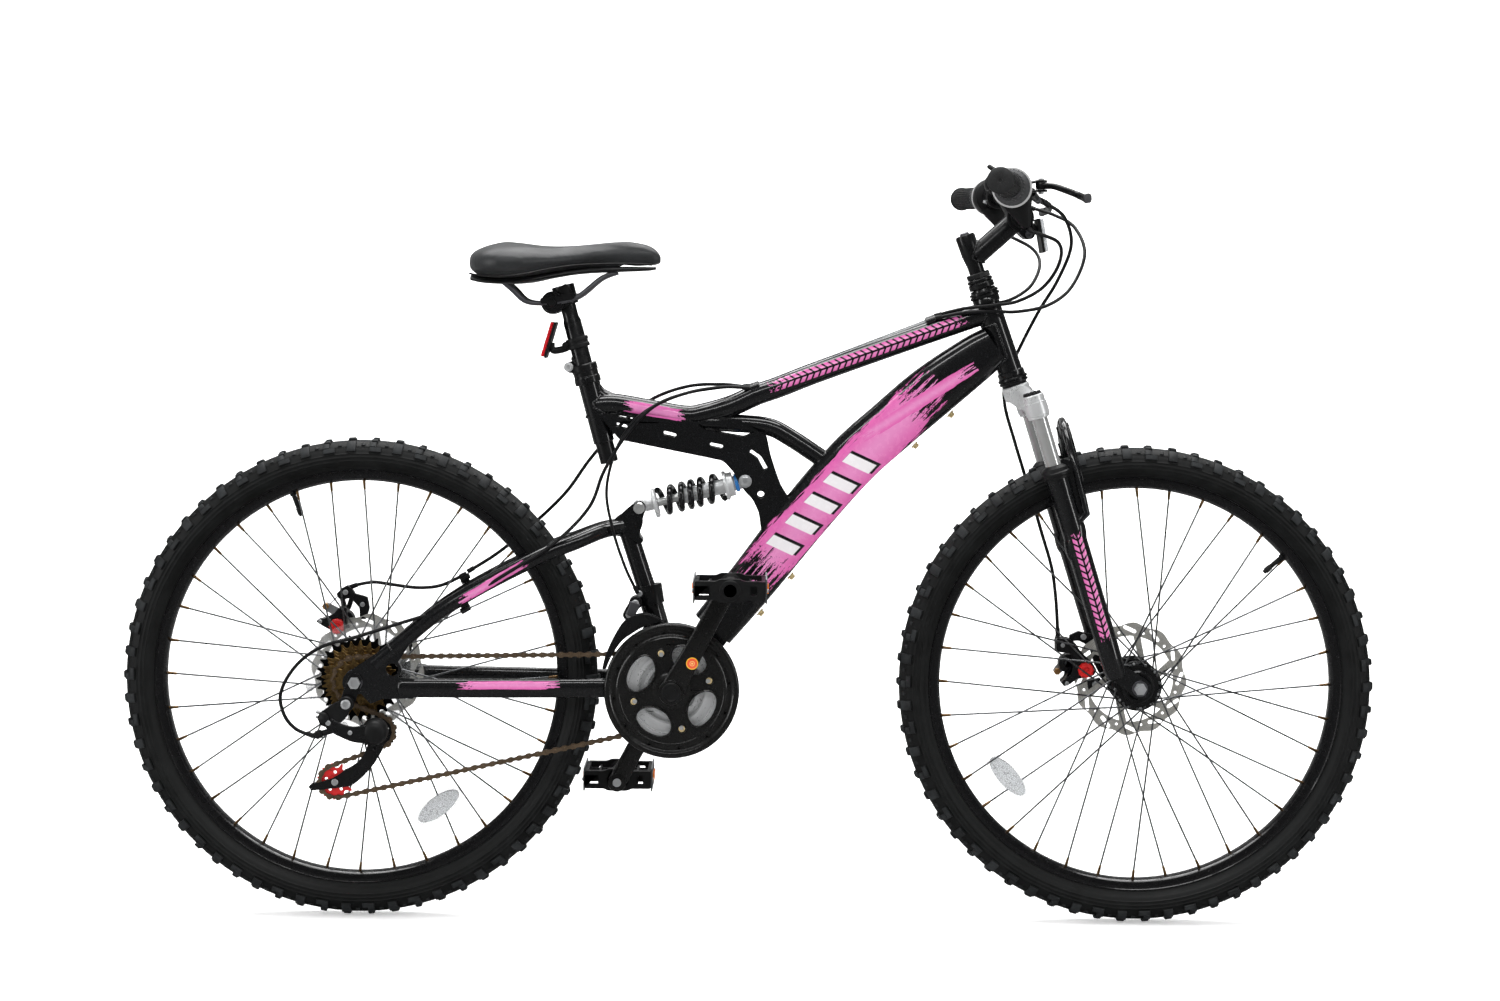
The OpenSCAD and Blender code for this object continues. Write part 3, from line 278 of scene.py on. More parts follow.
def cross_axes(axis):
    axis = unit(axis)
    guess = np.array([0, 0, 1.0]) if abs(axis[2]) < 0.9 else np.array([1.0, 0, 0])
    u = unit(np.cross(guess, axis))
    return u, np.cross(axis, u)


def section_rings(path, a, b=None, up=(0, 1, 0), sides=16, power=1.0, loop=False):
    path = np.array(path, float)
    n = len(path)
    a = np.broadcast_to(np.array(a, float), (n,))
    b = a if b is None else np.broadcast_to(np.array(b, float), (n,))
    u = np.array(up, float)
    rings = []
    for i in range(n):
        nxt, prv = (path[(i + 1) % n], path[i - 1]) if loop else (path[min(i + 1, n - 1)],
            path[max(i - 1, 0)])
        t = unit(nxt - prv)
        u = unit(u - t * np.dot(u, t))
        v = np.cross(t, u)
        ring = []
        for k in range(sides):
            q = 2 * math.pi * k / sides
            c, s = math.cos(q), math.sin(q)
            c, s = math.copysign(abs(c) ** power, c), math.copysign(abs(s) ** power, s)
            ring.append(path[i] + u * a[i] * c + v * b[i] * s)
        rings.append(ring)
    return rings


def ccw(loop):
    pts = [(float(p[0]), float(p[1])) for p in loop]
    area = sum(p[0] * q[1] - q[0] * p[1] for p, q in zip(pts, pts[1:] + pts[:1]))
    return pts if area > 0 else pts[::-1]


def circle(c, r, n=24, start=0.0, stop=360.0):
    full = stop - start >= 360
    return [(c[0] + r * math.cos(math.radians(start + (stop - start) * k / n)),
             c[-1] + r * math.sin(math.radians(start + (stop - start) * k / n)))
            for k in range(n if full else n + 1)]


def strap(p, q, r, n=10, r2=None):
    """Outline of a bar with round ends."""
    r2 = r if r2 is None else r2
    a = math.degrees(math.atan2(q[1] - p[1], q[0] - p[0]))
    return circle(p, r, n, a + 90, a + 270) + circle(q, r2, n, a - 90, a + 90)


def rounded(points, r, n=4):
    """Polygon with its corners rounded."""
    p = [np.array(q, float) for q in points]
    out = []
    for i, b in enumerate(p):
        a, c = p[i - 1], p[(i + 1) % len(p)]
        d = min(r, np.linalg.norm(a - b) / 2.2, np.linalg.norm(c - b) / 2.2)
        s, e = b + unit(a - b) * d, b + unit(c - b) * d
        out += [tuple(s * (1 - t) ** 2 + b * 2 * t * (1 - t) + e * t * t) for t in np.linspace(0, 1, n + 1)]
    return out


# ---------------------------------------------------------------- materials

class Finish:
    """A node material built from small calls. Places are the frame's own metres."""

    def __init__(self, name):
        self.mat = bpy.data.materials.new(name)
        self.mat.use_nodes = True
        self.nodes, self.links = self.mat.node_tree.nodes, self.mat.node_tree.links
        self.bsdf = self.nodes["Principled BSDF"]
        self.place = self.nodes.new("ShaderNodeTexCoord").outputs["Object"]

    def put(self, socket, value):
        if isinstance(value, bpy.types.NodeSocket):
            self.links.new(value, socket)
        elif isinstance(value, (tuple, list)) and socket.type == "RGBA":
            socket.default_value = (*value[:3], 1)
        else:
            socket.default_value = value

    def set(self, **values):
        for name, value in values.items():
            self.put(self.bsdf.inputs[name.replace("_", " ")], value)
        return self

    def math(self, op, a, b=0.0, c=0.0):
        node = self.nodes.new("ShaderNodeMath")
        node.operation = op
        for socket, value in zip(node.inputs, (a, b, c)):
            self.put(socket, value)
        return node.outputs[0]

    def step(self, x, low, high, a=0.0, b=1.0):
        node = self.nodes.new("ShaderNodeMapRange")
        node.interpolation_type = "SMOOTHSTEP"
        for socket, value in zip(node.inputs, (x, low, high, a, b)):
            self.put(socket, value)
        return node.outputs[0]

    def blend(self, f, a, b):
        node = self.nodes.new("ShaderNodeMix")
        node.data_type = "RGBA"
        self.put(node.inputs["Factor"], f)
        self.put(node.inputs[6], a)
        self.put(node.inputs[7], b)
        return node.outputs[2]

    def vector(self, x, y, z):
        node = self.nodes.new("ShaderNodeCombineXYZ")
        for socket, value in zip(node.inputs, (x, y, z)):
            self.put(socket, value)
        return node.outputs[0]

    def parts(self, vec=None):
        node = self.nodes.new("ShaderNodeSeparateXYZ")
        self.links.new(self.place if vec is None else vec, node.inputs[0])
        return node.outputs

    def stretch(self, sx, sy, sz):
        node = self.nodes.new("ShaderNodeMapping")
        self.links.new(self.place, node.inputs[0])
        node.inputs["Scale"].default_value = (sx, sy, sz)
        return node.outputs[0]

    def noise(self, scale, detail=2.0, rough=0.5, vec=None):
        node = self.nodes.new("ShaderNodeTexNoise")
        self.links.new(self.place if vec is None else vec, node.inputs["Vector"])
        node.inputs["Scale"].default_value = scale
        node.inputs["Detail"].default_value = detail
        node.inputs["Roughness"].default_value = rough
        return node.outputs["Fac"]

    def cells(self, scale, feature="F1", vec=None):
        node = self.nodes.new("ShaderNodeTexVoronoi")
        node.feature = feature
        self.links.new(self.place if vec is None else vec, node.inputs["Vector"])
        node.inputs["Scale"].default_value = scale
        return node.outputs["Distance"]

    def bump(self, height, distance, strength=1.0):
        node = self.nodes.new("ShaderNodeBump")
        node.inputs["Strength"].default_value = strength
        node.inputs["Distance"].default_value = distance * MM
        self.put(node.inputs["Height"], height)
        self.links.new(node.outputs[0], self.bsdf.inputs["Normal"])
        return self

    def around(self, centre):
        """Radius and angle round a Y axis through a point, in mm and radians."""
        x, _, z = self.parts()
        dx = self.math("SUBTRACT", x, centre[0] * MM)
        dz = self.math("SUBTRACT", z, centre[2] * MM)
        squares = self.math("ADD", self.math("MULTIPLY", dx, dx), self.math("MULTIPLY", dz, dz))
        return self.math("MULTIPLY", self.math("SQRT", squares), 1000.0), self.math("ARCTAN2", dz, dx)


def varied(m, low, high, scale, detail=3.0):
    return m.step(m.noise(scale, detail), 0.3, 0.7, low, high)


def plastic(name, colour, rough=0.45, grain=900.0, depth=0.05, coat=0.0):
    """Moulded plastic: fine texture, slight shade changes, rubbed patches."""
    m = Finish(name)
    dark = [c * 0.8 for c in colour]
    m.set(Base_Color=m.blend(m.noise(60, 4), dark, [c * 1.25 for c in colour]),
          Roughness=varied(m, rough - 0.07, rough + 0.1, 90, 4), Coat_Weight=coat, Specular_IOR_Level=0.32)
    return m.bump(m.noise(grain, 3, 0.6), depth).mat


def metal(name, colour, rough=0.25, lines=(1, 1, 1), scale=400.0, depth=0.012, tint=0.12, shine=0.75):
    """Worked metal: fine lines stretched along one axis, soft stains, tiny dents."""
    m = Finish(name)
    drawn = m.noise(scale, 3, 0.6, m.stretch(*lines))
    shade = m.blend(m.noise(45, 4, 0.6), [c * (1 - tint) for c in colour],
                    [min(1, c * (1 + tint)) for c in colour])
    m.set(Base_Color=shade, Metallic=shine, Roughness=m.math("ADD",
        m.step(drawn, 0.2, 0.8, rough * 0.75, rough * 1.2),
                                                          varied(m, 0.0, 0.06, 30)))
    return m.bump(drawn, depth).mat


def plate_metal(name, centre, colour, rough, rings=3.0):
    """Metal turned or ground round a wheel's axle."""
    m = Finish(name)
    radius, angle = m.around(centre)
    lines = m.noise(1.0, 3, 0.7, m.vector(m.math("MULTIPLY", radius, rings), m.math("MULTIPLY", angle, 1.2),
                                          0.0))
    m.set(Base_Color=m.blend(m.noise(60, 4), [c * 0.82 for c in colour], colour), Metallic=0.45,
          Roughness=m.step(lines, 0.25, 0.75, rough * 0.7, rough * 1.3))
    return m.bump(lines, 0.02).mat


PINK = (0.72, 0.135, 0.42)
PINK_PALE = (0.76, 0.26, 0.53)


def decal(m, a, b, half, kind, seed, bend=0.0):
    """Mask and colour of a print lying along a line in the XZ plane, half as wide as `half`."""
    x, _, z = m.parts()
    length = math.dist(a, b)
    cx, cz = (b[0] - a[0]) / length, (b[1] - a[1]) / length
    dx, dz = m.math("SUBTRACT", x, a[0] * MM), m.math("SUBTRACT", z, a[1] * MM)
    along = m.math("ADD", m.math("MULTIPLY", dx, cx / (length * MM)),
                   m.math("MULTIPLY", dz, cz / (length * MM)))
    across = m.math("ADD", m.math("MULTIPLY", dx, -cz / (half * MM)),
                    m.math("MULTIPLY", dz, cx / (half * MM)))
    if bend:
        hump = m.math("MULTIPLY", m.math("MULTIPLY", along, m.math("SUBTRACT", 1.0, along)), bend)
        across = m.math("SUBTRACT", across, hump)
    size = length * MM
    wide = m.math("ABSOLUTE", across)
    ends = m.math("MINIMUM", along, m.math("SUBTRACT", 1.0, along))
    streak = m.noise(1.0, 3, 0.65, m.vector(m.math("MULTIPLY", along, size * 18),
                                            m.math("MULTIPLY", across, half * 0.22), float(seed)))
    grit = m.noise(1.0, 2, 0.6, m.vector(m.math("MULTIPLY", along, size * 260),
                                         m.math("MULTIPLY", across, half * 0.55), seed + 7.0))
    if kind == "tread":
        count = length / 9.5
        wave = m.math("FRACT", m.math("ADD", m.math("MULTIPLY", along, count),
                                      m.math("MULTIPLY", wide, 0.75)))
        bars = m.math("MULTIPLY", m.step(wave, 0.3, 0.38), m.step(wide, 0.12, 0.2))
        fade = m.step(m.math("ADD", m.math("MULTIPLY", ends, 5.0), m.math("MULTIPLY", grit, 1.4)), 0.85, 0.9)
        edge = m.step(wide, 0.86, 0.92, 1.0, 0.0)
        mask = m.math("MULTIPLY", m.math("MULTIPLY", bars, fade), edge)
    else:
        reach = m.math("ADD", m.math("MULTIPLY", ends, 4.2), m.math("MULTIPLY",
            m.math("SUBTRACT", streak, 0.5), 3.2))
        body = m.step(reach, 0.28, 0.34)
        rim = m.math("ADD", wide, m.math("MULTIPLY", m.math("SUBTRACT", streak, 0.5), 0.8))
        mask = m.math("MULTIPLY", body, m.step(rim, 0.88, 0.94, 1.0, 0.0))
        specks = m.step(m.math("ADD", grit, m.math("MULTIPLY", ends, 2.2)), 0.68, 0.72)
        mask = m.math("MULTIPLY", mask, m.math("MAXIMUM", specks, m.step(streak, 0.5, 0.56)))
    inside = m.math("MULTIPLY", m.step(along, 0.0, 0.004), m.step(along, 0.996, 1.0, 1.0, 0.0))
    mask = m.math("MULTIPLY", mask, inside)
    colour = m.blend(m.step(wide, 0.0, 0.9), PINK_PALE, PINK)
    return mask, colour, along, across


def paint(name, prints=(), slashes=None):
    """Glossy black enamel with a clear coat, faint orange peel, dust, and printed decals under the coat."""
    m = Finish(name)
    colour = m.blend(m.noise(25, 4), (0.0020, 0.0022, 0.0026), (0.0042, 0.0046, 0.0054))
    side = m.nodes.new("ShaderNodeNewGeometry").outputs["Normal"]
    outward = m.math("MULTIPLY", m.parts(side)[1], m.math("SIGN", m.parts()[1]))
    facing = m.step(outward, 0.2, 0.4)
    for i, (a, b, half, kind, bend) in enumerate(prints):
        mask, pink, along, across = decal(m, a, b, half, kind, i * 3.7, bend)
        colour = m.blend(m.math("MULTIPLY", mask, facing), colour, pink)
        if slashes is not None and i == slashes[0]:
            colour = slash_print(m, colour, along, across, facing, slashes[1:])
    m.set(Base_Color=colour, Roughness=varied(m, 0.22, 0.3, 140), Coat_Weight=1.0,
          Coat_Roughness=varied(m, 0.03, 0.09, 70), Specular_IOR_Level=0.3)
    return m.bump(m.noise(500, 2), 0.006).mat


def slash_print(m, colour, along, across, facing, spec):
    """Slanted white bars with a dark edge, in the middle of a print."""
    start, stop, count = spec
    t = m.math("MULTIPLY", m.math("DIVIDE", m.math("SUBTRACT", along, start), stop - start), count)
    slant = m.math("ADD", t, m.math("MULTIPLY", across, 0.28))
    cell = m.math("FRACT", slant)
    inside = m.math("MULTIPLY", m.step(slant, 0.0, 0.01), m.step(slant, count - 0.01, count, 1.0, 0.0))
    for low, high, tall, tone in ((0.12, 0.62, 0.66, (0.006, 0.006, 0.007)),
                                  (0.08, 0.5, 0.6, (0.86, 0.83, 0.85))):
        bar = m.math("MULTIPLY", m.step(cell, low, low + 0.03), m.step(cell, high, high + 0.03, 1.0, 0.0))
        shift = m.math("ABSOLUTE", m.math("ADD", across, 0.05 if tone[0] < 0.1 else 0.0))
        bar = m.math("MULTIPLY", bar, m.step(shift, tall - 0.03, tall, 1.0, 0.0))
        bar = m.math("MULTIPLY", bar, m.math("MULTIPLY", inside, facing))
        colour = m.blend(bar, colour, tone)
    return colour


# ---------------------------------------------------------------- key places

FRONT, REAR, CRANK = at("front_wheel_spin"), at("rear_wheel_spin"), at("crank_spin")
PIVOT = at("swingarm_pivot")
SHOCK_F, SHOCK_DIR = at("shock_pivot"), axis_of("shock_stroke")
SHOCK_L = 151.9
SHOCK_R = SHOCK_F - SHOCK_DIR * SHOCK_L
HEAD_TOP, HEAD_UP = at("steering"), axis_of("steering")
HEAD_L = 118.0
LEG_UP = axis_of("fork_travel")
CROWN = np.array([386.0, 0, 733.0])
LEG_Y, LEG_TOP, LEG_END = 60.0, 113.0, 404.0
SEAT_LOW, SEAT_UP = np.array([-204.4, 0, 661.0]), axis_of("seatpost_height")
SEAT_L = 105.8
STRUT_TOP = np.array([-174.7, 0, 551.8])
CLAMP = np.array([-277.0, 0, 853.8])
BAR = np.array([371.2, 0, 979.0])
BAR_R, BAR_HALF = 11.1, 318.0
BAR_AXIS = unit(np.array([1, -1, 1]) * axis_of("right_shifter"))
RING = np.array([338.0, 200.0, 1014.0])
TYRE_C = 306.0
VALVES = {"front": 41.0, "rear": 111.5}


def on_steer(s):
    return HEAD_TOP - HEAD_UP * s


def on_leg(s, y=0.0):
    p = CROWN - LEG_UP * s
    return np.array([p[0], y, p[2]])


def on_seat(s):
    return SEAT_LOW + SEAT_UP * s


def on_shock(s):
    return SHOCK_R + SHOCK_DIR * s


def on_bar(y):
    return RING + BAR_AXIS * (y - 200.0) / BAR_AXIS[1]


# ---------------------------------------------------------------- finishes

DOWN_A, DOWN_B = (-6.0, 462.0), (262.0, 752.0)
FRAME_PRINTS = [(DOWN_A, DOWN_B, 33.0, "splash", 0.30), ((150.0, 668.0), (312.0, 772.0), 9.0, "splash", 0.0),
                ((24.0, 738.0), (300.0, 838.0), 8.5, "tread", 0.0),
                ((-178.0, 712.0), (-90.0, 698.0), 9.0, "splash", 0.0)]
STAY_PRINTS = [((-398.0, 443.0), (-300.0, 501.0), 6.0, "splash", 0.0),
               ((-400.0, 329.0), (-258.0, 329.5), 6.0, "splash", 0.0)]
LEG_PRINTS = [((445.0, 547.0), (489.0, 399.0), 8.0, "tread", 0.0)]

FRAME_PAINT = paint("frame_enamel", FRAME_PRINTS, (0, 0.17, 0.66, 5.0))
STAY_PAINT = paint("swingarm_enamel", STAY_PRINTS)
LEG_PAINT = paint("fork_enamel", LEG_PRINTS)
BLACK = plastic("black_satin_metal", (0.0042, 0.0044, 0.0048), 0.3, 700, 0.02, 0.3)
BLACK_PLASTIC = plastic("black_plastic", (0.0065, 0.0067, 0.007), 0.42, 900, 0.05)
GREY_PLASTIC = plastic("grey_plastic", (0.05, 0.05, 0.053), 0.5, 900, 0.05)
LIGHT_PLASTIC = plastic("light_grey_plastic", (0.5, 0.5, 0.5), 0.35, 900, 0.04)
GUARD = plastic("guard_plastic", (0.0055, 0.0055, 0.0052), 0.24, 500, 0.02, 0.4)
RED_PLASTIC = plastic("red_plastic", (0.62, 0.012, 0.012), 0.33, 800, 0.04, 0.3)
CHROME = metal("chrome", (0.74, 0.75, 0.74), 0.14, (1, 1, 1), 250, 0.004, 0.06, 0.72)
ALLOY = metal("bright_alloy", (0.74, 0.75, 0.755), 0.3, (1, 3, 1), 300, 0.01, 0.12, 0.5)
STEEL = metal("zinc_steel", (0.52, 0.53, 0.54), 0.32, (1, 1, 1), 500, 0.015, 0.12, 0.6)
DARK_STEEL = metal("dark_steel", (0.13, 0.13, 0.14), 0.32, (1, 1, 1), 500, 0.015)
BRASS = metal("brass_plate", (0.74, 0.58, 0.3), 0.28, (1, 1, 1), 400, 0.01, 0.12, 0.5)
PEDAL_STEEL = metal("pedal_cage_steel", (0.16, 0.165, 0.17), 0.36, (1, 1, 1), 500, 0.02, 0.25)
CHAIN_STEEL = metal("chain_steel", (0.15, 0.105, 0.066), 0.33, (1, 1, 1), 900, 0.02, 0.5, 0.6)
COPPER = metal("pinch_copper", (0.55, 0.3, 0.12), 0.3, (1, 1, 1), 500, 0.01)
BLUE = plastic("blue_anodised", (0.03, 0.22, 0.62), 0.3, 600, 0.02, 0.4)
CABLE = plastic("cable_housing", (0.006, 0.006, 0.0066), 0.36, 1200, 0.02)
SPRING = plastic("spring_enamel", (0.004, 0.004, 0.0045), 0.2, 400, 0.01, 0.8)
RIM_BLACK = plastic("rim_anodised", (0.004, 0.004, 0.0045), 0.22, 500, 0.01, 0.35)
ORANGE = plastic("orange_reflector", (0.9, 0.2, 0.01), 0.2, 500, 0.03, 0.6)


def rubber():
    """Tyre rubber, slightly blue grey, with fine mould lines on the sidewall and painted light: a darker
    colour in the grooves as painted shade and a lighter colour on the knob tops as painted highlight, each
    with random tone changes.
    """
    m = Finish("tyre_rubber")
    dust = m.noise(38, 4, 0.6)
    fine = m.noise(1600, 2)
    y = m.parts()[1]
    reach = []
    for centre in (FRONT, REAR):
        radius, _ = m.around(centre)
        out, across = m.math("SUBTRACT", radius, TYRE_C), m.math("MULTIPLY", y, 930.0)
        squares = m.math("ADD", m.math("MULTIPLY", out, out), m.math("MULTIPLY", across, across))
        reach.append(m.math("SQRT", squares))
    # top is 1 on the raised knob faces and 0 down in the grooves; it switches between the darker groove
    # colour (painted shade) and the lighter knob colour (painted light).
    top = m.step(m.math("MINIMUM", *reach), 22.2, 24.6)
    groove = m.blend(m.step(dust, 0.35, 0.7), (0.0028, 0.0034, 0.0034), (0.0065, 0.0075, 0.0075))
    block = m.blend(m.step(dust, 0.35, 0.7), (0.011, 0.0125, 0.0135), (0.026, 0.029, 0.031))
    m.set(Base_Color=m.blend(top, groove, block), Roughness=m.step(dust, 0.3, 0.7, 0.5, 0.66),
          Specular_IOR_Level=0.35)
    return m.bump(m.math("ADD", fine, m.noise(240, 3)), 0.08).mat


def spoke_finish(name, centre):
    """Bright spokes whose nipples at the rim are brass."""
    m = Finish(name)
    radius, _ = m.around(centre)
    nipple = m.step(radius, 258.5, 259.5)
    m.set(Base_Color=m.blend(nipple, (0.2, 0.205, 0.21), (0.25, 0.15, 0.07)), Metallic=1.0,
          Roughness=varied(m, 0.25, 0.38, 120))
    return m.bump(m.noise(900, 2), 0.01).mat


def cog_finish():
    """Bronze coloured cogs with grease; the largest cog is black."""
    m = Finish("cog_steel")
    _, y, _ = m.parts()
    largest = m.step(y, -0.0296, -0.0290)
    grease = m.step(m.noise(150, 4, 0.6), 0.35, 0.65)
    bronze = m.blend(grease, (0.17, 0.105, 0.04), (0.36, 0.235, 0.09))
    m.set(Base_Color=m.blend(largest, bronze, (0.012, 0.012, 0.012)), Metallic=1.0,
          Roughness=varied(m, 0.28, 0.45, 90))
    return m.bump(m.noise(500, 3), 0.03).mat


def ribbed_rubber(name, colour, rough=0.6):
    m = Finish(name)
    m.set(Base_Color=m.blend(m.noise(90, 4), [c * 0.75 for c in colour], [c * 1.3 for c in colour]),
          Roughness=varied(m, rough - 0.06, rough + 0.1, 120))
    return m.bump(m.noise(1500, 3, 0.6), 0.08).mat


def reflector(name, colour, rough=0.12):
    """Reflector lens: a hexagonal grid of small prisms under a clear face."""
    m = Finish(name)
    cell = m.cells(430, "DISTANCE_TO_EDGE", m.stretch(1, 1, 1))
    grid = m.step(cell, 0.02, 0.12)
    m.set(Base_Color=m.blend(grid, [c * 0.45 for c in colour], colour), Roughness=rough, Coat_Weight=0.8,
          Coat_Roughness=0.05)
    return m.bump(cell, 0.25).mat


def saddle_finish():
    """Black vinyl with a pebbled grain, a soft sheen and patchy roughness."""
    m = Finish("saddle_vinyl")
    grain = m.math("ADD", m.cells(620), m.math("MULTIPLY", m.noise(900, 3), 0.5))
    m.set(Base_Color=m.blend(m.noise(35, 4), (0.014, 0.015, 0.016), (0.026, 0.028, 0.030)),
          Roughness=varied(m, 0.36, 0.48, 30), Sheen_Weight=0.1, Specular_IOR_Level=0.5)
    return m.bump(grain, 0.09).mat


def clear_plastic():
    m = Finish("clear_plastic")
    m.set(Base_Color=m.blend(m.noise(40, 3), (0.86, 0.88, 0.9), (0.95, 0.96, 0.97)),
          Roughness=varied(m, 0.06, 0.2, 60),
          Transmission_Weight=0.85, IOR=1.08, Alpha=0.35)
    return m.bump(m.noise(120, 3), 0.1).mat


def sticker_finish(centre):
    """Round orange sticker with plain yellow rings."""
    m = Finish("round_sticker")
    radius, _ = m.around(centre)
    colour = (0.86, 0.10, 0.03)
    for low, high, tone in ((7.0, 8.2, (0.95, 0.55, 0.03)), (2.6, 3.4, (0.95, 0.62, 0.2)),
                            (-1.0, 1.2, (0.95, 0.62, 0.2))):
        band = m.math("MULTIPLY", m.step(radius, low, low + 0.2), m.step(radius, high, high + 0.2, 1.0, 0.0))
        colour = m.blend(band, colour, tone)
    m.set(Base_Color=colour, Roughness=varied(m, 0.25, 0.35, 100), Coat_Weight=0.6)
    return m.bump(m.noise(200, 3), 0.02).mat


RUBBER = rubber()
GRIP_RUBBER = ribbed_rubber("grip_rubber", (0.013, 0.0135, 0.014))
GRIP_GREY = ribbed_rubber("shifter_rubber", (0.045, 0.046, 0.048))
VINYL = saddle_finish()
COG_STEEL = cog_finish()
CLEAR = clear_plastic()
WHITE_LENS = reflector("white_reflector", (0.72, 0.74, 0.76))
RED_LENS = reflector("red_reflector", (0.7, 0.012, 0.02))


def finish_node(name, material, bevel=0.0, smooth=32):
    """Gives a CAD node its finish, smooth shading and, where it has sharp rims, small bevels."""
    obj = frame["nodes"][name]
    obj.data.materials.clear()
    obj.data.materials.append(material)
    obj.data.shade_smooth()
    obj.data.set_sharp_from_angle(angle=math.radians(smooth))
    if bevel:
        add_bevel(obj, bevel)


# ---------------------------------------------------------------- wheels

PITCHES = 62
SECTION_Y, SECTION_R = 23.0, 21.4
KNOB_Y, KNOB_R = 3.0, 4.6


def tread_point(centre, phi, theta, k):
    """Point on the tyre: phi round the section from the crown, theta round the wheel, k the knob height."""
    y = (SECTION_Y + KNOB_Y * k) * math.sin(math.radians(phi))
    return polar(centre, TYRE_C + (SECTION_R + KNOB_R * k) * math.cos(math.radians(phi)), theta, y)


def knob(shape, centre, phi0, phi1, th0, th1, k=1.0, cells=2):
    verts = []
    for level, inset in ((-0.15, 0.0), (k * 0.85, 0.06), (k, 0.16)):
        dp, dt = (phi1 - phi0) * inset * 0.5, (th1 - th0) * inset
        for i in range(cells + 1):
            phi = phi0 + dp + (phi1 - phi0 - 2 * dp) * i / cells
            verts += [tread_point(centre, phi, th, level) for th in (th0 + dt, th1 - dt)]
    n = 2 * (cells + 1)
    rim = [2 * i for i in range(cells + 1)] + [2 * i + 1 for i in range(cells, -1, -1)]
    faces = [[lvl * n + a, lvl * n + b, (lvl + 1) * n + b, (lvl + 1) * n + a]
             for lvl in (0, 1) for a, b in zip(rim, rim[1:] + rim[:1])]
    faces += [[2 * n + 2 * i, 2 * n + 2 * i + 1, 2 * n + 2 * i + 3, 2 * n + 2 * i + 2] for i in range(cells)]
    shape.add(verts, faces)


def tyre(name, centre, body, node):
    shape = Shape()
    outer = []
    for phi in np.arange(-122, 122.1, 2.5):
        ridge = max(math.exp(-((abs(phi) - c) / 1.6) ** 2) for c in (79, 91, 104)) * 0.9
        band = 0.7 * (abs(phi) < 53)
        q = math.radians(phi)
        outer.append(((SECTION_Y + band + ridge) * math.sin(q),
                      TYRE_C + (SECTION_R + band + ridge) * math.cos(q)))
    beads = [(14.6, 291.5), (13.2, 287.6), (11.4, 287.2), (11.4, 290.0)]
    inner = [((SECTION_Y - 3) * math.sin(math.radians(p)), TYRE_C + (SECTION_R - 3)
              * math.cos(math.radians(p)))
             for p in range(115, -116, -10)]
    profile = outer + beads + inner + [(-y, r) for y, r in beads[::-1]]
    shape.turn(centre, (0, 1, 0), profile, 200, loop=True)
    step = 360.0 / PITCHES
    for i in range(PITCHES):
        t = i * step
        for side in (-1, 1):
            if i % 2 == 0:
                knob(shape, centre, side * 3, side * 19, t - 0.95, t + 0.95)
                knob(shape, centre, side * 30, side * 72, t - 1.3, t + 1.2, 1.0, 4)
            else:
                knob(shape, centre, side * 20, side * 32, t - 0.7, t + 1.0, 1.0, 1)
                knob(shape, centre, side * 37, side * 57, t - 0.5, t + 1.3, 1.0, 2)
                knob(shape, centre, side * 57, side * 73, t - 1.9, t + 1.3, 1.0, 2)
            knob(shape, centre, side * 40, side * 50, t + 2.3, t + 3.3, 0.7, 1)
        if i % 2:
            knob(shape, centre, -14, 14, t - 0.75, t + 0.75)
    return shape.piece(name, body, RUBBER, node, smooth=40, slot="tyre")


def rim(name, centre, body, node):
    half = [(14.0, 287.0), (14.2, 285.4), (13.4, 284.6), (13.3, 277.5), (12.2, 275.0), (8.0, 272.4),
            (4.0, 271.6)]
    inner = [(4.0, 274.5), (10.0, 277.0), (11.8, 280.0), (11.9, 286.4), (12.6, 287.2)]
    profile = half + [(-y, r) for y, r in half[::-1]] + [(-y, r) for y, r in inner[::-1]] + inner
    Shape().turn(centre, (0, 1, 0), profile, 200, loop=True).piece(name, body, RIM_BLACK, node, smooth=30,
                                                                     slot="rim_black")


def spoke_set(side, centre, body):
    """Thirty-six laced spokes with nipples at the rim, heads at the hub flanges."""
    left, right, flange_r = (24.0, -33.0, 30.5) if side == "front" else (32.0, -17.0, 27.0)
    shape = Shape()
    for i in range(18):
        way = 1 if i % 2 else -1
        for half, flange in ((0, left), (1, right)):
            rim_a = (i + half / 2) * 20.0
            a = polar(centre, flange_r, rim_a + way * 60.0, flange + way * 2.9)
            b = polar(centre, 272.8, rim_a, 4.0 if half == 0 else -4.0)
            u = unit(b - a)
            shape.rod(a, b, 1.25, 0.2, 10)
            shape.rod(b - u * 13, b, 1.75, 0.4, 10, 2.2)
            shape.pin(a, a[1] - 1.6 * way, a[1] + 1.6 * way, 1.9, 0.4, 10)
    shape.piece(side + "_laced_spokes", body, spoke_finish(side + "_spoke_steel", centre), side + "_spokes",
                smooth=50)


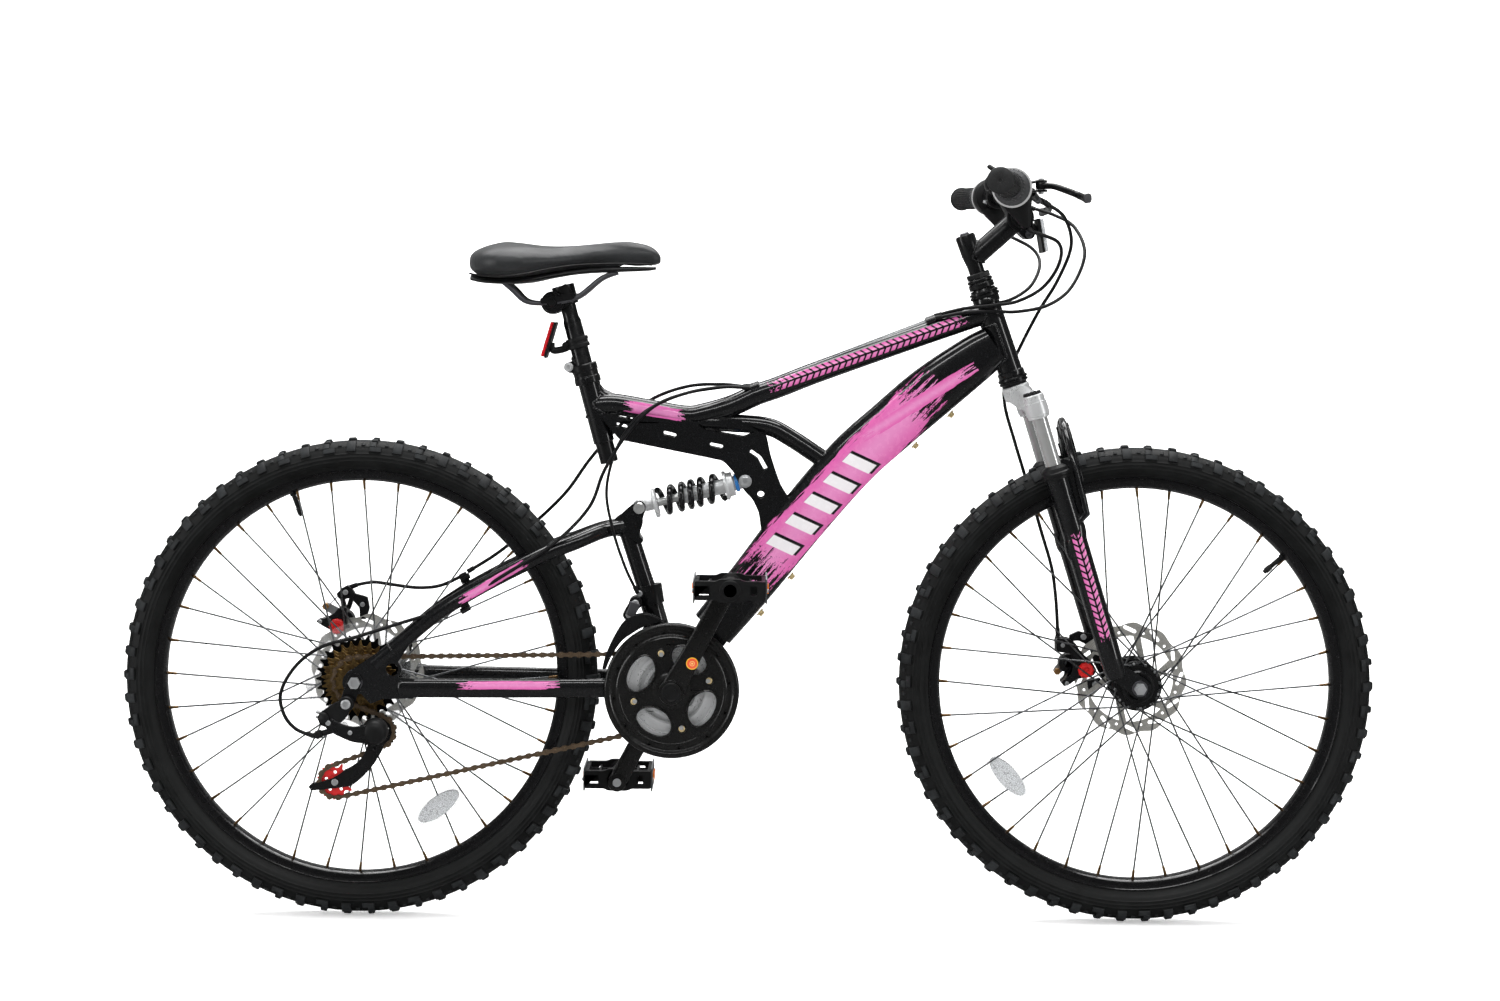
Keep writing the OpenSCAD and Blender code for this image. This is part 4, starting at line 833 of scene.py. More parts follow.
def rotor(side, centre, body):
    """Wavy brake disc: slots round the rim and six swept arms."""
    y = 41.0 if side == "front" else 52.0
    outline = [polar(centre, 77.8 + 2.0 * math.cos(math.radians(12 * a + 40)), a)[[0, 2]]
               for a in range(0, 360, 3)]
    holes = [circle(xyz(centre[[0, 2]])[[0, 2]], 20.0, 40)]
    for k in range(12):
        a = 30 * k
        holes.append(strap(polar(centre, 67.0, a - 5)[[0, 2]], polar(centre, 73.2, a + 6)[[0, 2]], 2.6, 6))
        holes.append(circle(polar(centre, 66.5, a + 14)[[0, 2]], 2.0, 10))
    for k in range(6):
        a = 60 * k
        inner = [polar(centre, 31.0, a + t)[[0, 2]] for t in np.linspace(8, 46, 7)]
        outer = [polar(centre, 60.5, a + t)[[0, 2]] for t in np.linspace(76, 26, 10)]
        holes.append([tuple(p) for p in inner + outer])
    plate = plate_metal(side + "_rotor_steel", centre, (0.58, 0.57, 0.53), 0.3)
    shape = Shape().prism(outline, y - 0.95, y + 0.95, holes)
    shape.piece(side + "_brake_disc", body, plate, side + "_rotor", bevel=0.25, segments=1, smooth=35)
    bolts = Shape()
    for k in range(6):
        bolts.bolt(polar(centre, 25.5, 60 * k + 12, y + 0.9), (0, 1, 0), 3.6, 2.4)
    bolts.piece(side + "_disc_bolts", body, STEEL)


def valve(name, centre, angle, body):
    def out(r):
        return polar(centre, r, angle)
    s = Shape().rod(out(274), out(268), 4.6).rod(out(270), out(249), 3.3, 0.4).rod(out(250), out(240), 4.1,
        1.2)
    s.rod(out(240.5), out(237.5), 3.0, 1.0)
    s.piece(name, body, BLACK_PLASTIC, slot="black_plastic")


def spoke_reflector(name, centre, radius, angle, body):
    """Lens shaped reflector clipped between the spokes, with a plain carrier."""
    middle = polar(centre, radius, angle)
    t = polar((0, 0, 0), 1, angle + 96)
    n = polar((0, 0, 0), 1, angle + 6)
    outline = [(middle + t * 37 * math.cos(q) + n * (15 + 6 * math.cos(q) ** 2) * math.sin(q))[[0, 2]]
               for q in np.linspace(0, 2 * math.pi, 40, endpoint=False)]
    lens = [(middle + t * 33 * math.cos(q) + n * 13 * math.sin(q))[[0, 2]]
            for q in np.linspace(0, 2 * math.pi, 36, endpoint=False)]
    Shape().prism(outline, -5.5, 5.5).piece(name, body, CLEAR, bevel=1.2, slot="reflector_clear")
    Shape().prism(lens, -6.6, 6.6).piece(name + "_lens", body, WHITE_LENS, bevel=0.8, slot="reflector_clear")


def wheels():
    for side, centre in (("front", FRONT), ("rear", REAR)):
        body = side + "_wheel"
        tyre(side + "_tyre_knobbed", centre, body, side + "_tyre")
        rim(side + "_rim_black", centre, body, side + "_rim")
        valve(side + "_valve", centre, VALVES[side], body)
        spoke_set(side, centre, body)
        rotor(side, centre, body)
        finish_node(side + "_hub", BLACK if side == "front" else ALLOY, 0.5)
    finish_node("front_axle", STEEL, 0.5)
    finish_node("rear_axle", STEEL, 0.5)
    spoke_reflector("front_spoke_reflector", FRONT, 219.0, 217.0, "front_wheel")
    spoke_reflector("rear_spoke_reflector", REAR, 211.0, -59.2, "rear_wheel")
    hub_caps()
    guard = Shape()
    profile = [(-23.4, 24.0), (-23.4, 40.0), (-22.4, 74.0), (-21.4, 76.0), (-21.6, 73.0), (-22.4, 40.0),
               (-22.4, 24.0)]
    guard.turn([REAR[0], 0, REAR[2]], (0, 1, 0), profile, 96, loop=True)
    for k in range(6):
        guard.prism(strap(polar(REAR, 70, 60 * k + 12)[[0, 2]], polar(REAR, 82, 60 * k + 12)[[0, 2]], 5),
                    -22.6, -21.2)
    guard.piece("spoke_protector", "rear_wheel", CLEAR, slot="reflector_clear")


def hub_caps():
    """Dark dust cap on the front hub, washers and the axle ends."""
    cap = Shape()
    cap.turn(FRONT, (0, 1, 0), [(-42.4, 17.0), (-42.6, 20.5), (-40.5, 22.5), (-33.5, 23.0), (-33.5, 16.0)],
             64, loop=True)
    for k in range(18):
        cap.block(polar(FRONT, 22.3, 20 * k, -37.5), (2.4, 5.5, 2.6), ux=polar((0, 0, 0), 1, 20 * k))
    for y in (-30.4, 27.4):
        cap.turn([FRONT[0], y, FRONT[2]], (0, 1, 0), [(0, 12), (0, 33.0), (0.8, 34.5), (2.2, 34.5),
                                                      (3.0, 33.0), (3.0, 12)], 72,
                 loop=True)
    cap.piece("front_hub_cap", "front_wheel", BLACK, smooth=30, bevel=0.3, slot="black_parts")
    dots = Shape()
    for k in range(12):
        dots.bolt(polar(FRONT, 30.8, 30 * k + 9, -30.2), (0, -1, 0), 1.9, 1.0, False)
    dots.piece("front_hub_rivets", "front_wheel", STEEL)
    for name, centre, y, body in (("front_axle_washers", FRONT, 56.2, "fork_lower"),
                                  ("rear_axle_washers", REAR, 73.2, "swingarm")):
        w = Shape()
        for s in (-1, 1):
            w.turn(centre, (0, s, 0), [(y, 5.2), (y, 10.4), (y + 1.6, 11.0), (y + 1.6, 5.2)], 40, loop=True)
        w.piece(name, body, DARK_STEEL, bevel=0.2, slot="steel")


# ---------------------------------------------------------------- front frame

TOP_PATH = [(-216, 711.5), (-190, 713.2), (-140.6, 705.4), (-91.2, 697.7), (-65, 701.2), (-25.5, 713.2),
            (7.2, 728.3),
            (40, 740.2), (95, 762.2), (220, 808), (330, 847)]
BRACE_PATH = [(-78, 690), (-25.6, 688.5), (24.1, 684.1), (56.9, 668), (100, 640)]
GUSSET_PATH = [(-229, 752), (-210, 726), (-172, 712)]
DOWN_STATIONS = [((338, 801), 56), ((312, 782), 65), ((251.5, 735.5), 74), ((195.8, 687.2), 74),
                 ((140.6, 636.5), 74),
                 ((74.3, 559), 72), ((3.5, 467.9), 67), ((-50, 402), 62)]
PLATE = [(-212, 700), (-182.3, 664.6), (-60, 641), (-37.9, 636.5), (-24, 622), (-16, 606), (-6, 593),
         (3.3, 584),
         (12, 566), (16, 538.5), (24, 520), (62, 575), (51.5, 588.5), (43, 602), (36, 620), (28, 645),
         (22.1, 672),
         (-20, 696), (-70, 690), (-140, 700)]
BOTTLE_BOLTS = [(276.1, 705.9), (227, 662.2), (56.1, 478), (13.9, 427)]


def meet(ring, direction, base, axis, radius):
    """Slides ring points along a direction until they touch a cylinder."""
    d = unit(direction) - axis * np.dot(unit(direction), axis)
    out = []
    for p in ring:
        w = (p - base) - axis * np.dot(p - base, axis)
        a, b, c = np.dot(d, d), 2 * np.dot(d, w), np.dot(w, w) - radius ** 2
        root = math.sqrt(max(b * b - 4 * a * c, 0))
        ts = sorted([(-b - root) / (2 * a), (-b + root) / (2 * a)], key=abs)
        out.append(p + unit(direction) * ts[0])
    return out


def bead(shape, points, r=2.3, seed=1):
    """Lumpy weld seam along a closed line."""
    rng = random.Random(seed)
    p = np.array(points, float)
    length = sum(np.linalg.norm(p[i] - p[i - 1]) for i in range(len(p)))
    count = int(length / 1.3)
    marks = np.concatenate([[0], np.cumsum([np.linalg.norm(p[(i + 1) % len(p)] - p[i])
                                            for i in range(len(p))])])
    ring = np.vstack([p, p[:1]])
    even = np.array([[np.interp(s, marks, ring[:, k]) for k in range(3)]
                     for s in np.linspace(0, length, count, endpoint=False)])
    size = [r * (0.86 + 0.2 * math.sin(i * 1.9) + rng.uniform(-0.05, 0.05)) for i in range(count)]
    shape.sweep(even, size, up=(0.3, 1, 0.2), sides=8, loop=True)


def main_frame():
    tube_end = HEAD_L + 0.1
    frame_shape = Shape()
    head = [(0, 15.2), (0, 18.4), (0.8, 19.0), (8.4, 19.0), (9.4, 17.2), (HEAD_L - 9.4, 17.2),
            (HEAD_L - 8.4, 19.0),
            (tube_end - 0.8, 19.0), (tube_end, 18.4), (tube_end, 15.2)]
    frame_shape.turn(HEAD_TOP, -HEAD_UP, head, 64, loop=True)
    seat = [(-1, 12.8), (-1, 13.6), (0, 14.5), (SEAT_L, 14.5), (SEAT_L, 12.8)]
    frame_shape.turn(SEAT_LOW, SEAT_UP, seat, 56, loop=True)
    top = curve([xyz(p) for p in TOP_PATH], 8)
    frame_shape.sweep(top, 15.0, sides=36)
    frame_shape.sweep(curve([xyz(p) for p in BRACE_PATH], 8), 12.5, sides=32)
    gusset = curve([xyz(p) for p in GUSSET_PATH], 8)
    frame_shape.sweep(gusset, 10.5, 8.5, up=(1, 0, 1), sides=24)
    down = curve([[p[0], h, p[1]] for p, h in DOWN_STATIONS], 8)
    path = np.array([[q[0], 0, q[2]] for q in down])
    frame_shape.sweep(path, [q[1] / 2 for q in down], 22.0, up=(-0.6, 0, 0.8), sides=48, power=0.62)
    frame_shape.piece("front_triangle", "frame", FRAME_PAINT, "main_frame", smooth=40, slot="frame_paint")

    plates = Shape()
    windows = [strap((-183, 699.5), (-167, 696), 3.2), strap((-185, 685.5), (-174, 683), 2.6),
               strap((-119, 674.5), (-106, 671.5), 2.8), strap((-54, 659), (-41, 656.3), 2.8),
               rounded([(-74, 688), (-66, 680), (-10, 670.5), (6, 677), (-30, 684), (-60, 687)], 3)]
    slot = [(-2, 648), (10, 640.4), (19, 624), (24.5, 626.5), (14.6, 643.5), (1, 653)]
    lugs = [circle(SHOCK_F, 5.05, 20), circle((14.9, 0, 590.3), 5.0, 20)]
    for y0, y1 in ((12, 16), (-16, -12)):
        plates.prism(rounded(PLATE, 5), y0, y1, windows + [rounded(slot, 2)] + lugs)
    ear = rounded([PIVOT[[0, 2]] + (-14, 13), PIVOT[[0, 2]] + (16, -11), (8, 440), (-35, 452)], 4)
    for y0, y1 in ((20, 26), (-26, -20)):
        plates.prism(ear, y0, y1)
        plates.pin(PIVOT, y0, y1, 19, 1.0, 48)
    plates.piece("shock_bracket_plates", "frame", FRAME_PAINT, bevel=0.9, slot="frame_paint")

    welds = Shape()
    head_dir = -HEAD_UP
    rings = section_rings(top, 15.4, sides=48)
    bead(welds, meet(rings[-1], top[-1] - top[-2], HEAD_TOP, head_dir, 17.4), 2.4, 1)
    bead(welds, meet(rings[0], top[1] - top[0], SEAT_LOW, SEAT_UP, 14.7), 2.2, 2)
    rings = section_rings(path, [q[1] / 2 + 0.4 for q in down], 22.4, (-0.6, 0, 0.8), 64, 0.62)
    bead(welds, meet(rings[2], path[2] - path[3], HEAD_TOP, head_dir, 17.4), 2.6, 3)
    rings = section_rings(gusset, 10.7, 8.7, (1, 0, 1), 32)
    bead(welds, meet(rings[3], gusset[4] - gusset[3], SEAT_LOW, SEAT_UP, 14.7), 1.9, 4)
    welds.piece("frame_welds", "frame", FRAME_PAINT, smooth=60, slot="frame_paint")

    stops = Shape()
    for x, z in ((249, 835), (4.6, 740)):
        for y in (-9, 0, 9):
            d = unit([11.0, 0, 4.0])
            c = np.array([x, y, z + (2 if y == 0 else 0)])
            stops.tube(c - d * 7, c + d * 7, 4.0, 1.6, 0.5, 20)
        stops.block((x, 0, z - 5.5), (14, 20, 5), ux=(11, 0, 4))
    stops.piece("frame_cable_stops", "frame", FRAME_PAINT, bevel=0.5, slot="frame_paint")

    bolts = Shape()
    normal = unit([0.76, 0, -0.65])
    for p in BOTTLE_BOLTS:
        base = xyz(p) + normal * 1.0
        bolts.turn(base, normal, [(0, 6), (1.8, 6), (2.2, 4.8)], 24).bolt(base + normal * 2, normal, 4.2, 4.4)
    bolts.piece("bottle_cage_bolts", "frame", BRASS, slot="brass")
    pivots = Shape()
    for s in (-1, 1):
        pivots.turn(PIVOT, (0, s, 0), [(26, 12.2), (27.6, 12.2), (28.2, 11.4)], 40)
        pivots.bolt(PIVOT + [0, 28 * s, 0], (0, s, 0), 8.2, 4.0)
        pivots.turn(SHOCK_F, (0, s, 0), [(16.1, 9.0), (17.4, 9.0), (17.7, 8.4)], 32)
        pivots.nut(SHOCK_F + [0, 17.6 * s, 0], (0, s, 0), 7.4, 4.6, 3.2)
    pivots.pin(PIVOT, -26, 26, 8).pin(SHOCK_F, -17, 17, 5)
    pivots.piece("pivot_bolts", "frame", STEEL, "frame_bolts", smooth=28, slot="steel")


def headset():
    s = Shape()
    for base, way in ((0, 1), (HEAD_L, -1)):
        o, d = on_steer(base), HEAD_UP * way
        s.turn(o, d, [(-0.1, 12.9), (-0.1, 20.4), (1.2, 21.0), (3.4, 21.0), (4.0, 19.2), (5.0, 19.2),
                      (5.4, 20.8),
                      (7.6, 20.6), (9.0, 18.0), (11.8, 17.2), (12, 12.9)], 56, loop=True)
    s.piece("headset_races", "frame", BLACK, "headset_cups", slot="black_parts")


def seat_collar():
    s = Shape()
    s.turn(on_seat(SEAT_L - 22), SEAT_UP, [(0, 14.6), (0, 17.6), (1, 18.3), (9, 18.3), (10, 17.4),
                                           (17, 17.4), (18, 18.3),
                                           (26.5, 18.3), (28, 17.2), (28, 14.6)], 56, loop=True)
    back = np.array([-254.4, 0, 764.5])
    ear = rounded([back[[0, 2]] + (14, 9), back[[0, 2]] + (-1, 7.6), back[[0, 2]] + (-7, 0),
                   back[[0, 2]] + (-2, -7.6),
                   back[[0, 2]] + (18, -10)], 5)
    s.prism(ear, -9, -2).prism(ear, 2, 9)
    s.piece("seat_clamp", "frame", BLACK, "seat_collar", bevel=0.7, slot="black_parts")
    b = Shape()
    for side in (-1, 1):
        b.turn(back, (0, side, 0), [(9, 6.6), (10, 6.6), (10.4, 6)], 32)
        b.bolt(back + [0, 10.2 * side, 0], (0, side, 0), 5.4, 4.4)
    b.pin(back, -9, 9, 3)
    b.piece("seat_clamp_bolt", "frame", ALLOY, slot="bright_alloy")


# ---------------------------------------------------------------- swingarm

STAY_PATH = [(-178, 10, 543), (-205, 24, 538), (-240, 40, 524), (-281.3, 48, 507.6), (-362, 57, 466.9),
             (-428.3, 63, 425.8), (-480.7, 66, 382.2), (-512, 66.5, 356)]
CHAIN_STAY = [(-112, 22, 323), (-150, 34, 324), (-200, 46, 324.2), (-330, 58, 324.4), (-475, 68, 324.7)]


def swingarm():
    s = Shape()
    s.turn(CRANK, (0, 1, 0), [(-34, 17.6), (-34, 20.2), (-33.3, 20.9), (33.3, 20.9), (34, 20.2), (34, 17.6)],
           64, loop=True)
    s.turn(PIVOT, (0, 1, 0), [(-19.4, 8.2), (-19.4, 16.4), (-18.6, 17.2), (18.6, 17.2), (19.4, 16.4),
                              (19.4, 8.2)], 56, loop=True)
    low = CRANK + [-2, 0, 14]
    strut = curve([low, (-121, 0, 385), (-136, 0, 436), (-150, 0, 478), STRUT_TOP], 6)
    s.sweep(strut, np.interp(np.arange(len(strut)), [0, 12, 16, 24], [15.8, 15.6, 13.0, 12.7]), sides=36)
    for path in (STAY_PATH, mirrored(STAY_PATH)):
        s.sweep(curve(path, 6), 10.6, sides=28)
    for path in (CHAIN_STAY, mirrored(CHAIN_STAY)):
        s.sweep(curve(path, 6), 7.6, 13.2, sides=28, power=0.85)
        tip = np.array(path[-1])
        s.ball(tip, 13, (0.5, 0.58, 1.0))
    s.piece("swingarm_tubes", "swingarm", STAY_PAINT, "swingarm", smooth=45, slot="frame_paint")

    p = Shape()
    bb = CRANK[[0, 2]]
    pv = PIVOT[[0, 2]]
    p.prism([bb + (-14, 14), bb + (12, -14), pv + (13, -10), pv + (-10, 13)], -18, 18)
    p.prism(rounded([(-136, 425), (-152, 392), (-190, 334), (-186, 328), (-110, 330), (-120, 400)], 4), -9, 9)
    crest = rounded([(-192, 532), (-194, 547), (-184, 558), (-168, 566), (-150, 566), (-149, 546),
                     (-154, 534), (-147, 524),
                     (-152, 519), (-166, 526)], 5)
    p.prism(crest, -9.6, 9.6)
    centre = SHOCK_R[[0, 2]]
    bracket = rounded([(-187, 553), (-172, 567), (-160, 577), centre + (2, 11), centre + (10, 4),
                       centre + (7, -8),
                       (-152, 546), (-154, 534), (-147, 524), (-153, 519), (-168, 530)], 5)
    for y0, y1 in ((10.4, 15), (-15, -10.4)):
        p.prism(bracket, y0, y1, [circle(SHOCK_R, 6.2, 20)])
    wheel = REAR[[0, 2]]
    outline = [wheel + (-8, 15), (-512, 370), (-476, 393), (-464, 384)] + circle((-487, 0, 350), 13, 8, 70,
        -70)[1:-1] + [
        (-456, 338), (-456, 311), (-500, 310), (-516, 303)] + circle(REAR, 17, 12, 300, 118)
    outline = rounded(outline, 3)
    for y0, y1 in ((67.5, 73), (-73, -67.5)):
        p.prism(outline, y0, y1, [circle(REAR, 5.1, 20), circle((-487, 0, 350), 8.5, 24)])
    p.piece("swingarm_plates", "swingarm", STAY_PAINT, bevel=0.9, slot="frame_paint")

    w = Shape()
    for side in (-1, 1):
        ring = section_rings(curve([np.array(q) * [1, side, 1] for q in STAY_PATH], 6), 10.9, sides=32)
        bead(w, ring[-6], 1.7, 5)
        ring = section_rings(curve([np.array(q) * [1, side, 1] for q in CHAIN_STAY], 6), 7.9, 13.4, sides=32,
                             power=0.85)
        bead(w, ring[2], 1.6, 6)
    bead(w, section_rings(strut, 16.2, sides=32)[2], 2.0, 7)
    w.piece("swingarm_welds", "swingarm", STAY_PAINT, smooth=60, slot="frame_paint")
    finish_node("bottom_bracket_cups", DARK_STEEL, 0.4)

    c = Shape()
    for side, x in ((-1, -389), (1, -402.6)):
        place = np.array([x, side * (60 if side > 0 else 59), 446.0 if side > 0 else 432.0])
        if side > 0:
            place[2] = 463.0
        d = unit(np.array([-0.86, 0, -0.5]))
        c.tube(place - d * 7, place + d * 7, 4.2, 2.6, 0.5, 20)
        c.block(place + [0, 0, -4 if side > 0 else 4], (12, 4, 6), ux=d)
    c.piece("stay_cable_stops", "swingarm", STAY_PAINT, bevel=0.4, slot="frame_paint")


# ---------------------------------------------------------------- fork

def fork_upper():
    s = Shape()
    low = HEAD_L
    s.turn(on_steer(-33), -HEAD_UP, [(0, 11.3), (0, 12.7), (19.5, 12.7)], 48)
    s.turn(on_steer(low + 12.2), -HEAD_UP, [(0, 12.8), (0, 18.4), (1.2, 19.4), (17, 19.4), (20, 17),
                                            (20, 12.8)], 56)
    for side in (-1, 1):
        lug = [(-1.0, 9), (-1.0, 13.6), (0.4, 15.2), (9, 15.2), (9.6, 16.2), (27, 16.2), (28.2, 15.0),
               (30.8, 15.2),
               (32, 14.4), (32, 11.1)]
        s.turn(on_leg(0, LEG_Y * side), -LEG_UP, lug, 56)
    rows = []
    for y in np.linspace(-LEG_Y, LEG_Y, 29):
        f = 1 - (abs(y) / LEG_Y) ** 1.35
        c = mix(on_leg(15), on_steer(low + 25), f)
        deep, tall = 12.5 + 2.0 * f, 12.5 + 2.5 * f
        rows.append([[c[0] + deep * math.copysign(abs(math.cos(q)) ** 0.75, math.cos(q)), y,
                      c[2] + tall * math.copysign(abs(math.sin(q)) ** 0.75, math.sin(q))]
                     for q in np.linspace(0, 2 * math.pi, 28, endpoint=False)])
    s.rings(rows)
    s.piece("fork_crown", "steering", ALLOY, "fork_upper", smooth=38, slot="bright_alloy")
    t = Shape()
    for side in (-1, 1):
        t.turn(on_leg(6, LEG_Y * side), -LEG_UP, [(0, 9), (0, 11), (205, 11), (206, 9)], 48)
    t.piece("fork_stanchions", "steering", CHROME, slot="chrome")
    c = Shape()
    for side in (-1, 1):
        top = on_leg(-0.6, LEG_Y * side)
        c.turn(top, LEG_UP, [(0, 12.6), (1.6, 13.0), (3.2, 12.2), (3.6, 8.6), (3.0, 8.2), (3.0, 4.0),
                             (4.4, 3.6)], 48)
        for k in range(12):
            u, v = cross_axes(LEG_UP)
            q = math.radians(30 * k)
            d = u * math.cos(q) + v * math.sin(q)
            c.block(top + d * 10.6 + LEG_UP * 3.6, (3.2, 2.4, 1.6), ux=d, uy=np.cross(LEG_UP, d))
    c.piece("stanchion_caps", "steering", BLACK_PLASTIC, bevel=0.3, slot="black_plastic")
    n = Shape()
    n.turn(on_steer(-12.4), HEAD_UP, [(0, 12.9), (0, 17.2), (1.4, 18.0), (7.6, 18.0), (8.4, 16.6),
                                      (9.6, 16.6),
                                      (10.4, 18.0), (13.2, 18.0), (14.2, 16.8), (14.2, 12.9)], 56, loop=True)
    n.turn(on_steer(-27), HEAD_UP, [(0, 12.9), (0, 17.6), (0.8, 18.2), (7, 18.2), (8, 17.0), (8, 12.9)], 6,
           loop=True)
    n.piece("headset_locknuts", "steering", BLACK, smooth=28, bevel=0.5, slot="black_parts")


def arch_ring(y_share, front, tall, deep):
    q = y_share * math.pi / 2
    h = max(0.0, math.cos(q)) ** 0.8
    u = abs(math.sin(q))
    c = np.array([466 + (436 - 466) * h - 4 * u + front, 58 * math.sin(q), 572 + (690 - 572) * h])
    return c, tall, deep


def fork_lowers():
    s = Shape()
    for side in (-1, 1):
        base = on_leg(LEG_TOP, LEG_Y * side)
        leg = [(0, 11.4), (0, 15.0), (1.5, 16.4), (24, 16.4), (28, 15.7), (90, 15.6), (150, 15.4),
               (240, 15.2),
               (LEG_END - LEG_TOP - 6, 14.6), (LEG_END - LEG_TOP - 1, 12.6), (LEG_END - LEG_TOP + 1, 8.0)]
        s.turn(base, -LEG_UP, leg, 48)
        s.ball(on_leg(LEG_TOP + 92, LEG_Y * side), 15.6, (1.02, 1.02, 2.2))
    path = [(446, -60, 556)] + [arch_ring(t, 0, 0, 0)[0] for t in np.linspace(-1, 1, 25)] + [(446, 60, 556)]
    s.sweep(path, 5.2, 12.0, up=(1, 0, 0.35), sides=20, power=0.7)
    s.piece("fork_lower_legs", "fork_lower", LEG_PAINT, "fork_lowers", smooth=40, slot="fork_paint")

    f = Shape()
    low, axle = on_leg(LEG_END - 12)[[0, 2]], FRONT[[0, 2]]
    for side in (-1, 1):
        y0, y1 = sorted((side * 50, side * 56.4))
        f.prism(rounded(strap(low, axle + (1, 0), 12.5, 10, 14.5), 1), y0, y1, [circle(FRONT, 4.6, 20)])
        b0, b1 = sorted((side * 47, side * 62))
        foot = on_leg(LEG_TOP + 4)[[0, 2]]
        outline = rounded([foot + (2, 26), foot + (26, 22), foot + (38, -26), foot + (35, -70),
                           foot + (25, -92),
                           foot + (14, -74), foot + (2, -30)], 8)
        f.prism(outline, b0, b1)
    f.piece("fork_dropouts_and_arch_feet", "fork_lower", LEG_PAINT, bevel=1.4, slot="fork_paint")

    r = Shape()
    ribs = []
    for t in np.linspace(-0.82, 0.82, 25):
        c = arch_ring(t, 0, 0, 0)[0]
        ribs.append(c + np.array([5.4, 0, 1.9]))
    r.sweep(ribs, 1.4, 3.0, up=(1, 0, 0.35), sides=10)
    for t in (-0.55, -0.3, 0.0, 0.3, 0.55):
        c = arch_ring(t, 0, 0, 0)[0]
        r.block(c + [-4.6, 0, -1.6], (3.0, 3.0, 18), ux=(1, 0, 0.35))
    r.piece("arch_ribs", "fork_lower", LEG_PAINT, bevel=0.4, slot="fork_paint")

    d = Shape()
    for side in (-1, 1):
        top = on_leg(LEG_TOP + 6, LEG_Y * side)
        d.turn(top, LEG_UP, [(0, 11.2), (0, 17.8), (4.0, 18.6), (5.2, 20.2), (8.6, 20.2), (10.2, 18.6),
                             (15.0, 17.6),
                             (18.0, 14.0), (19.4, 11.6), (19.4, 11.05)], 56, loop=True)
    d.piece("fork_wiper_seals", "fork_lower", BLACK_PLASTIC, slot="black_plastic")


# ---------------------------------------------------------------- cockpit

def stem_and_bar():
    s = Shape()
    s.turn(on_steer(34), HEAD_UP, [(0, 9.5), (0.8, 11.0), (67, 11.0), (80, 11.1), (96, 13.4), (121, 14.0),
                                   (124, 13.2),
                                   (125, 11.0), (123.4, 8.0), (123.4, 0.2)], 48)
    start = on_steer(-56)
    path = [start + unit(BAR - start) * t for t in np.linspace(4, np.linalg.norm(BAR - start) - 2, 8)]
    s.sweep(path, 14.4, 14.4, up=(1, 0, -1), sides=40)
    s.turn(BAR, (0, 1, 0), [(-21, 11.3), (-21, 17.6), (-19.8, 18.8), (19.8, 18.8), (21, 17.6), (21, 11.3)],
           56, loop=True)
    s.piece("stem", "steering", BLACK, "quill_stem", smooth=35, slot="black_parts")
    c = Shape()
    lug = BAR[[0, 2]]
    outline = rounded([lug + (12, -12), lug + (22, -20), lug + (18, -30), lug + (6, -30), lug + (-6, -18)], 4)
    c.prism(outline, -19, -3).prism(outline, 3, 19)
    c.piece("stem_clamp_ears", "steering", BLACK, bevel=1.0, slot="black_parts")
    b = Shape()
    bolt = xyz(lug + (12, -24))
    for side in (-1, 1):
        b.bolt(bolt + [0, 19 * side, 0], (0, side, 0), 5.2, 5.0)
    b.bolt(on_steer(-89.2), HEAD_UP, 6.5, 5.0)
    weld = section_rings(path, 14.6, 14.6, (1, 0, -1), 40)
    b.piece("stem_bolts", "steering", DARK_STEEL, slot="steel")
    w = Shape()
    bead(w, meet(weld[1], path[1] - path[0], HEAD_TOP, HEAD_UP, 14.0), 1.9, 11)
    w.piece("stem_weld", "steering", BLACK, smooth=60, slot="black_parts")

    h = Shape()
    bend = [(BAR[0], 0, BAR[2]), (BAR[0], 29.9, BAR[2]), (BAR[0] - 1.5, 46, BAR[2] + 4), (362, 84, 1003),
            on_bar(110),
            on_bar(122), on_bar(BAR_HALF - 3)]
    right = curve(mirrored(bend)[::-1], 8)
    h.sweep(np.vstack([right, curve(bend, 8)[1:]]), BAR_R, sides=32, up=(0, 0, 1))
    h.piece("riser_bar", "steering", BLACK, "handlebar", slot="black_parts")


def sides():
    """Both ends of the bar: a name, the sign of Y and the point mirror."""
    for name, sign in (("right", -1), ("left", 1)):
        yield name, sign, np.array([1, sign, 1], float)


def grip(name, flip):
    a, b = on_bar(214) * flip, on_bar(BAR_HALF) * flip
    length = np.linalg.norm(b - a)
    core = [(0, 11.2), (0, 16.6), (1.5, 17.4), (4, 17.4), (5, 15.2), (length - 9, 15.0), (length - 8, 17.0),
            (length - 5, 17.6), (length - 2.5, 17.0), (length - 0.6, 14.4), (length, 11.0),
            (length - 0.5, 3.0),
            (length - 2.2, 2.4), (length - 2.4, 0.3)]
    s = Shape().turn(a, b - a, core, 56)
    u, v = cross_axes(b - a)
    d = unit(b - a)
    for k in range(28):
        q = 2 * math.pi * k / 28
        out = u * math.cos(q) + v * math.sin(q)
        s.block(a + d * (length / 2 - 2) + out * 15.5, (1.5, 1.7, length - 22), ux=out, uy=np.cross(d, out))
    for k in range(12):
        q = 2 * math.pi * (k + 0.5) / 12
        out = u * math.cos(q) + v * math.sin(q)
        s.block(b + out * 8.6 - d * 0.3, (6.4, 1.1, 1.0), ux=out, uy=np.cross(d, out))
    return s.piece(name + "_grip", "steering", GRIP_RUBBER, bevel=0.25, slot="grip_rubber")


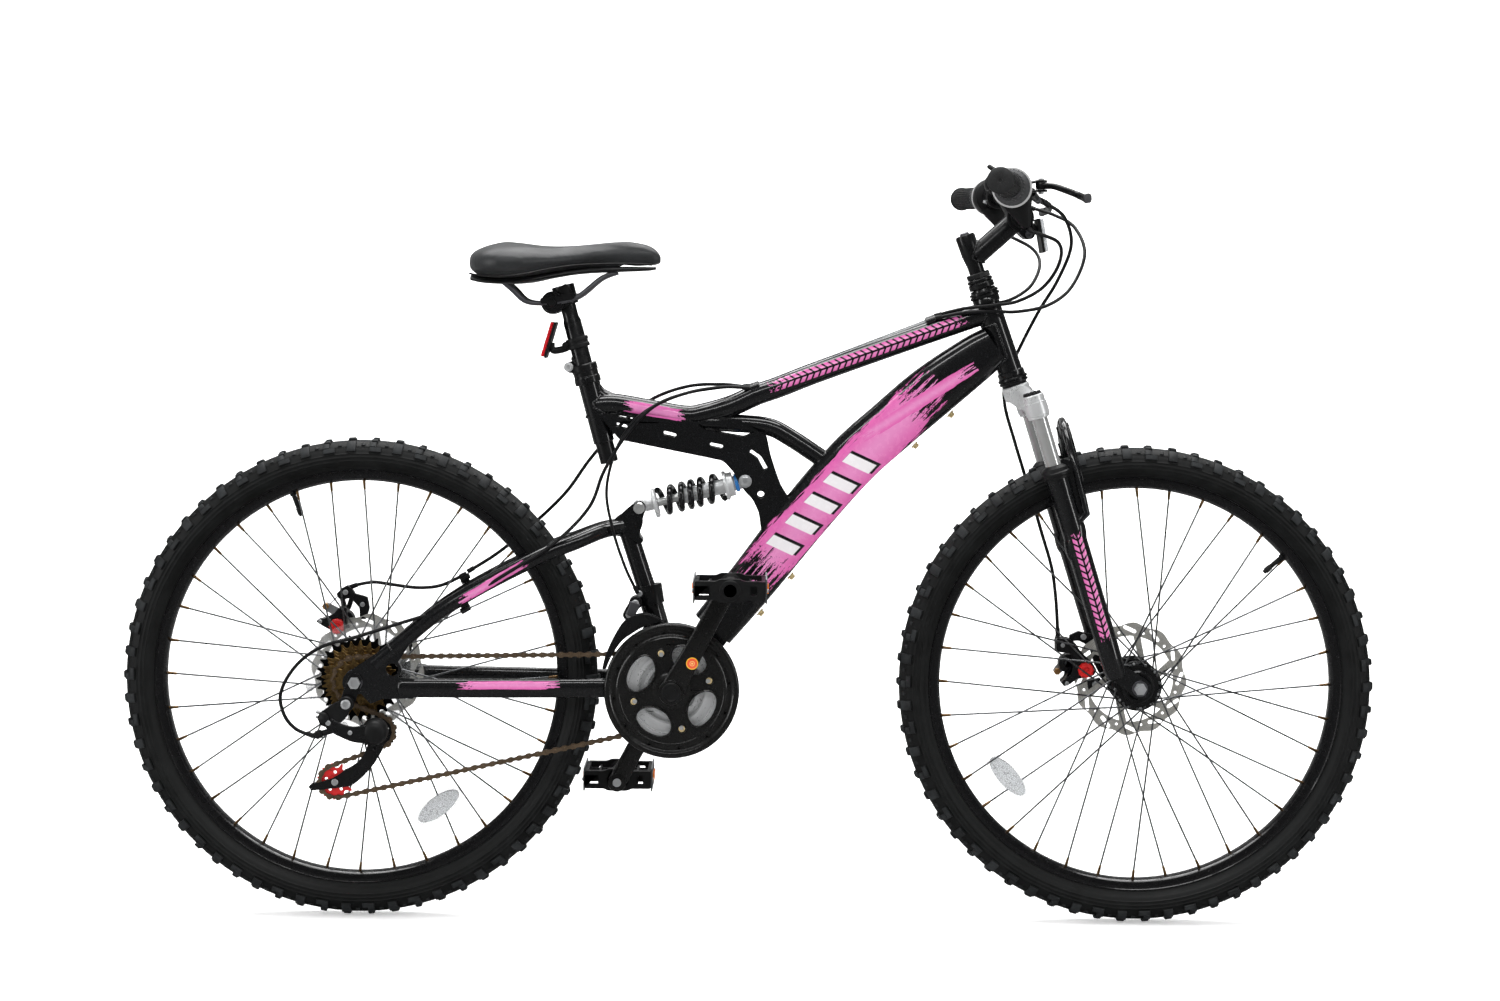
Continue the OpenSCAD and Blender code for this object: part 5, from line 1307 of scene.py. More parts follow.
def shifter(name, flip):
    d = BAR_AXIS * flip
    a = on_bar(150) * flip
    s = Shape()
    shell = [(0, 12), (0, 21), (2, 24.6), (7, 26.0), (16.6, 26.0), (17.6, 25.2), (17.8, 12)]
    s.turn(a, d, shell, 64, loop=True)
    tip = on_bar(158) * flip + np.array([20, -7 * flip[1], -52])
    middle = on_bar(159) * flip
    path = [mix(middle, tip, t) for t in (0.25, 0.42, 0.6, 0.78, 0.94, 1.0)]
    s.sweep(path, [22.5, 19.0, 14.2, 10.0, 6.6, 5.4], [9.0, 8.8, 8.2, 7.0, 5.6, 4.8],
            up=np.cross(d, tip - middle), sides=32,
            power=0.8)
    s.piece(name + "_shifter_housing", "steering", BLACK_PLASTIC, smooth=40, slot="black_plastic")
    e = Shape()
    end = on_bar(167.6) * flip
    e.turn(end, d, [(0, 20), (0, 26.4), (0.6, 27.0), (1.6, 26.9), (2.0, 25.6), (2.0, 20)], 72, loop=True)
    e.piece(name + "_shifter_trim_ring", "steering", LIGHT_PLASTIC, slot="black_plastic")
    t = Shape()
    start = on_bar(169.8) * flip
    profile = [(0, 11.3), (0, 24.2), (2.0, 24.6), (4.4, 23.2), (8, 20.4), (12, 18.6), (40, 17.8), (42, 16.8),
               (43.2, 11.3)]
    t.turn(start, d, profile, 64, loop=True)
    u, v = cross_axes(d)
    for k in range(26):
        q = 2 * math.pi * k / 26
        out = u * math.cos(q) + v * math.sin(q)
        t.block(start + d * 26 + out * 18.4, (1.8, 2.2, 26), ux=out, uy=np.cross(d, out))
        t.block(start + d * 2.6 + out * 23.6, (2.0, 2.0, 2.6), ux=out, uy=np.cross(d, out))
    t.piece(name + "_twist_grip", name + "_shifter", GRIP_GREY, name + "_shifter", bevel=0.35,
            slot="grip_rubber")
    if name == "right":
        marks = Shape()
        for k in range(7):
            q = math.radians(62 + 9 * k)
            out = u * math.cos(q) + v * math.sin(q)
            marks.block(start + d * 3.2 + out * 23.9, (0.8, 0.9, 1.6), ux=out, uy=np.cross(d, out))
        marks.piece("gear_marks", "right_shifter", LIGHT_PLASTIC, slot="black_plastic")


def brake_lever(name, flip):
    pivot = at(name + "_brake_lever")
    s = Shape()
    blade = [np.array(p) * flip for p in ((386, 142, 1017), (392, 146, 1017), (402, 155, 1016),
                                          (414, 164, 1011.5),
                                          (427, 173, 1006), (435, 190, 1001), (437, 212, 998),
                                          (434, 240, 996.5))]
    path = curve(blade, 5)
    n = len(path)
    s.sweep(path, np.interp(range(n), [0, 8, 20, n - 1], [4.2, 4.2, 4.6, 5.6]),
            np.interp(range(n), [0, 8, 20, n - 1], [6.5, 5.0, 3.4, 3.0]), up=(0, 0, 1), sides=20, power=0.75)
    s.rod(pivot - [0, 0, 4.2], pivot + [0, 0, 4.2], 7.6, 0.8, 36)
    s.piece(name + "_lever_blade", name + "_brake_lever", BLACK, name + "_brake_lever", smooth=38,
            slot="black_parts")
    t = Shape()
    tip = curve([np.array(p) * flip for p in ((434.6, 236, 996.7), (432, 258, 996), (431.5, 270, 996),
                                              (433.5, 277, 996.2))], 5)
    t.sweep(tip, [5.9] * 10 + [6.4] * 4 + [6.0, 4.4], [3.4] * 10 + [4.0, 4.6, 4.8, 4.8] + [4.2, 2.6],
            up=(0, 0, 1), sides=20,
            power=0.75)
    t.piece(name + "_lever_tip", name + "_brake_lever", GREY_PLASTIC, smooth=38, slot="black_parts")


def brake_perch(name, flip):
    s = Shape()
    a, b = on_bar(124) * flip, on_bar(144) * flip
    s.turn(a, b - a, [(0, 11.2), (0, 15.6), (1.2, 17), (19.2, 17), (20.4, 15.6), (20.4, 11.2)], 48, loop=True)
    pivot = at(name + "_brake_lever")
    mid = on_bar(134) * flip
    arm = [mid + (np.array([10, 0, 1])), mix(mid, pivot, 0.62), pivot - [3, 0, 0]]
    for z, t in ((-6.3, 3.2), (6.3, 3.2)):
        path = [p + np.array([0, 0, z]) for p in arm]
        s.sweep(path, t / 2, [9, 8.4, 7.4], up=(0, 0, 1), sides=20, power=0.6)
        s.rod(pivot + [0, 0, z - t / 2], pivot + [0, 0, z + t / 2], 8.2, 0.6, 32)
    s.sweep([arm[0] - [4, 0, 0], mix(arm[0], arm[1], 0.7)], 8.0, 8.6, up=(0, 0, 1), sides=20, power=0.6)
    nose = np.array([382, 106, 1003.0]) * flip
    s.sweep([np.array([374, 128, 1009.0]) * flip, np.array([378, 116, 1006.0]) * flip, nose],
            [6.6, 6.0, 5.4], sides=24,
            up=(0, 0, 1))
    s.piece(name + "_brake_perch", "steering", BLACK, smooth=36, bevel=0.3, slot="black_parts")
    k = Shape()
    d = unit(nose - np.array([374, 128, 1009.0]) * flip)
    k.turn(nose, d, [(0, 4.6), (0.6, 5.6), (5, 5.6), (5.8, 4.6), (6.2, 3.4), (12, 3.4), (12.6, 4.8),
                     (17.5, 4.4), (18, 2.8)], 20)
    k.piece(name + "_barrel_adjuster", "steering", DARK_STEEL, bevel=0.2, slot="steel")
    p = Shape().bolt(pivot + [0, 0, 8.0], (0, 0, 1), 4.2, 2.6).nut(pivot - [0, 0, 7.9], (0, 0, -1), 4.2, 3.0)
    c = mid + np.array([-15, 0, -6])
    p.bolt(c, (-0.4, 0, -1), 3.6, 4.0)
    p.piece(name + "_perch_bolts", "steering", STEEL, slot="steel")


def bell():
    tilt = axis_of("bell_lever")
    base = np.array([335.0, -94, 1022])
    s = Shape()
    dome = [(0.0, 19.6), (0.0, 21.0), (1.2, 21.4), (5, 21.0), (10, 19.4), (14, 16.0), (17, 10.5),
            (18.4, 4.5), (18.6, 2.6),
            (17.8, 2.2), (17.8, 0.2)]
    s.turn(base, tilt, dome, 56)
    s.piece("bell_dome", "steering", BLACK, "bell", smooth=30, slot="black_parts")
    b = Shape()
    b.turn(base - tilt * 7, tilt, [(0, 12), (0, 17.6), (1.6, 18.6), (6, 18.6), (6.4, 12)], 40)
    a0, a1 = np.array([362, -82, 1001.9]), np.array([357.2, -104, 1010.5])
    b.tube(a0, a1, 14.6, 11.8, 0.6, 40)
    b.sweep([mix(a0, a1, 0.5) + [-9, 0, 6], base - tilt * 6], [7, 6], [9, 8], sides=20, power=0.7)
    b.piece("bell_base", "steering", BLACK_PLASTIC, bevel=0.3, slot="black_plastic")
    pivot = at("bell_lever")
    t = Shape()
    path = [pivot + d for d in ((0, 0, -1), (-5, 1, 6), (-9, 1, 10), (-3, 2, 14), (-6, 2, 17), (-12, 3, 21),
                                (-14, 3, 23))]
    t.sweep(path, [2.4, 2.6, 3.0, 3.0, 3.0, 2.8, 2.2], [4.0, 4.4, 5.0, 5.0, 5.0, 4.6, 3.4], up=(1, 0, 1),
            sides=16, power=0.6)
    t.rod(pivot - tilt * 3, pivot + tilt * 2.4, 3.6)
    t.piece("bell_thumb_lever", "bell_lever", BLACK_PLASTIC, "bell_lever", smooth=40, slot="black_plastic")


def front_reflector():
    s = Shape()
    x = unit((0.985, 0, 0.174))
    c = np.array([402.0, -10, 954])
    s.block(c + x * 0.6, (5.2, 50, 46), ux=x)
    s.piece("front_reflector_lens", "steering", WHITE_LENS, "front_reflector", bevel=1.4,
            slot="reflector_clear")
    b = Shape()
    b.block(c - x * 3.4, (3.4, 52, 48), ux=x)
    b.rod([396, -10, 958], [386, -8, 969], 5.0)
    b.block([391, -9, 962], (12, 9, 8), ux=(-1, 0, 1))
    b.tube([372, -12, 979], [372, -26, 979], 14.6, 11.2)
    b.piece("front_reflector_back", "steering", BLACK_PLASTIC, bevel=0.9, slot="black_plastic")


def cockpit():
    stem_and_bar()
    for name, _, flip in sides():
        g = grip(name, flip)
        shifter(name, flip)
        brake_lever(name, flip)
        brake_perch(name, flip)
    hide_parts("grips")
    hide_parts("brake_perches")
    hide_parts("shifter_housings")
    bell()
    front_reflector()


# ---------------------------------------------------------------- cables

def cable(name, points, r, bodies, body=None, start=None, end=None, node=None, material=None, ends=()):
    s = Shape().sweep(curve(points, 10), r, sides=14)
    p = [np.array(q, float) for q in points]
    for i in ends:
        a, b = (p[0], p[1]) if i == 0 else (p[-1], p[-2])
        d = unit(b - a)
        s.tube(a - d * 1.5, a + d * 9, r + 0.9, r - 0.3, 0.3, 16)
    obj = s.piece(name, body, material or CABLE, slot="cable_black" if material is None else "steel")
    if bodies:
        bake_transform(obj)
    if node:
        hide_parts(node)


def cables():
    head = (on_steer(20) + [30, 0, 0], on_steer(-60) + [62, 0, 0])
    turn = dict(bodies=("frame", "steering"), start=head[0], end=head[1], ends=(0, -1))
    left, right = on_bar(158) + [21, -7, -54], (on_bar(158) + [21, -7, -54]) * [1, -1, 1]
    cable("rear_brake_housing", [(256, -9, 838), (296, -18, 846), (330, -25, 848), (368, -25, 848),
                                 (412, -18, 858),
                                 (446, 2, 884), (466, 24, 930), (455, 56, 968), (428, 80, 986),
                                 (395, 96, 997)], 2.5, **turn)
    cable("rear_shift_housing", [(256, 0, 841), (292, -14, 851), (330, -27, 856), (366, -32, 862),
                                 (400, -50, 882),
                                 (418, -84, 915), (412, -122, 942), right + [8, 4, -4], right], 2.5, **turn)
    cable("front_shift_housing", [(256, 9, 838), (294, 19, 850), (326, 26, 857), (362, 34, 864),
                                  (394, 58, 884),
                                  (411, 96, 915), (404, 128, 938), left + [8, -4, -4], left], 2.5, **turn)
    cable("front_brake_housing", [(395, -96, 997), (424, -82, 978), (438, -50, 940), (424, -14, 892),
                                  (402, 14, 850),
                                  (378, 28, 800), (358, 33, 752), (357, 34, 716), (372, 38, 664),
                                  (393, 43, 598),
                                  (412, 46, 536), (427, 49, 486), (434, 52, 438), (437, 54, 392)], 2.5,
          ("steering", "fork_lower"), start=on_leg(-30), end=on_leg(330), ends=(0, -1), node="front_cables")

    wires = Shape()
    for y in (-9, 0, 9):
        z = 2 if y == 0 else 0
        wires.sweep(np.array([(242, y, 832.6 + z), (12, y, 742.8 + z)]), 0.8, sides=8)
    wires.piece("bare_wires", "frame", STEEL, "rear_cables", slot="steel")
    swing = dict(bodies=("frame", "swingarm"), ends=(0, -1))
    cable("rear_derailleur_housing_front", [(-2, -9, 738), (-40, -16, 739), (-88, -28, 731),
                                            (-134, -34, 712), (-172, -36, 672),
                                            (-202, -38, 622), (-222, -40, 572), (-268, -56, 524),
                                            (-330, -66, 484),
                                            (-389, -60, 446)], 2.5, start=(-130, 0, 700), end=(-290, 0, 505),
          **swing)
    cable("rear_brake_housing_back", [(-2, 9, 738), (-40, 16, 742), (-90, 28, 738), (-142, 34, 718),
                                      (-186, 36, 680),
                                      (-226, 40, 634), (-262, 44, 584), (-318, 58, 530), (-360, 64, 496),
                                      (-398, 62, 472)],
          2.5, start=(-130, 0, 700), end=(-290, 0, 520), **swing)
    cable("front_derailleur_wire", [(-2, 0, 741), (-40, 0, 738), (-96, -18, 728), (-150, -27, 702),
                                    (-182, -33, 660),
                                    (-198, -38, 600), (-190, -36, 545), (-172, -31, 490),
                                    (-155, -24.5, 454)], 2.1,
          start=(-130, 0, 700), end=(-190, 0, 520), **swing)
    cable("rear_derailleur_housing", [(-396, -60, 441), (-430, -66, 428), (-480, -76, 413), (-534, -84, 396),
                                      (-582, -88, 382),
                                      (-616, -89, 356), (-636, -87, 320), (-632, -85, 290), (-616, -84, 270),
                                      (-593, -83, 260.5)],
          2.5, None, "swingarm", ends=(0, -1))
    cable("rear_caliper_housing", [(-402, 61, 468), (-436, 60, 452), (-468.8, 60, 448.2), (-508.7, 61, 452.5),
                                   (-532.5, 62, 455.2), (-556.3, 62, 450.9), (-563.8, 62, 448.2)], 2.5, None,
          "swingarm", ends=(0, -1))
    cable("rear_derailleur_wire", [(-389, -59, 446), (-396, -60, 441)], 0.8, None, "swingarm", material=STEEL)
    cable("rear_caliper_wire", [(-563.8, 62, 448.2), (-576, 66, 441), (-588, 72, 430), (-601.7, 79, 416)],
          0.8,
          ("swingarm", "rear_caliper_arm"), start=(-566, 63, 447), end=(-598, 78, 419), material=STEEL)


# ---------------------------------------------------------------- saddle and post

SADDLE_BACK, SADDLE_L = -397.6, 277.0
SADDLE = [(0, 22, 918, 900), (0.02, 46, 926, 892), (0.08, 70, 933, 886), (0.17, 84, 937, 884),
          (0.28, 84, 936, 889),
          (0.4, 66, 934, 896), (0.52, 44, 934, 901), (0.65, 29, 936, 904), (0.8, 22, 938.5, 905),
          (0.92, 20, 938, 904),
          (0.98, 15, 931, 907), (1, 8, 922, 912)]


def saddle_ring(s, shrink=0.0, sides_n=36):
    x = SADDLE_BACK + s[0] * SADDLE_L
    w = max(s[1] * 172 / 168 - shrink, 2)
    mid, half = (s[2] + s[3]) / 2, max((s[2] - s[3]) / 2 - shrink, 1.5)
    ring = []
    for q in np.linspace(0, 2 * math.pi, sides_n, endpoint=False):
        c, n = math.cos(q), math.sin(q)
        side, up = math.copysign(abs(c) ** 0.8, c), math.copysign(abs(n) ** 0.8, n)
        ring.append([x, side * w, mid + up * half - 6 * abs(side) ** 3 * (w / 172)])
    return ring


def saddle():
    rows = curve(SADDLE, 5)
    rows = [r for r in rows if 0.004 < r[0] < 0.996]
    top = Shape().rings([saddle_ring((0.012 + 0.976 * r[0], r[1], r[2], r[3]), 3.2) for r in rows])
    obj = top.piece("saddle_cover", None, VINYL, smooth=80)
    remesh = obj.modifiers.new("voxels", "REMESH")
    remesh.mode, remesh.voxel_size = "VOXEL", 0.0045
    apply_all(obj)
    before = np.array([v.co[:] for v in obj.data.vertices])
    puff(obj, before, 0.0048)
    shape_saddle(obj)
    mod = obj.modifiers.new("soft", "SUBSURF")
    mod.levels = mod.render_levels = 1
    obj.data.shade_smooth()
    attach(obj, "seatpost")
    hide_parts("saddle")

    base = Shape()
    rows = curve([(0.035, 52, 893, 883), (0.1, 66, 889, 880), (0.2, 66, 889, 879), (0.32, 60, 892, 881),
                  (0.44, 44, 897, 888),
                  (0.58, 30, 902, 894), (0.75, 19, 905, 897), (0.9, 15, 905, 899), (0.95, 10, 905, 901)], 4)
    base.rings([saddle_ring(r, 0, 28) for r in rows])
    base.piece("saddle_base", "seatpost", BLACK_PLASTIC, smooth=50, slot="black_plastic")
    piping = Shape()
    edge = curve([(-389, 46, 893), (-372, 66, 890), (-345, 78, 889), (-316, 76, 892), (-286, 58, 899),
                  (-252, 38, 905),
                  (-214, 26, 908), (-172, 21, 909), (-140, 18, 908)], 6)
    piping.sweep(edge, 1.3, sides=8).sweep(np.array(mirrored(edge)), 1.3, sides=8)
    piping.piece("saddle_edge_seam", "seatpost", BLACK_PLASTIC, slot="black_plastic")


def apply_all(obj):
    """Bakes the modifiers into the mesh."""
    deps = bpy.context.evaluated_depsgraph_get()
    mesh = bpy.data.meshes.new_from_object(obj.evaluated_get(deps), depsgraph=deps)
    obj.modifiers.clear()
    obj.data = mesh


def puff(obj, before, cap):
    """Short cloth simulation: the cover swells, and no point moves further than the cap."""
    mod = obj.modifiers.new("cloth", "CLOTH")
    cloth = mod.settings
    cloth.quality = 5
    cloth.mass = 0.3
    cloth.tension_stiffness = cloth.compression_stiffness = 25
    cloth.bending_stiffness = 6
    cloth.use_pressure = True
    cloth.uniform_pressure_force = 4.0
    cloth.effector_weights.gravity = 0
    scene = bpy.context.scene
    for f in range(1, 21):
        scene.frame_set(f)
    apply_all(obj)
    after = np.array([v.co[:] for v in obj.data.vertices])
    move = after - before
    size = np.linalg.norm(move, axis=1, keepdims=True)
    move *= np.minimum(1.0, cap / np.maximum(size, 1e-9))
    obj.data.vertices.foreach_set("co", (before + move).ravel())
    obj.data.update()
    scene.frame_set(1)


def shape_saddle(obj):
    """Presses a shallow channel along the top and a dip behind the middle."""
    co = np.array([v.co[:] for v in obj.data.vertices]) / MM
    x, y, z = co.T
    along = (x - SADDLE_BACK) / SADDLE_L
    upper = np.clip((z - 905) / 12, 0, 1)
    groove = np.exp(-(y / 7.0) ** 2) * np.clip((along - 0.1) / 0.2, 0, 1) * np.clip((0.72 - along) / 0.2, 0,
        1)
    dip = np.exp(-((along - 0.43) / 0.16) ** 2)
    nose = np.clip((along - 0.9) / 0.1, 0, 1) ** 2
    co[:, 2] = z - upper * (2.2 * groove + 2.6 * dip) - nose * 5.0
    obj.data.vertices.foreach_set("co", (co * MM).ravel())
    obj.data.update()


RAIL = [(-352, 42, 889), (-333, 36, 873), (-314, 26, 856), (-290, 22, 853), (-262, 22, 856), (-238, 21, 865),
        (-210, 14, 888), (-188, 10, 897)]


def seat_post():
    s = Shape()
    s.turn(on_seat(-30), SEAT_UP, [(0, 11.4), (0.8, 12.6), (203, 12.6), (209, 11.0), (231, 11.0), (232, 10)],
           48)
    s.piece("seat_post", "seatpost", BLACK, "seatpost", slot="black_parts")
    r = Shape()
    for rail in (RAIL, mirrored(RAIL)):
        r.sweep(curve(rail, 8), 3.6, sides=18)
    r.piece("saddle_rails_bent", "seatpost", DARK_STEEL, "saddle_rails", slot="black_parts")
    c = Shape()
    for side in (-1, 1):
        c.turn(CLAMP, (0, side, 0), [(14, 8), (14, 15.4), (16, 16.0), (20, 15.6), (21, 13.4), (21.6, 13.2),
                                     (24.6, 12.4),
                                     (25.2, 11.0), (24.4, 10.4), (24.4, 7.6), (26.4, 7.2), (26.8, 5.6)], 56)
        c.nut(CLAMP + [0, 26 * side, 0], (0, side, 0), 5.6, 4.6)
    c.pin(CLAMP, -15, 15, 12)
    c.turn(on_seat(197), SEAT_UP, [(0, 12.7), (0, 15.2), (1.2, 16), (27, 16), (28, 15), (28, 11.1)], 48,
           loop=True)
    c.piece("saddle_clamp", "seatpost", BLACK, smooth=28, slot="black_parts")
    b = Shape()
    top = on_seat(212)
    body = rounded([CLAMP[[0, 2]] + (-11, 12), CLAMP[[0, 2]] + (2, 17), top[[0, 2]] + (2, 16),
                    top[[0, 2]] + (12, 4),
                    top[[0, 2]] + (12, -10), CLAMP[[0, 2]] + (6, -14)], 4)
    b.prism(body, -14, 14)
    for side in (-1, 1):
        y0, y1 = sorted((side * 16, side * 28))
        b.prism(rounded([CLAMP[[0, 2]] + (-17, 6), CLAMP[[0, 2]] + (-15, -2), CLAMP[[0, 2]] + (30, 5),
                         CLAMP[[0, 2]] + (34, 14), CLAMP[[0, 2]] + (18, 12)], 3), y0, y1)
    b.piece("saddle_clamp_block", "seatpost", BLACK, bevel=1.0, slot="black_parts")


def rear_reflector():
    s = Shape()
    up = unit(np.array([-275.1, 0, 827.5]) - np.array([-289.4, 0, 777.8]))
    out = np.cross(up, (0, 1, 0))
    c = mix([-289.4, 0, 777.8], [-275.1, 0, 827.5], 0.5)
    s.block(c - out * 1.5 * np.sign(-out[0]) * -1, (4.6, 38, 50), ux=out)
    s.piece("rear_reflector_lens", "seatpost", RED_LENS, "rear_reflector", bevel=1.2, slot="reflector_red")
    b = Shape()
    forward = out if out[0] > 0 else -out
    b.block(c + forward * 3.0, (3.2, 40, 51.5), ux=out)
    band = on_seat(143)
    b.turn(on_seat(135), SEAT_UP, [(0, 12.7), (0, 15.2), (1, 16), (5, 16), (6, 15), (9, 15), (10, 16),
                                   (14, 16), (15, 15.2),
                                   (15, 12.7)], 48, loop=True)
    b.sweep(curve([c + forward * 4 + up * -4, c + forward * 10 - up * 13, band + [-16, 0, -8],
                   band + [-12, 0, 0]], 6), 3.6,
            5.0, sides=16)
    b.pin(band + np.array([-17, 0, -4]), -7, 7, 4.6)
    b.piece("rear_reflector_bracket", "seatpost", BLACK_PLASTIC, bevel=0.6, slot="black_plastic")


# ---------------------------------------------------------------- drivetrain

PITCH = 12.7
BOLTS = [16 + 90 * k for k in range(4)]
RING_Y = (-44.0, -50.0, -56.0)
RINGS = (24, 34, 42)
COGS = (28, 24, 22, 20, 18, 16, 14)
COG_Y, COG_STEP = -27.0, 5.0
CHAIN_Y = COG_Y - 5 * COG_STEP
LINKS = 110
UPPER, LOWER = at("upper_pulley_spin"), at("lower_pulley_spin")
PEDALS = {"right": at("right_pedal_spin"), "left": at("left_pedal_spin")}


def pitch_r(n):
    return PITCH * n / (2 * math.pi)


class ChainPath:
    """Pitch line of the chain round the ring, the cog and the two pulleys."""

    def __init__(self):
        self.centres = [np.array([c[0], c[2]]) for c in (CRANK, REAR, UPPER, LOWER)]
        self.radii = [pitch_r(24), pitch_r(16), pitch_r(11), pitch_r(11)]
        self.sense = [1, 1, -1, 1]
        self.heading, self.span = [], []
        for i in range(4):
            j = (i + 1) % 4
            d = self.centres[j] - self.centres[i]
            rise = self.sense[j] * self.radii[j] - self.sense[i] * self.radii[i]
            length = np.linalg.norm(d)
            self.heading.append(math.atan2(d[1], d[0]) - math.asin(rise / length))
            self.span.append(math.sqrt(length ** 2 - rise ** 2))
        self.start, s = [], 0.0
        for i in range(4):
            j = (i + 1) % 4
            turn = (self.sense[j] * (self.heading[j] - self.heading[i])) % (2 * math.pi)
            self.start.append(s)
            s += self.span[i] + self.radii[j] * turn
        self.length = s
        self.link = s / LINKS

    def wheel_angle(self, i, s):
        j = (i + 1) % 4
        return (self.heading[i] - math.pi / 2 * self.sense[j]
                + self.sense[j] * (s - self.start[i] - self.span[i]) / self.radii[j])

    def point(self, k):
        """Place of roller k."""
        s = (k * self.link) % self.length
        i = max(n for n in range(4) if s >= self.start[n] - 1e-9)
        j = (i + 1) % 4
        u = s - self.start[i]
        if u < self.span[i]:
            h = self.heading[i]
            q = h - math.pi / 2 * self.sense[i]
            p = self.centres[i] + self.radii[i] * np.array([math.cos(q), math.sin(q)])
            p = p + u * np.array([math.cos(h), math.sin(h)])
        else:
            q = self.wheel_angle(i, s)
            p = self.centres[j] + self.radii[j] * np.array([math.cos(q), math.sin(q)])
        share = (CRANK[0] - 60 - p[0]) / (CRANK[0] - 60 - UPPER[0] - 8)
        y = RING_Y[0] + (CHAIN_Y - RING_Y[0]) * min(1.0, max(0.0, share))
        return np.array([p[0], y, p[1]])

    def section(self, k):
        """Where link k is: 0 from ring to cog, 1 down to the cage, 2 in the cage, 3 back to the ring."""
        s = (k * self.link) % self.length
        i = max(n for n in range(4) if s >= self.start[n] - 1e-9)
        return 2 if i == 1 and s > self.start[1] + self.span[1] - self.link else i

    def roller_angle(self, j):
        """Angle of one roller on wheel j, in degrees."""
        i = (j + 3) % 4
        k = math.ceil((self.start[i] + self.span[i]) / self.link)
        return math.degrees(self.wheel_angle(i, k * self.link))


PATH = ChainPath()


def tooth_outline(c, n, phase, tip=3.7):
    """Outline of a toothed wheel: round seats for the rollers and narrow tips between them."""
    r, out = pitch_r(n), []
    for k in range(n):
        seat = phase + 360.0 * k / n
        centre = np.array([c[0], c[2]]) + r * np.array([math.cos(math.radians(seat)),
                                                        math.sin(math.radians(seat))])
        for turn in (-78, -40, 0, 40, 78):
            q = math.radians(seat + 180 + turn * -1)
            out.append(tuple(centre + 4.0 * np.array([math.cos(q), math.sin(q)])))
        for share, high in ((0.40, tip - 1.2), (0.455, tip), (0.545, tip), (0.60, tip - 1.2)):
            q = math.radians(seat + 360.0 * share / n)
            out.append((c[0] + (r + high) * math.cos(q), c[2] + (r + high) * math.sin(q)))
    return out


def chain():
    stretches = [Shape() for _ in range(4)]
    for k in range(LINKS):
        shape = stretches[PATH.section(k)]
        p, q = PATH.point(k), PATH.point(k + 1)
        inner = k % 2 == 0
        low, high = ((1.5, 2.4) if inner else (2.5, 3.4))
        y = (p[1] + q[1]) / 2
        t = unit([q[0] - p[0], 0, q[2] - p[2]])
        across = np.array([-t[2], 0, t[0]])
        waist = []
        for c, turn in ((p, 1), (q, -1)):
            a = math.degrees(math.atan2(t[2], t[0]))
            arc = circle((c[0], c[2]), 4.3, 8, a + 90 + 28, a + 270 - 28) if turn > 0 else \
                circle((c[0], c[2]), 4.3, 8, a - 90 + 28, a + 90 - 28)
            middle = (p + q) / 2 - across * 2.0 * turn
            waist += arc + [(middle[0], middle[2])]
        for side in (-1, 1):
            shape.prism(waist, y + side * low, y + side * high)
        if inner:
            for c in (p, q):
                shape.turn([c[0], y - 1.9, c[2]], (0, 1, 0), [(0, 3.85), (3.8, 3.85)], 12)
        else:
            for c in (p, q):
                shape.turn([c[0], y - 4.1, c[2]], (0, 1, 0), [(0, 1.3), (0.3, 1.9), (7.9, 1.9), (8.2, 1.3)],
                           8)
    stretches[0].piece("chain_links", "swingarm", CHAIN_STEEL, "chain", smooth=40)
    stretches[2].piece("chain_in_cage", "derailleur_cage", CHAIN_STEEL, smooth=40)
    short_run = stretches[1].piece("chain_short_run", None, CHAIN_STEEL, smooth=40)
    lower_run = stretches[3].piece("chain_lower_run", None, CHAIN_STEEL, smooth=40)
    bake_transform(short_run)
    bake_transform(lower_run)


def cogs():
    phase = PATH.roller_angle(1)
    for i, n in enumerate(COGS):
        y = COG_Y - i * COG_STEP
        shape = Shape()
        r = pitch_r(n)
        holes = []
        if n >= 20:
            spots = 8 if n > 22 else 6
            holes = [circle(xyz_pair(polar(REAR, (r + 13) / 2 + 1, 360 * (k + 0.2 * i) / spots)),
                            (r - 24) * 0.2 + 1.6, 12)
                     for k in range(spots)]
        shape.prism(tooth_outline(REAR, n, phase), y - 0.9, y + 0.9,
                    [circle((REAR[0], REAR[2]), 16.2, 32)] + holes)
        shape.piece(f"cog_{i + 1}", "sprockets", COG_STEEL, *(["sprockets"] if i == 0 else []), bevel=0.25,
                    segments=1)
    core = Shape()
    core.turn([REAR[0], 0, REAR[2]], (0, 1, 0),
              [(-58, 12.2), (-58.6, 15.2), (-57.6, 18.2), (-26, 18.2), (-23.4, 17), (-23, 12.2)], 48,
              loop=True)
    core.turn([REAR[0], 0, REAR[2]], (0, 1, 0), [(-58.4, 6), (-58.6, 10), (-57.8, 11.6), (-23, 11.6),
                                                 (-23, 6)], 40, loop=True)
    core.piece("freewheel_core", "sprockets", DARK_STEEL, smooth=40)


def xyz_pair(p):
    return (p[0], p[2])


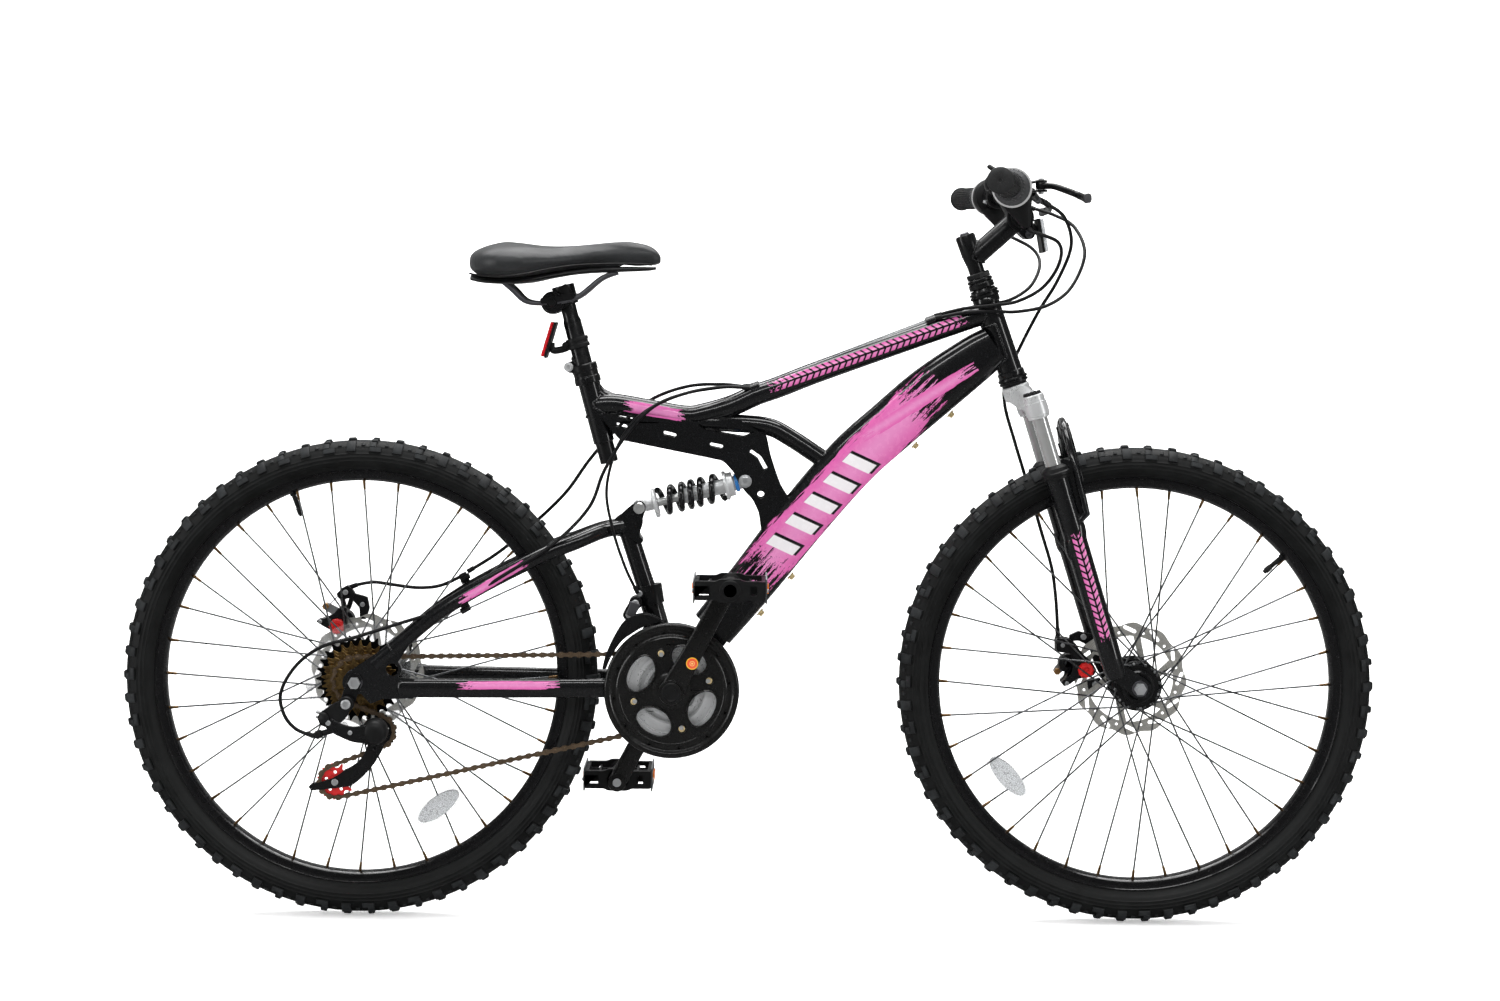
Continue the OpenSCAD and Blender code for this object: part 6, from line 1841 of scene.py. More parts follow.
def chainset():
    phase = PATH.roller_angle(0)
    centre = (CRANK[0], CRANK[2])
    for i, (n, y) in enumerate(zip(RINGS, RING_Y)):
        shape = Shape()
        bore = (30.5, 46.0, 60.0)[i]
        shape.prism(tooth_outline(CRANK, n, phase), y - 0.95, y + 0.95, [circle(centre, bore, 56)])
        if i == 2:
            for k in range(24):
                shape.pin(polar(CRANK, 70, 15 * k + 5), y - 1.6, y - 0.8, 1.7, 0.3, 10)
        shape.piece(f"chainring_{n}", "crankset", BLACK if i == 2 else ALLOY,
                    *(["chainrings"] if i == 0 else []),
                    bevel=0.3, segments=1)
    carrier = Shape()
    carrier.turn([CRANK[0], 0, CRANK[2]], (0, 1, 0), [(-57.2, 66), (-57.2, 60.5), (-55.4, 58.5), (-51, 58),
                                                      (-51, 66)],
                 72, loop=True)
    carrier.turn([CRANK[0], 0, CRANK[2]], (0, 1, 0), [(-52.4, 52), (-52.4, 46.5), (-50.4, 44), (-46, 44),
                                                      (-46, 52)],
                 72, loop=True)
    carrier.turn([CRANK[0], 0, CRANK[2]], (0, 1, 0), [(-50, 39), (-50, 34), (-46, 31), (-45, 33), (-45, 39)],
                 56, loop=True)
    carrier.piece("ring_carrier", "crankset", ALLOY, smooth=35)

    spider = Shape()
    windows = []
    for b in BOLTS:
        a = b + 45
        mid = polar(CRANK, 47.5, a)
        t = np.array([-math.sin(math.radians(a)), 0, math.cos(math.radians(a))])
        n = np.array([math.cos(math.radians(a)), 0, math.sin(math.radians(a))])
        ring = []
        for q in np.linspace(0, 2 * math.pi, 40, endpoint=False):
            swell = 1 + 0.10 * math.sin(q)
            ring.append(mid + t * 26.5 * math.cos(q) * swell + n * 18.5 * math.sin(q))
        windows.append([(p[0], p[2]) for p in ring])
        lip = [p + np.array([0, -63.2 - mid[1], 0]) for p in ring]
        spider.sweep(lip, 1.9, 1.5, (0, 1, 0), 10, loop=True)
    spider.prism(circle(centre, 72.0, 72), -63.0, -57.4, windows)
    for b in BOLTS:
        spider.pin(polar(CRANK, 53.5, b), -64.2, -57.2, 6.6, 1.2, 24)
    spider.turn([CRANK[0], 0, CRANK[2]], (0, 1, 0), [(-57.2, 12), (-57.2, 26), (-63, 26), (-66.5, 19),
                                                     (-66.5, 12)], 48,
                loop=True)
    spider.piece("crank_spider", "crankset", GUARD, smooth=35, bevel=0.5)

    bolts = Shape()
    for b in BOLTS:
        bolts.bolt(polar(CRANK, 53.5, b, -64.1), (0, -1, 0), 4.3, 2.2)
    bolts.piece("chainring_bolts", "crankset", BRASS)
    finish_node("crank_spindle", STEEL)

    guard = Shape()
    guard.turn([CRANK[0], 0, CRANK[2]], (0, 1, 0),
               [(-58.2, 70.5), (-61.0, 70.2), (-63.2, 71.6), (-63.6, 73.2), (-62.2, 74.8), (-60.8, 77),
                (-60.3, 80.5),
                (-60.9, 83), (-62.6, 84.8), (-63.6, 87), (-63.5, 89.6), (-62.4, 91.8), (-60.2, 92.9),
                (-55, 93),
                (-54.2, 92.4), (-54.6, 91.2), (-58, 90.2), (-58.4, 84)], 120, loop=True)
    for k in range(12):
        p = polar(CRANK, 79.5, 30 * k + 8)
        guard.pin(p, -61.6, -58, 2.3, 0.5, 12)
        guard.block([p[0], -60.6, p[2]], (2.4, 2.0, 8.5), ux=unit(p * [1, 0, 1] - CRANK * [1, 0, 1]))
    guard.piece("chain_guard_ring", "crankset", GUARD, "chain_guard", smooth=50)


def crank_arms():
    shape = Shape()
    for name, side in (("right", -1), ("left", 1)):
        end = PEDALS[name]
        a, b = np.array([CRANK[0], 73.0 * side, CRANK[2]]), np.array([end[0], 73.0 * side, end[2]])
        path = [mix(a, b, t) + np.array([0, side * 2.2 * math.sin(math.pi * t), 0])
                for t in np.linspace(0, 1, 15)]
        width = [16.8, 16.6, 16, 15.2, 14.5, 14, 13.7, 13.5, 13.3, 13.1, 13, 13, 13, 13, 13]
        shape.sweep(path, 6.2, width, (0, 1, 0), 32, power=0.42)
        shape.pin(CRANK, *sorted((57.2 * side, 80.2 * side)), 17.2, 1.6, 48)
        shape.pin(end, *sorted((66.5 * side, 79.4 * side)), 13.1, 1.4, 40)
    shape.piece("crank_arm_pair", "crankset", GUARD, "crank_arms", smooth=38)
    caps = Shape()
    for side in (-1, 1):
        base = [CRANK[0], 79.6 * side, CRANK[2]]
        caps.turn(base, (0, side, 0), [(0, 13.4), (1.8, 13.4), (2.8, 12.4), (2.9, 11), (2.2, 10.4), (2.5, 5),
                                       (2.5, 0.01)], 48)
        for k in range(2):
            caps.pin(polar(CRANK, 6.4, 35 + 180 * k), *sorted((80.5 * side, 83.2 * side)), 1.1, 0.3, 10)
    caps.piece("dust_caps", "crankset", BLACK_PLASTIC, smooth=40)
    sticker = Shape()
    c = np.array([-76.7, 0, 363.9])
    sticker.pin(c, -82.3, -81.0, 8.3, 0.2, 48)
    sticker.piece("round_sticker", "crankset", sticker_finish(c), smooth=30)
    finish_node("pedal_axles", STEEL)


def cage_plate(shape, x, c, flip):
    """Toothed steel plate on one end of a pedal."""
    top = []
    for k in range(8):
        y = 91 + 11.2 * k
        top += [(y, 10.0), (y + 1.2, 15.6), (y + 3.0, 17.2), (y + 4.8, 15.6), (y + 6, 10.0)]
    outline = top + [(p[0], -p[1]) for p in top[::-1]]
    holes = [rounded([(y, -5.5), (y + 17, -5.5), (y + 17, 5.5), (y, 5.5)], 3) for y in (97, 152)]
    plate = Shape().prism(outline, x - 1.1, x + 1.1, holes)
    verts = np.concatenate(plate.verts)
    shape.add([[c[0] + v[1], flip * v[0], c[2] + v[2]] for v in verts], plate.faces)


def pedals():
    for name, flip in (("right", -1), ("left", 1)):
        c = PEDALS[name]
        c = np.array([c[0], 0.0, c[2]])
        core = Shape()
        core.turn(c, (0, flip, 0), [(88, 9), (88, 15.5), (97, 15.5), (99, 12), (112, 11.2), (126, 13.4),
                                    (140, 13.4),
                                    (154, 11.2), (166, 12), (168, 15.5), (176, 15.5), (178, 13.5),
                                    (178.4, 9), (177, 8.6),
                                    (177, 0.01)], 36)
        for y in (92.5, 172.5):
            core.prism(rounded([(c[0] - 47, c[2] - 12.5), (c[0] - 20, c[2] - 12.5), (c[0] - 13, c[2] - 15.5),
                                (c[0] + 13, c[2] - 15.5), (c[0] + 20, c[2] - 12.5), (c[0] + 47, c[2] - 12.5),
                                (c[0] + 47, c[2] + 12.5), (c[0] + 20, c[2] + 12.5), (c[0] + 13, c[2] + 15.5),
                                (c[0] - 13, c[2] + 15.5), (c[0] - 20, c[2] + 12.5),
                                (c[0] - 47, c[2] + 12.5)], 2.5),
                       *sorted((flip * (y - 4.5), flip * (y + 4.5))),
                       [rounded([(c[0] + s * 38 - 11, c[2] - 6.5),
                                 (c[0] + s * 38 + 5 * (1 - s) - 2 + (0 if s > 0 else 3), c[2] - 6.5),
                                 (c[0] + s * 38 + 5 * (1 - s) - 2 + (0 if s > 0 else 3), c[2] + 6.5),
                                 (c[0] + s * 38 - 11, c[2] + 6.5)], 1.5)
                        for s in (-1, 1)])
        for x in (-44.5, 44.5):
            core.block([c[0] + x, flip * 132.5, c[2]], (5, 80, 24))
        for y in (118, 132.5, 147):
            core.block([c[0], flip * y, c[2]], (86, 3.2, 15))
        for s in (-1, 1):
            core.block([c[0] + s * 27, flip * 132.5, c[2]], (3.0, 76, 17))
        core.piece(f"{name}_pedal_core", f"{name}_pedal", BLACK_PLASTIC, f"{name}_pedal", bevel=0.7,
                   smooth=35)
        cage = Shape()
        for x in (-48.3, 48.3):
            cage_plate(cage, x, c, flip)
        cage.piece(f"{name}_pedal_cage", f"{name}_pedal", PEDAL_STEEL, bevel=0.3, segments=1)
        lens = Shape()
        for x in (-50.2, 50.2):
            lens.block([c[0] + x, flip * 132.5, c[2]], (2.4, 30, 13))
        lens.piece(f"{name}_pedal_reflectors", f"{name}_pedal", ORANGE, bevel=0.6)
        screws = Shape()
        for x in (-49.6, 49.6):
            for y in (94, 171):
                screws.bolt([c[0] + x, flip * y, c[2]], (x, 0, 0), 2.6, 1.6)
        screws.piece(f"{name}_pedal_screws", f"{name}_pedal", STEEL)


# ---------------------------------------------------------------- derailleurs

def bent_plate(points, radii, y0, y1, shape):
    """Plate whose outline follows a curved path with changing width."""
    path = curve([(p[0], 0, p[1]) for p in points], 6)
    width = np.interp(np.linspace(0, 1, len(path)), np.linspace(0, 1, len(radii)), radii)
    left, right = [], []
    for i, p in enumerate(path):
        t = unit(path[min(i + 1, len(path) - 1)] - path[max(i - 1, 0)])
        n = np.array([-t[2], 0, t[0]])
        left.append(p + n * width[i])
        right.append(p - n * width[i])
    outline = [(p[0], p[2]) for p in left] + [(p[0], p[2]) for p in right[::-1]]
    shape.prism(outline, y0, y1)


def rear_derailleur():
    hanger = Shape()
    hanger.prism(strap((-547.5, 304.5), (REAR[0], REAR[2] + 3), 10, 12), -75.0, -73.1,
                 [circle((REAR[0], REAR[2]), 5.2, 24)])
    hanger.piece("derailleur_hanger", "swingarm", BLACK, "rear_derailleur", bevel=0.4)
    knuckle = Shape()
    knuckle.pin((-547.5, 304.5), -88.5, -75.2, 10.5, 1.2, 36)
    knuckle.prism(rounded([(-558, 309), (-539, 303), (-548, 284), (-566, 270), (-584, 276), (-586, 290),
                           (-572, 300)], 6),
                  -87.5, -77.5)
    knuckle.pin((-578, 286), -92, -79, 7.2, 1.0, 30)
    knuckle.piece("derailleur_knuckle", "swingarm", BLACK_PLASTIC, bevel=1.2, smooth=35)
    link = Shape()
    bent_plate([(-571, 279), (-556, 270), (-538, 265), (-519, 266)], (7.5, 8.6, 9.4, 10.5), -89.0, -85.6,
               link)
    bent_plate([(-571, 277), (-556, 266), (-538, 259), (-519, 258)], (5.5, 6.6, 7.4, 8.5), -79.0, -75.6, link)
    link.piece("derailleur_links", "swingarm", BLACK, bevel=1.0, smooth=35)
    dome = Shape()
    dome.turn([-509.6, -62.0, 266.0], (0, -1, 0), [(0, 8), (0, 17), (9, 18.2), (19, 17.8), (24, 15.5),
                                                   (27, 11.5), (28.4, 6),
                                               (28.8, 0.01)], 48)
    dome.piece("derailleur_dome", "swingarm", BLACK_PLASTIC, smooth=50)
    bits = Shape()
    bits.bolt([-547.5, -88.4, 304.5], (0, -1, 0), 6.6, 3.0)
    bits.bolt([-571, -89.0, 279], (0, -1, 0), 3.4, 2.0)
    bits.bolt([-541, -89.0, 266], (0, -1, 0), 3.0, 1.8)
    for z in (293.0, 286.5):
        bits.rod([-589, -83, z], [-583, -83, z - 1], 2.0, 0.4, 14)
    bits.piece("derailleur_bolts", "swingarm", STEEL)
    barrel = Shape()
    barrel.rod([-566, -83, 268], [-580, -83, 263.8], 4.2, 0.8, 24)
    barrel.turn([-580, -83, 263.8], (-0.957, 0, -0.29), [(0, 3.5), (0.5, 5.8), (8.5, 5.8), (9.5, 4.4),
                                                         (13, 3.6), (13, 0.01)], 12)
    barrel.piece("barrel_adjuster", "swingarm", BLACK_PLASTIC, smooth=25)

    cage = Shape()
    line = [(UPPER[0] + 1, UPPER[2]), (-511, 243), (-521.5, 222), (-541, 203), (LOWER[0], LOWER[2] - 1),
            (-599.8, 185)]
    for y0, y1 in ((-58.6, -56.6), (-47.4, -45.4)):
        bent_plate(line, (16.5, 11, 9.2, 9.6, 11.5, 6.5, 3.8), y0, y1, cage)
    cage.pin((UPPER[0], UPPER[2]), -61.8, -56, 15.5, 1.2, 36)
    cage.pin((-599, 186), -58.5, -45.5, 2.6, 0.4, 14)
    cage.pin((-511.5, 238.5), -62.5, -44.5, 2.6, 0.4, 14)
    cage.piece("derailleur_cage_plates", "derailleur_cage", BLACK, "derailleur_cage", bevel=0.5, smooth=35)
    screws = Shape()
    screws.pin(UPPER, -61.8, -44.8, 3.9, 0.4, 20)
    screws.pin(LOWER, -58, -44.5, 3.9, 0.4, 20)
    screws.bolt([LOWER[0], -58.4, LOWER[2]], (0, -1, 0), 4.6, 2.4)
    screws.piece("pulley_screws", "derailleur_cage", STEEL)
    for name, c, j, material in (("upper", UPPER, 2, BLACK_PLASTIC), ("lower", LOWER, 3, RED_PLASTIC)):
        holes = [circle((c[0], c[2]), 4.05, 20)]
        holes += [circle(xyz_pair(polar(c, 12.9, 72 * k + 20)), 2.2, 12) for k in range(5)]
        wheel = Shape().prism(tooth_outline(c, 11, PATH.roller_angle(j), 3.4), CHAIN_Y - 1.1, CHAIN_Y + 1.1,
                              holes)
        wheel.tube([c[0], CHAIN_Y - 3.4, c[2]], [c[0], CHAIN_Y + 3.4, c[2]], 7.4, 4.06, 0.5, 28)
        wheel.piece(f"{name}_jockey_wheel", f"{name}_pulley", material, f"{name}_pulley", bevel=0.35,
                    segments=1)


def front_derailleur():
    finish_node("front_derailleur", BLACK, 0.8)
    bits = Shape()
    bits.bolt([-152, -22, 452], (0, -1, 0), 4.2, 3.0)
    bits.bolt([-157, -36, 440], (0, -1, 0), 5.0, 2.6)
    bits.nut([-166, -36.4, 424], (0, -1, 0), 4.6, 3.0, 2.0)
    bits.piece("front_derailleur_bolts", "swingarm", STEEL)
    link = Shape()
    bent_plate([(-157, 441), (-160, 432), (-165, 423)], (7.5, 6.5, 6.0), -40.0, -36.4, link)
    link.piece("front_derailleur_link", "swingarm", DARK_STEEL, bevel=0.8)
    cage = Shape()
    upper = curve([(-115, 0, 414), (-130, 0, 424), (-150, 0, 427), (-170, 0, 418), (-184, 0, 398),
                   (-196, 0, 372),
                   (-201, 0, 352)], 5)
    lower = curve([(-192, 0, 351), (-186, 0, 372), (-174, 0, 390), (-158, 0, 401), (-140, 0, 404),
                   (-120, 0, 402)], 5)
    clear = 94.6
    inner = [xyz_pair(CRANK + unit((p - CRANK) * [1, 0, 1]) * clear)
             if math.dist(xyz_pair(p), xyz_pair(CRANK)) < clear
             else xyz_pair(p) for p in lower]
    outline = [xyz_pair(p) for p in upper] + inner
    for y0, y1 in ((-53, -51.5), (-38.5, -37)):
        cage.prism(outline, y0, y1)
    for x, z, size, u in ((-158, 422, 9, (1, 0, 0.35)), (-198.2, 351.5, 4.6, (1, 0, 0))):
        cage.block([x, -45, z], (size, 15.5, 1.6), ux=u)
    cage.piece("front_derailleur_plates", "front_derailleur_cage", BLACK, "front_derailleur_cage", bevel=0.4,
               smooth=35)


# ---------------------------------------------------------------- shock

def shock():
    d = SHOCK_DIR
    body = Shape()
    f = SHOCK_F
    body.tube([f[0], -11.4, f[2]], [f[0], 11.4, f[2]], 10.6, 5.1, 0.8, 40)
    body.rod(on_shock(SHOCK_L - 8), on_shock(SHOCK_L - 16), 9.2, 0.8, 40)
    body.turn(on_shock(62), d, [(0, 6.2), (0, 10.1), (1.2, 10.6), (60, 10.6)] +
              [(60 + 0.8 * k, 10.6 if k % 2 else 9.9) for k in range(30)] + [(84, 6.2)], 48, loop=True)
    body.piece("shock_cylinder", "shock_body", ALLOY, "shock_body", smooth=35)
    band = Shape()
    band.turn(on_shock(137), d, [(0, 10.8), (0.4, 12.6), (5.0, 12.6), (5.4, 10.8)], 48)
    band.piece("shock_band", "shock_body", BLUE, smooth=35)
    collar = Shape()
    collar.turn(on_shock(122), d, [(0, 10.7), (0, 19.8), (0.8, 20.6), (3.4, 20.6), (4.2, 19.6), (5.5, 17.2),
                                   (8, 16.8)] +
                [(12.5, 16.8), (13.2, 15.6), (13.2, 10.7)], 24, loop=True)
    collar.piece("preload_collar", "shock_body", ALLOY, smooth=20)
    shaft = Shape()
    r = SHOCK_R
    shaft.tube([r[0], -9.7, r[2]], [r[0], 9.7, r[2]], 10.4, 5.05, 0.8, 40)
    shaft.rod(on_shock(8), on_shock(21), 8.4, 1.0, 40)
    shaft.turn(on_shock(20), d, [(0, 8), (0, 19), (1.2, 20.6), (4.6, 20.6), (5.8, 19), (5.8, 8)], 56,
               loop=True)
    shaft.piece("shock_eye_and_seat", "shock_shaft", ALLOY, "shock_shaft", smooth=35)
    rod = Shape()
    rod.rod(on_shock(22), on_shock(94), 5.9, 0.6, 32)
    rod.pin((SHOCK_R[0], SHOCK_R[2]), -19, 19, 5.0, 0.4, 28)
    for side in (-1, 1):
        rod.bolt([r[0], side * 15.3, r[2]], (0, side, 0), 8, 4.6)
    rod.piece("shock_rod_and_bolt", "shock_shaft", CHROME, smooth=35)
    u, v = np.array([-d[2], 0, d[0]]), np.array([0, 1.0, 0])
    turns, n = 5.5, 160
    path = []
    for k in range(n + 1):
        t = k / n
        s = 29.2 + (118.6 - 29.2) * (t + 0.035 * math.sin(2 * math.pi * t))
        a = 2 * math.pi * turns * t
        path.append(on_shock(s) + (u * math.cos(a) + v * math.sin(a)) * 17.0)
    spring = Shape().sweep(path, 4.1, 4.1, d, 14)
    obj = spring.piece("coil_spring", None, SPRING, "shock_spring", smooth=60)
    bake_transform(obj)


# ---------------------------------------------------------------- brakes

def caliper(name, pivot, y, shape_xz, bridge, knob_at, body, node, arm, arm_node, arm_end, plates, screws,
            stop):
    """Cable disc brake: two halves joined over the disc, a red pad knob, a pivot boss and a lever arm."""
    half = rounded(shape_xz, 2.5)
    shape = Shape()
    shape.prism(half, y - 15, y - 2.6)
    shape.prism(half, y + 2.6, y + 14.5)
    shape.prism(rounded(bridge, 2), y - 13, y + 13)
    shape.turn([pivot[0], y + 3, pivot[1]], (0, 1, 0), [(0, 5.2), (0, 13), (13, 14), (14, 13), (19.5, 12.5),
                                                        (20.6, 11.5),
                                                       (20.6, 5.2)], 40, loop=True)
    shape.piece(f"{name}_body", body, BLACK, node, bevel=1.1, smooth=35)
    mounts = Shape()
    for outline, y0, y1 in plates:
        mounts.prism(rounded(outline, 2), y0, y1)
    mounts.piece(f"{name}_bracket", body, BLACK, bevel=0.8, smooth=35)
    bits = Shape()
    for x, z, depth, r in screws:
        bits.bolt([x, depth, z], (0, -1, 0), r, 2.6)
    bits.piece(f"{name}_bolts", body, STEEL)
    knob = Shape()
    rim = [(0, 9.8), (1.0, 10.8), (4.0, 10.4), (5.4, 9.2), (5.0, 5.4), (3.6, 4.6), (3.6, 0.01)]
    knob.turn([knob_at[0], y - 14.9, knob_at[1]], (0, -1, 0), rim, 40)
    for k in range(12):
        knob.pin(polar(xyz(knob_at), 10.2, 30 * k), y - 19.2, y - 15.2, 1.2, 0.3, 8)
    knob.block([knob_at[0], y - 19.4, knob_at[1]], (9.0, 2.4, 2.2), ux=(0.8, 0, 0.6))
    knob.piece(f"{name}_knob", body, RED_PLASTIC, smooth=40)

    lever = Shape()
    lever.pin(pivot, y + 15.3, y + 24.4, 4.95, 0.5, 24)
    bent_plate([pivot, mix(pivot, arm_end, 0.5), arm_end], (8.5, 6.6, 5.6), y + 24.0, y + 27.6, lever)
    lever.pin(pivot, y + 23.9, y + 29.4, 8.4, 0.9, 28)
    lever.pin(arm_end, y + 20, y + 30.5, 4.2, 0.6, 20)
    lever.piece(f"{name}_lever", arm, STEEL, arm_node, bevel=0.5, smooth=35)
    pinch = Shape()
    pinch.bolt([arm_end[0], y + 30.3, arm_end[1]], (0, 1, 0), 4.4, 2.8)
    pinch.nut([arm_end[0], y + 20.2, arm_end[1]], (0, -1, 0), 5.0, 4.0, 2.2)
    pinch.piece(f"{name}_pinch", arm, COPPER)
    ferrule = Shape()
    ferrule.turn(stop[0], np.array(stop[1]) - np.array(stop[0]),
                 [(0, 3.2), (0.6, 4.8), (9, 4.8), (10, 3.8), (15, 3.4),
                                                                  (15, 0.01)], 12)
    ferrule.piece(f"{name}_cable_stop", body, BLACK, smooth=25)


def calipers():
    front = [(432.5, 389.7), (432.5, 370.8), (454.6, 368.1), (457.9, 359.5), (453.5, 340.1), (439.5, 328.2),
             (442.7, 322.2),
             (450.3, 324.4), (461.1, 332.5), (471.9, 334.7), (484.9, 337.9), (489.2, 345.5), (482.7, 356.3),
             (474.1, 363.8),
             (463.3, 375.7), (458.9, 383.3), (450.3, 388.7)]
    front_bridge = [(432.5, 388.7), (432.5, 371.8), (454.6, 368.1), (455.5, 341), (444, 330), (437, 350),
                    (437, 372),
                    (450.3, 387.7), (458.9, 382.3), (463.0, 374.0)]
    tab = [(452.5, 391.9), (452.5, 383), (465.4, 384.4), (476.2, 378.9), (500, 377.9), (497.8, 394.1),
           (476.2, 395.1),
           (465.4, 397.8)]
    post = [(482.7, 369.2), (504.3, 377.9), (516.2, 341.1), (510.8, 321.7), (498.9, 332.5), (491.3, 345.5)]
    foot = [(476.2, 327.1), (496.7, 332.5), (501.6, 319.5), (488.1, 313.1), (474.1, 316.3)]
    front_bridge = [front_bridge[i] for i in (0, 1, 2, 3, 4)] + [(459.0, 356.0)] + [front_bridge[i]
        for i in (9, 8, 7)]
    caliper("front_caliper", (451.0, 352.0), 41.0, front, front_bridge, (473.5, 345.5), "fork_lower",
            "front_caliper",
            "front_caliper_arm", "front_caliper_arm", (437.5, 338.5),
            [(tab, 43.5, 52.5), (post, 45.0, 54.0), (foot, 43.5, 52.5)],
            [(472, 390, 43.6, 4.2), (489, 323, 43.6, 4.2), (447.5, 326.4, 26.2, 3.0), (441, 380, 26.2, 3.0),
             (500, 352, 45.1, 3.6)], ((437.0, 54.0, 376.0), (437.0, 54.0, 391.0)))
    rear = [(-609.8, 402.7), (-607.1, 399.5), (-592, 390.8), (-573.6, 387.0), (-566.5, 396.4),
            (-566.5, 404.9),
            (-566.2, 413.5), (-566.1, 421.1), (-573.6, 423.3), (-579, 420), (-584.4, 412.8), (-596.3, 406)]
    rear_bridge = [(-609.8, 402.7), (-607.1, 399.5), (-594.5, 393.5), (-579.2, 407.0), (-566.3, 412.5),
                   (-566.1, 421.1),
                   (-573.6, 423.3), (-579, 420), (-584.4, 412.8), (-596.3, 406)]
    head = [(-584.4, 438.4), (-577.9, 444.9), (-569.3, 450.9), (-563.8, 447.6), (-557.9, 439.5),
            (-559.5, 434.1),
            (-571.4, 431.1), (-580.1, 431.5)]
    wing = [(-562.4, 440.6), (-546.5, 436.3), (-540, 434.1), (-537, 419), (-541.5, 402.9), (-550.6, 402.9),
            (-551.6, 419),
            (-560.3, 428.7)]
    stems = [strap((-573.6, 421.3), (-577.0, 435.3), 3.4, 8), strap((-566.9, 419.3), (-561.6, 436.3), 3.4, 8)]
    caliper("rear_caliper", (-572.0, 402.0), 52.0, rear, rear_bridge, (-579.5, 395.1), "swingarm",
            "rear_caliper",
            "rear_caliper_arm", "rear_caliper_arm", (-601.4, 419.0),
            [(head, 55.0, 66.0), (wing, 56.5, 63.0), (stems[0], 57.0, 64.0), (stems[1], 57.0, 64.0)],
            [(-571, 441, 55.1, 3.8), (-547, 424, 56.6, 3.4), (-603.5, 401.5, 37.2, 2.8)],
            ((-577.0, 62.0, 441.0), (-563.8, 62.0, 448.2)))


# ---------------------------------------------------------------- stage

def area(name, place, target, size, power, colour=(1, 1, 1), size_y=None):
    light = bpy.data.lights.new(name, "AREA")
    light.shape = "RECTANGLE"
    light.size, light.size_y = size, size_y or size
    light.energy = power
    light.color = colour
    obj = bpy.data.objects.new(name, light)
    obj.location = place
    obj.rotation_euler = (Vector(target) - Vector(place)).to_track_quat("-Z", "Y").to_euler()
    bpy.context.scene.collection.objects.link(obj)


SKY = 0.44             # strength of the studio's walls as the object sees them
SKY_MIRRORED = 0.08    # the same in reflections, so that gloss black stays black
FLOOR_MIRRORED = (0.12, 0.12, 0.12)
FLOOR_GLOW = 0.4       # lifts the paper to white for the camera only


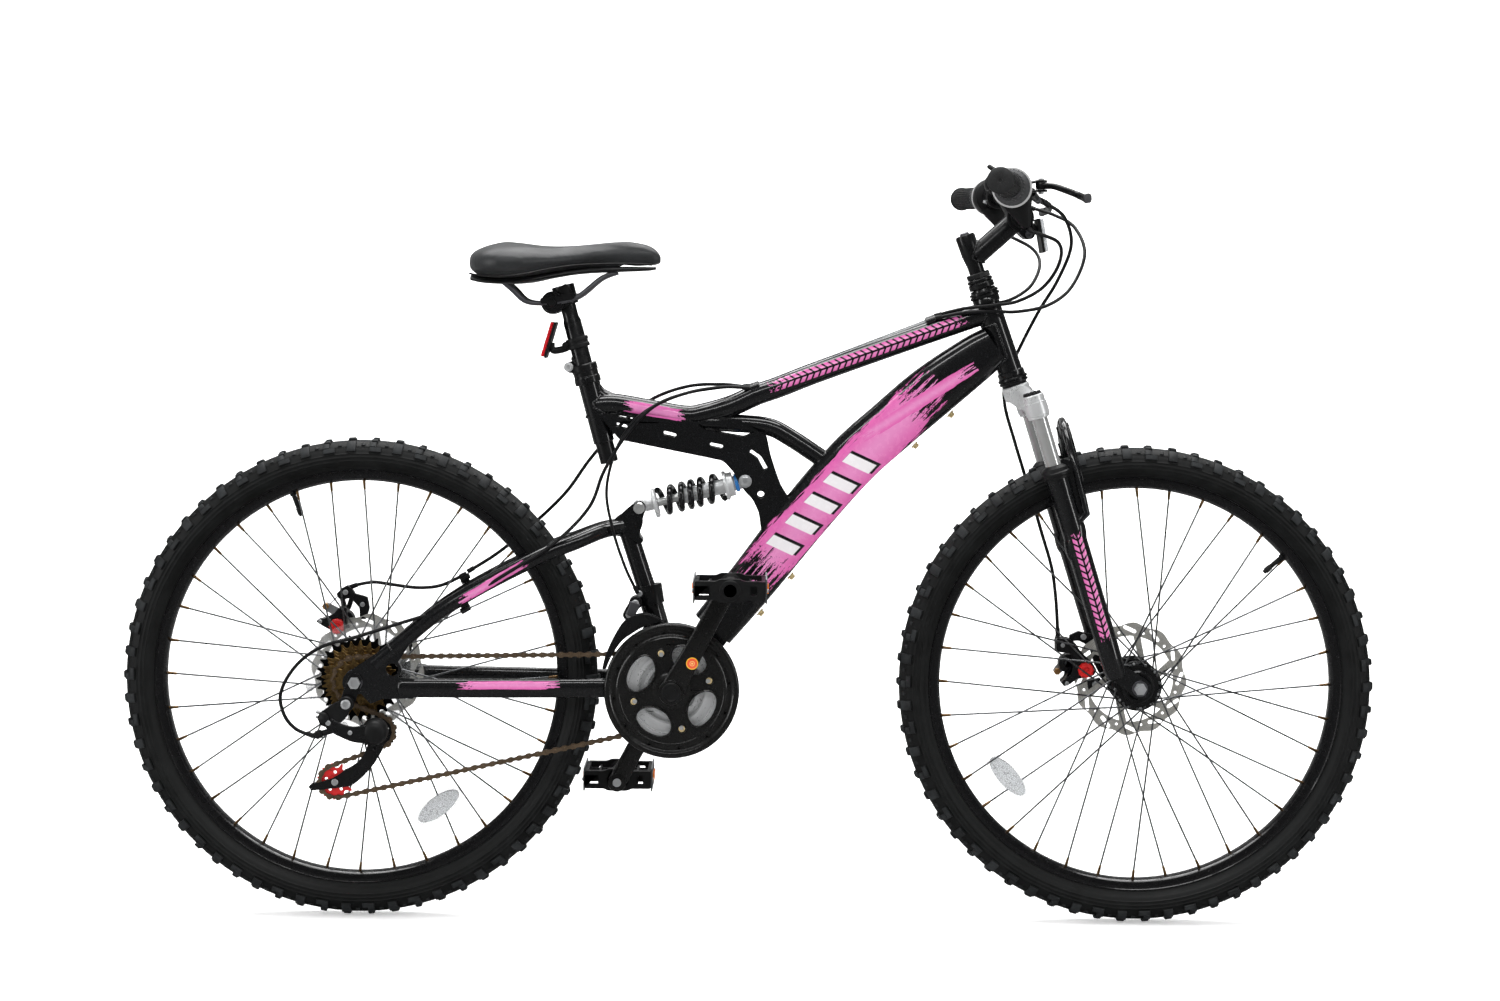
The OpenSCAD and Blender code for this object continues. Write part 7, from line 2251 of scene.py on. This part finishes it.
def stage():
    m = Finish("studio_paper")
    paper = m.blend(m.noise(2.0, 2), (0.9, 0.9, 0.9), (0.94, 0.94, 0.94))
    mirrored_view = m.nodes.new("ShaderNodeLightPath").outputs["Is Glossy Ray"]
    seen = m.nodes.new("ShaderNodeLightPath").outputs["Is Camera Ray"]
    m.set(Base_Color=m.blend(mirrored_view, paper, FLOOR_MIRRORED), Roughness=varied(m, 0.8, 0.9, 4),
          Emission_Color=paper, Emission_Strength=m.math("MULTIPLY", seen, FLOOR_GLOW))
    profile = [(-7.0, 0.0), (2.2, 0.0)] + [(2.2 + 2.0 * math.sin(a), 2.0 - 2.0 * math.cos(a))
                                           for a in np.linspace(0.1, math.pi / 2, 14)] + [(4.2, 7.0)]
    verts = [[x, y, z - 0.0005] for y, z in profile for x in (-9.0, 9.0)]
    faces = [[2 * i, 2 * i + 1, 2 * i + 3, 2 * i + 2] for i in range(len(profile) - 1)]
    mesh = bpy.data.meshes.new("paper_sweep")
    mesh.from_pydata(verts, [], faces)
    mesh.shade_smooth()
    mesh.materials.append(m.mat)
    floor = bpy.data.objects.new("paper_sweep", mesh)
    bpy.context.scene.collection.objects.link(floor)

    world = bpy.data.worlds.new("studio")
    bpy.context.scene.world = world
    world.use_nodes = True
    tree = world.node_tree
    ray = tree.nodes.new("ShaderNodeLightPath")
    strength = tree.nodes.new("ShaderNodeMath")
    strength.operation = "MULTIPLY_ADD"
    strength.inputs[1].default_value = SKY_MIRRORED - SKY
    strength.inputs[2].default_value = SKY
    tree.links.new(ray.outputs["Is Glossy Ray"], strength.inputs[0])
    tree.links.new(strength.outputs[0], tree.nodes["Background"].inputs["Strength"])
    tree.nodes["Background"].inputs["Color"].default_value = (1, 1, 1, 1)
    area("top_softbox", (0.0, -0.5, 3.2), (0.0, 0.0, 0.4), 2.6, 48, size_y=0.9)
    area("front_strip", (0.0, -2.9, 2.5), (0.0, 0.0, 0.5), 3.8, 24, size_y=0.22)
    area("left_tower", (-3.3, -1.5, 1.1), (0.0, 0.0, 0.6), 0.5, 26, size_y=2.4)
    area("right_tower", (3.4, -1.9, 1.1), (0.2, 0.0, 0.6), 0.4, 20, size_y=2.4)
    area("back_wash", (0.0, 1.8, 3.6), (0.0, 4.2, 1.4), 4.0, 150, size_y=1.0)
    area("floor_wash", (0.0, 0.9, 3.0), (0.0, 1.4, 0.0), 4.0, 60, size_y=1.0)


def camera():
    cam = bpy.data.cameras.new("camera")
    cam.sensor_width = 36.0
    cam.lens = 63.7
    cam.shift_x = -0.0014
    cam.shift_y = -0.1335
    cam.clip_end = 50.0
    obj = bpy.data.objects.new("camera", cam)
    obj.location = (0.0, -3.7, 0.86)
    obj.rotation_mode = "XYZ"
    obj.rotation_euler = (math.radians(90.0), math.radians(-0.58), 0.0)
    bpy.context.scene.collection.objects.link(obj)
    bpy.context.scene.camera = obj


wheels()
main_frame()
headset()
seat_collar()
swingarm()
fork_upper()
fork_lowers()
cockpit()
cables()
saddle()
seat_post()
rear_reflector()
chain()
cogs()
chainset()
crank_arms()
pedals()
rear_derailleur()
front_derailleur()
shock()
calipers()
bpy.context.scene.view_settings.view_transform = "Standard"
stage()
camera()
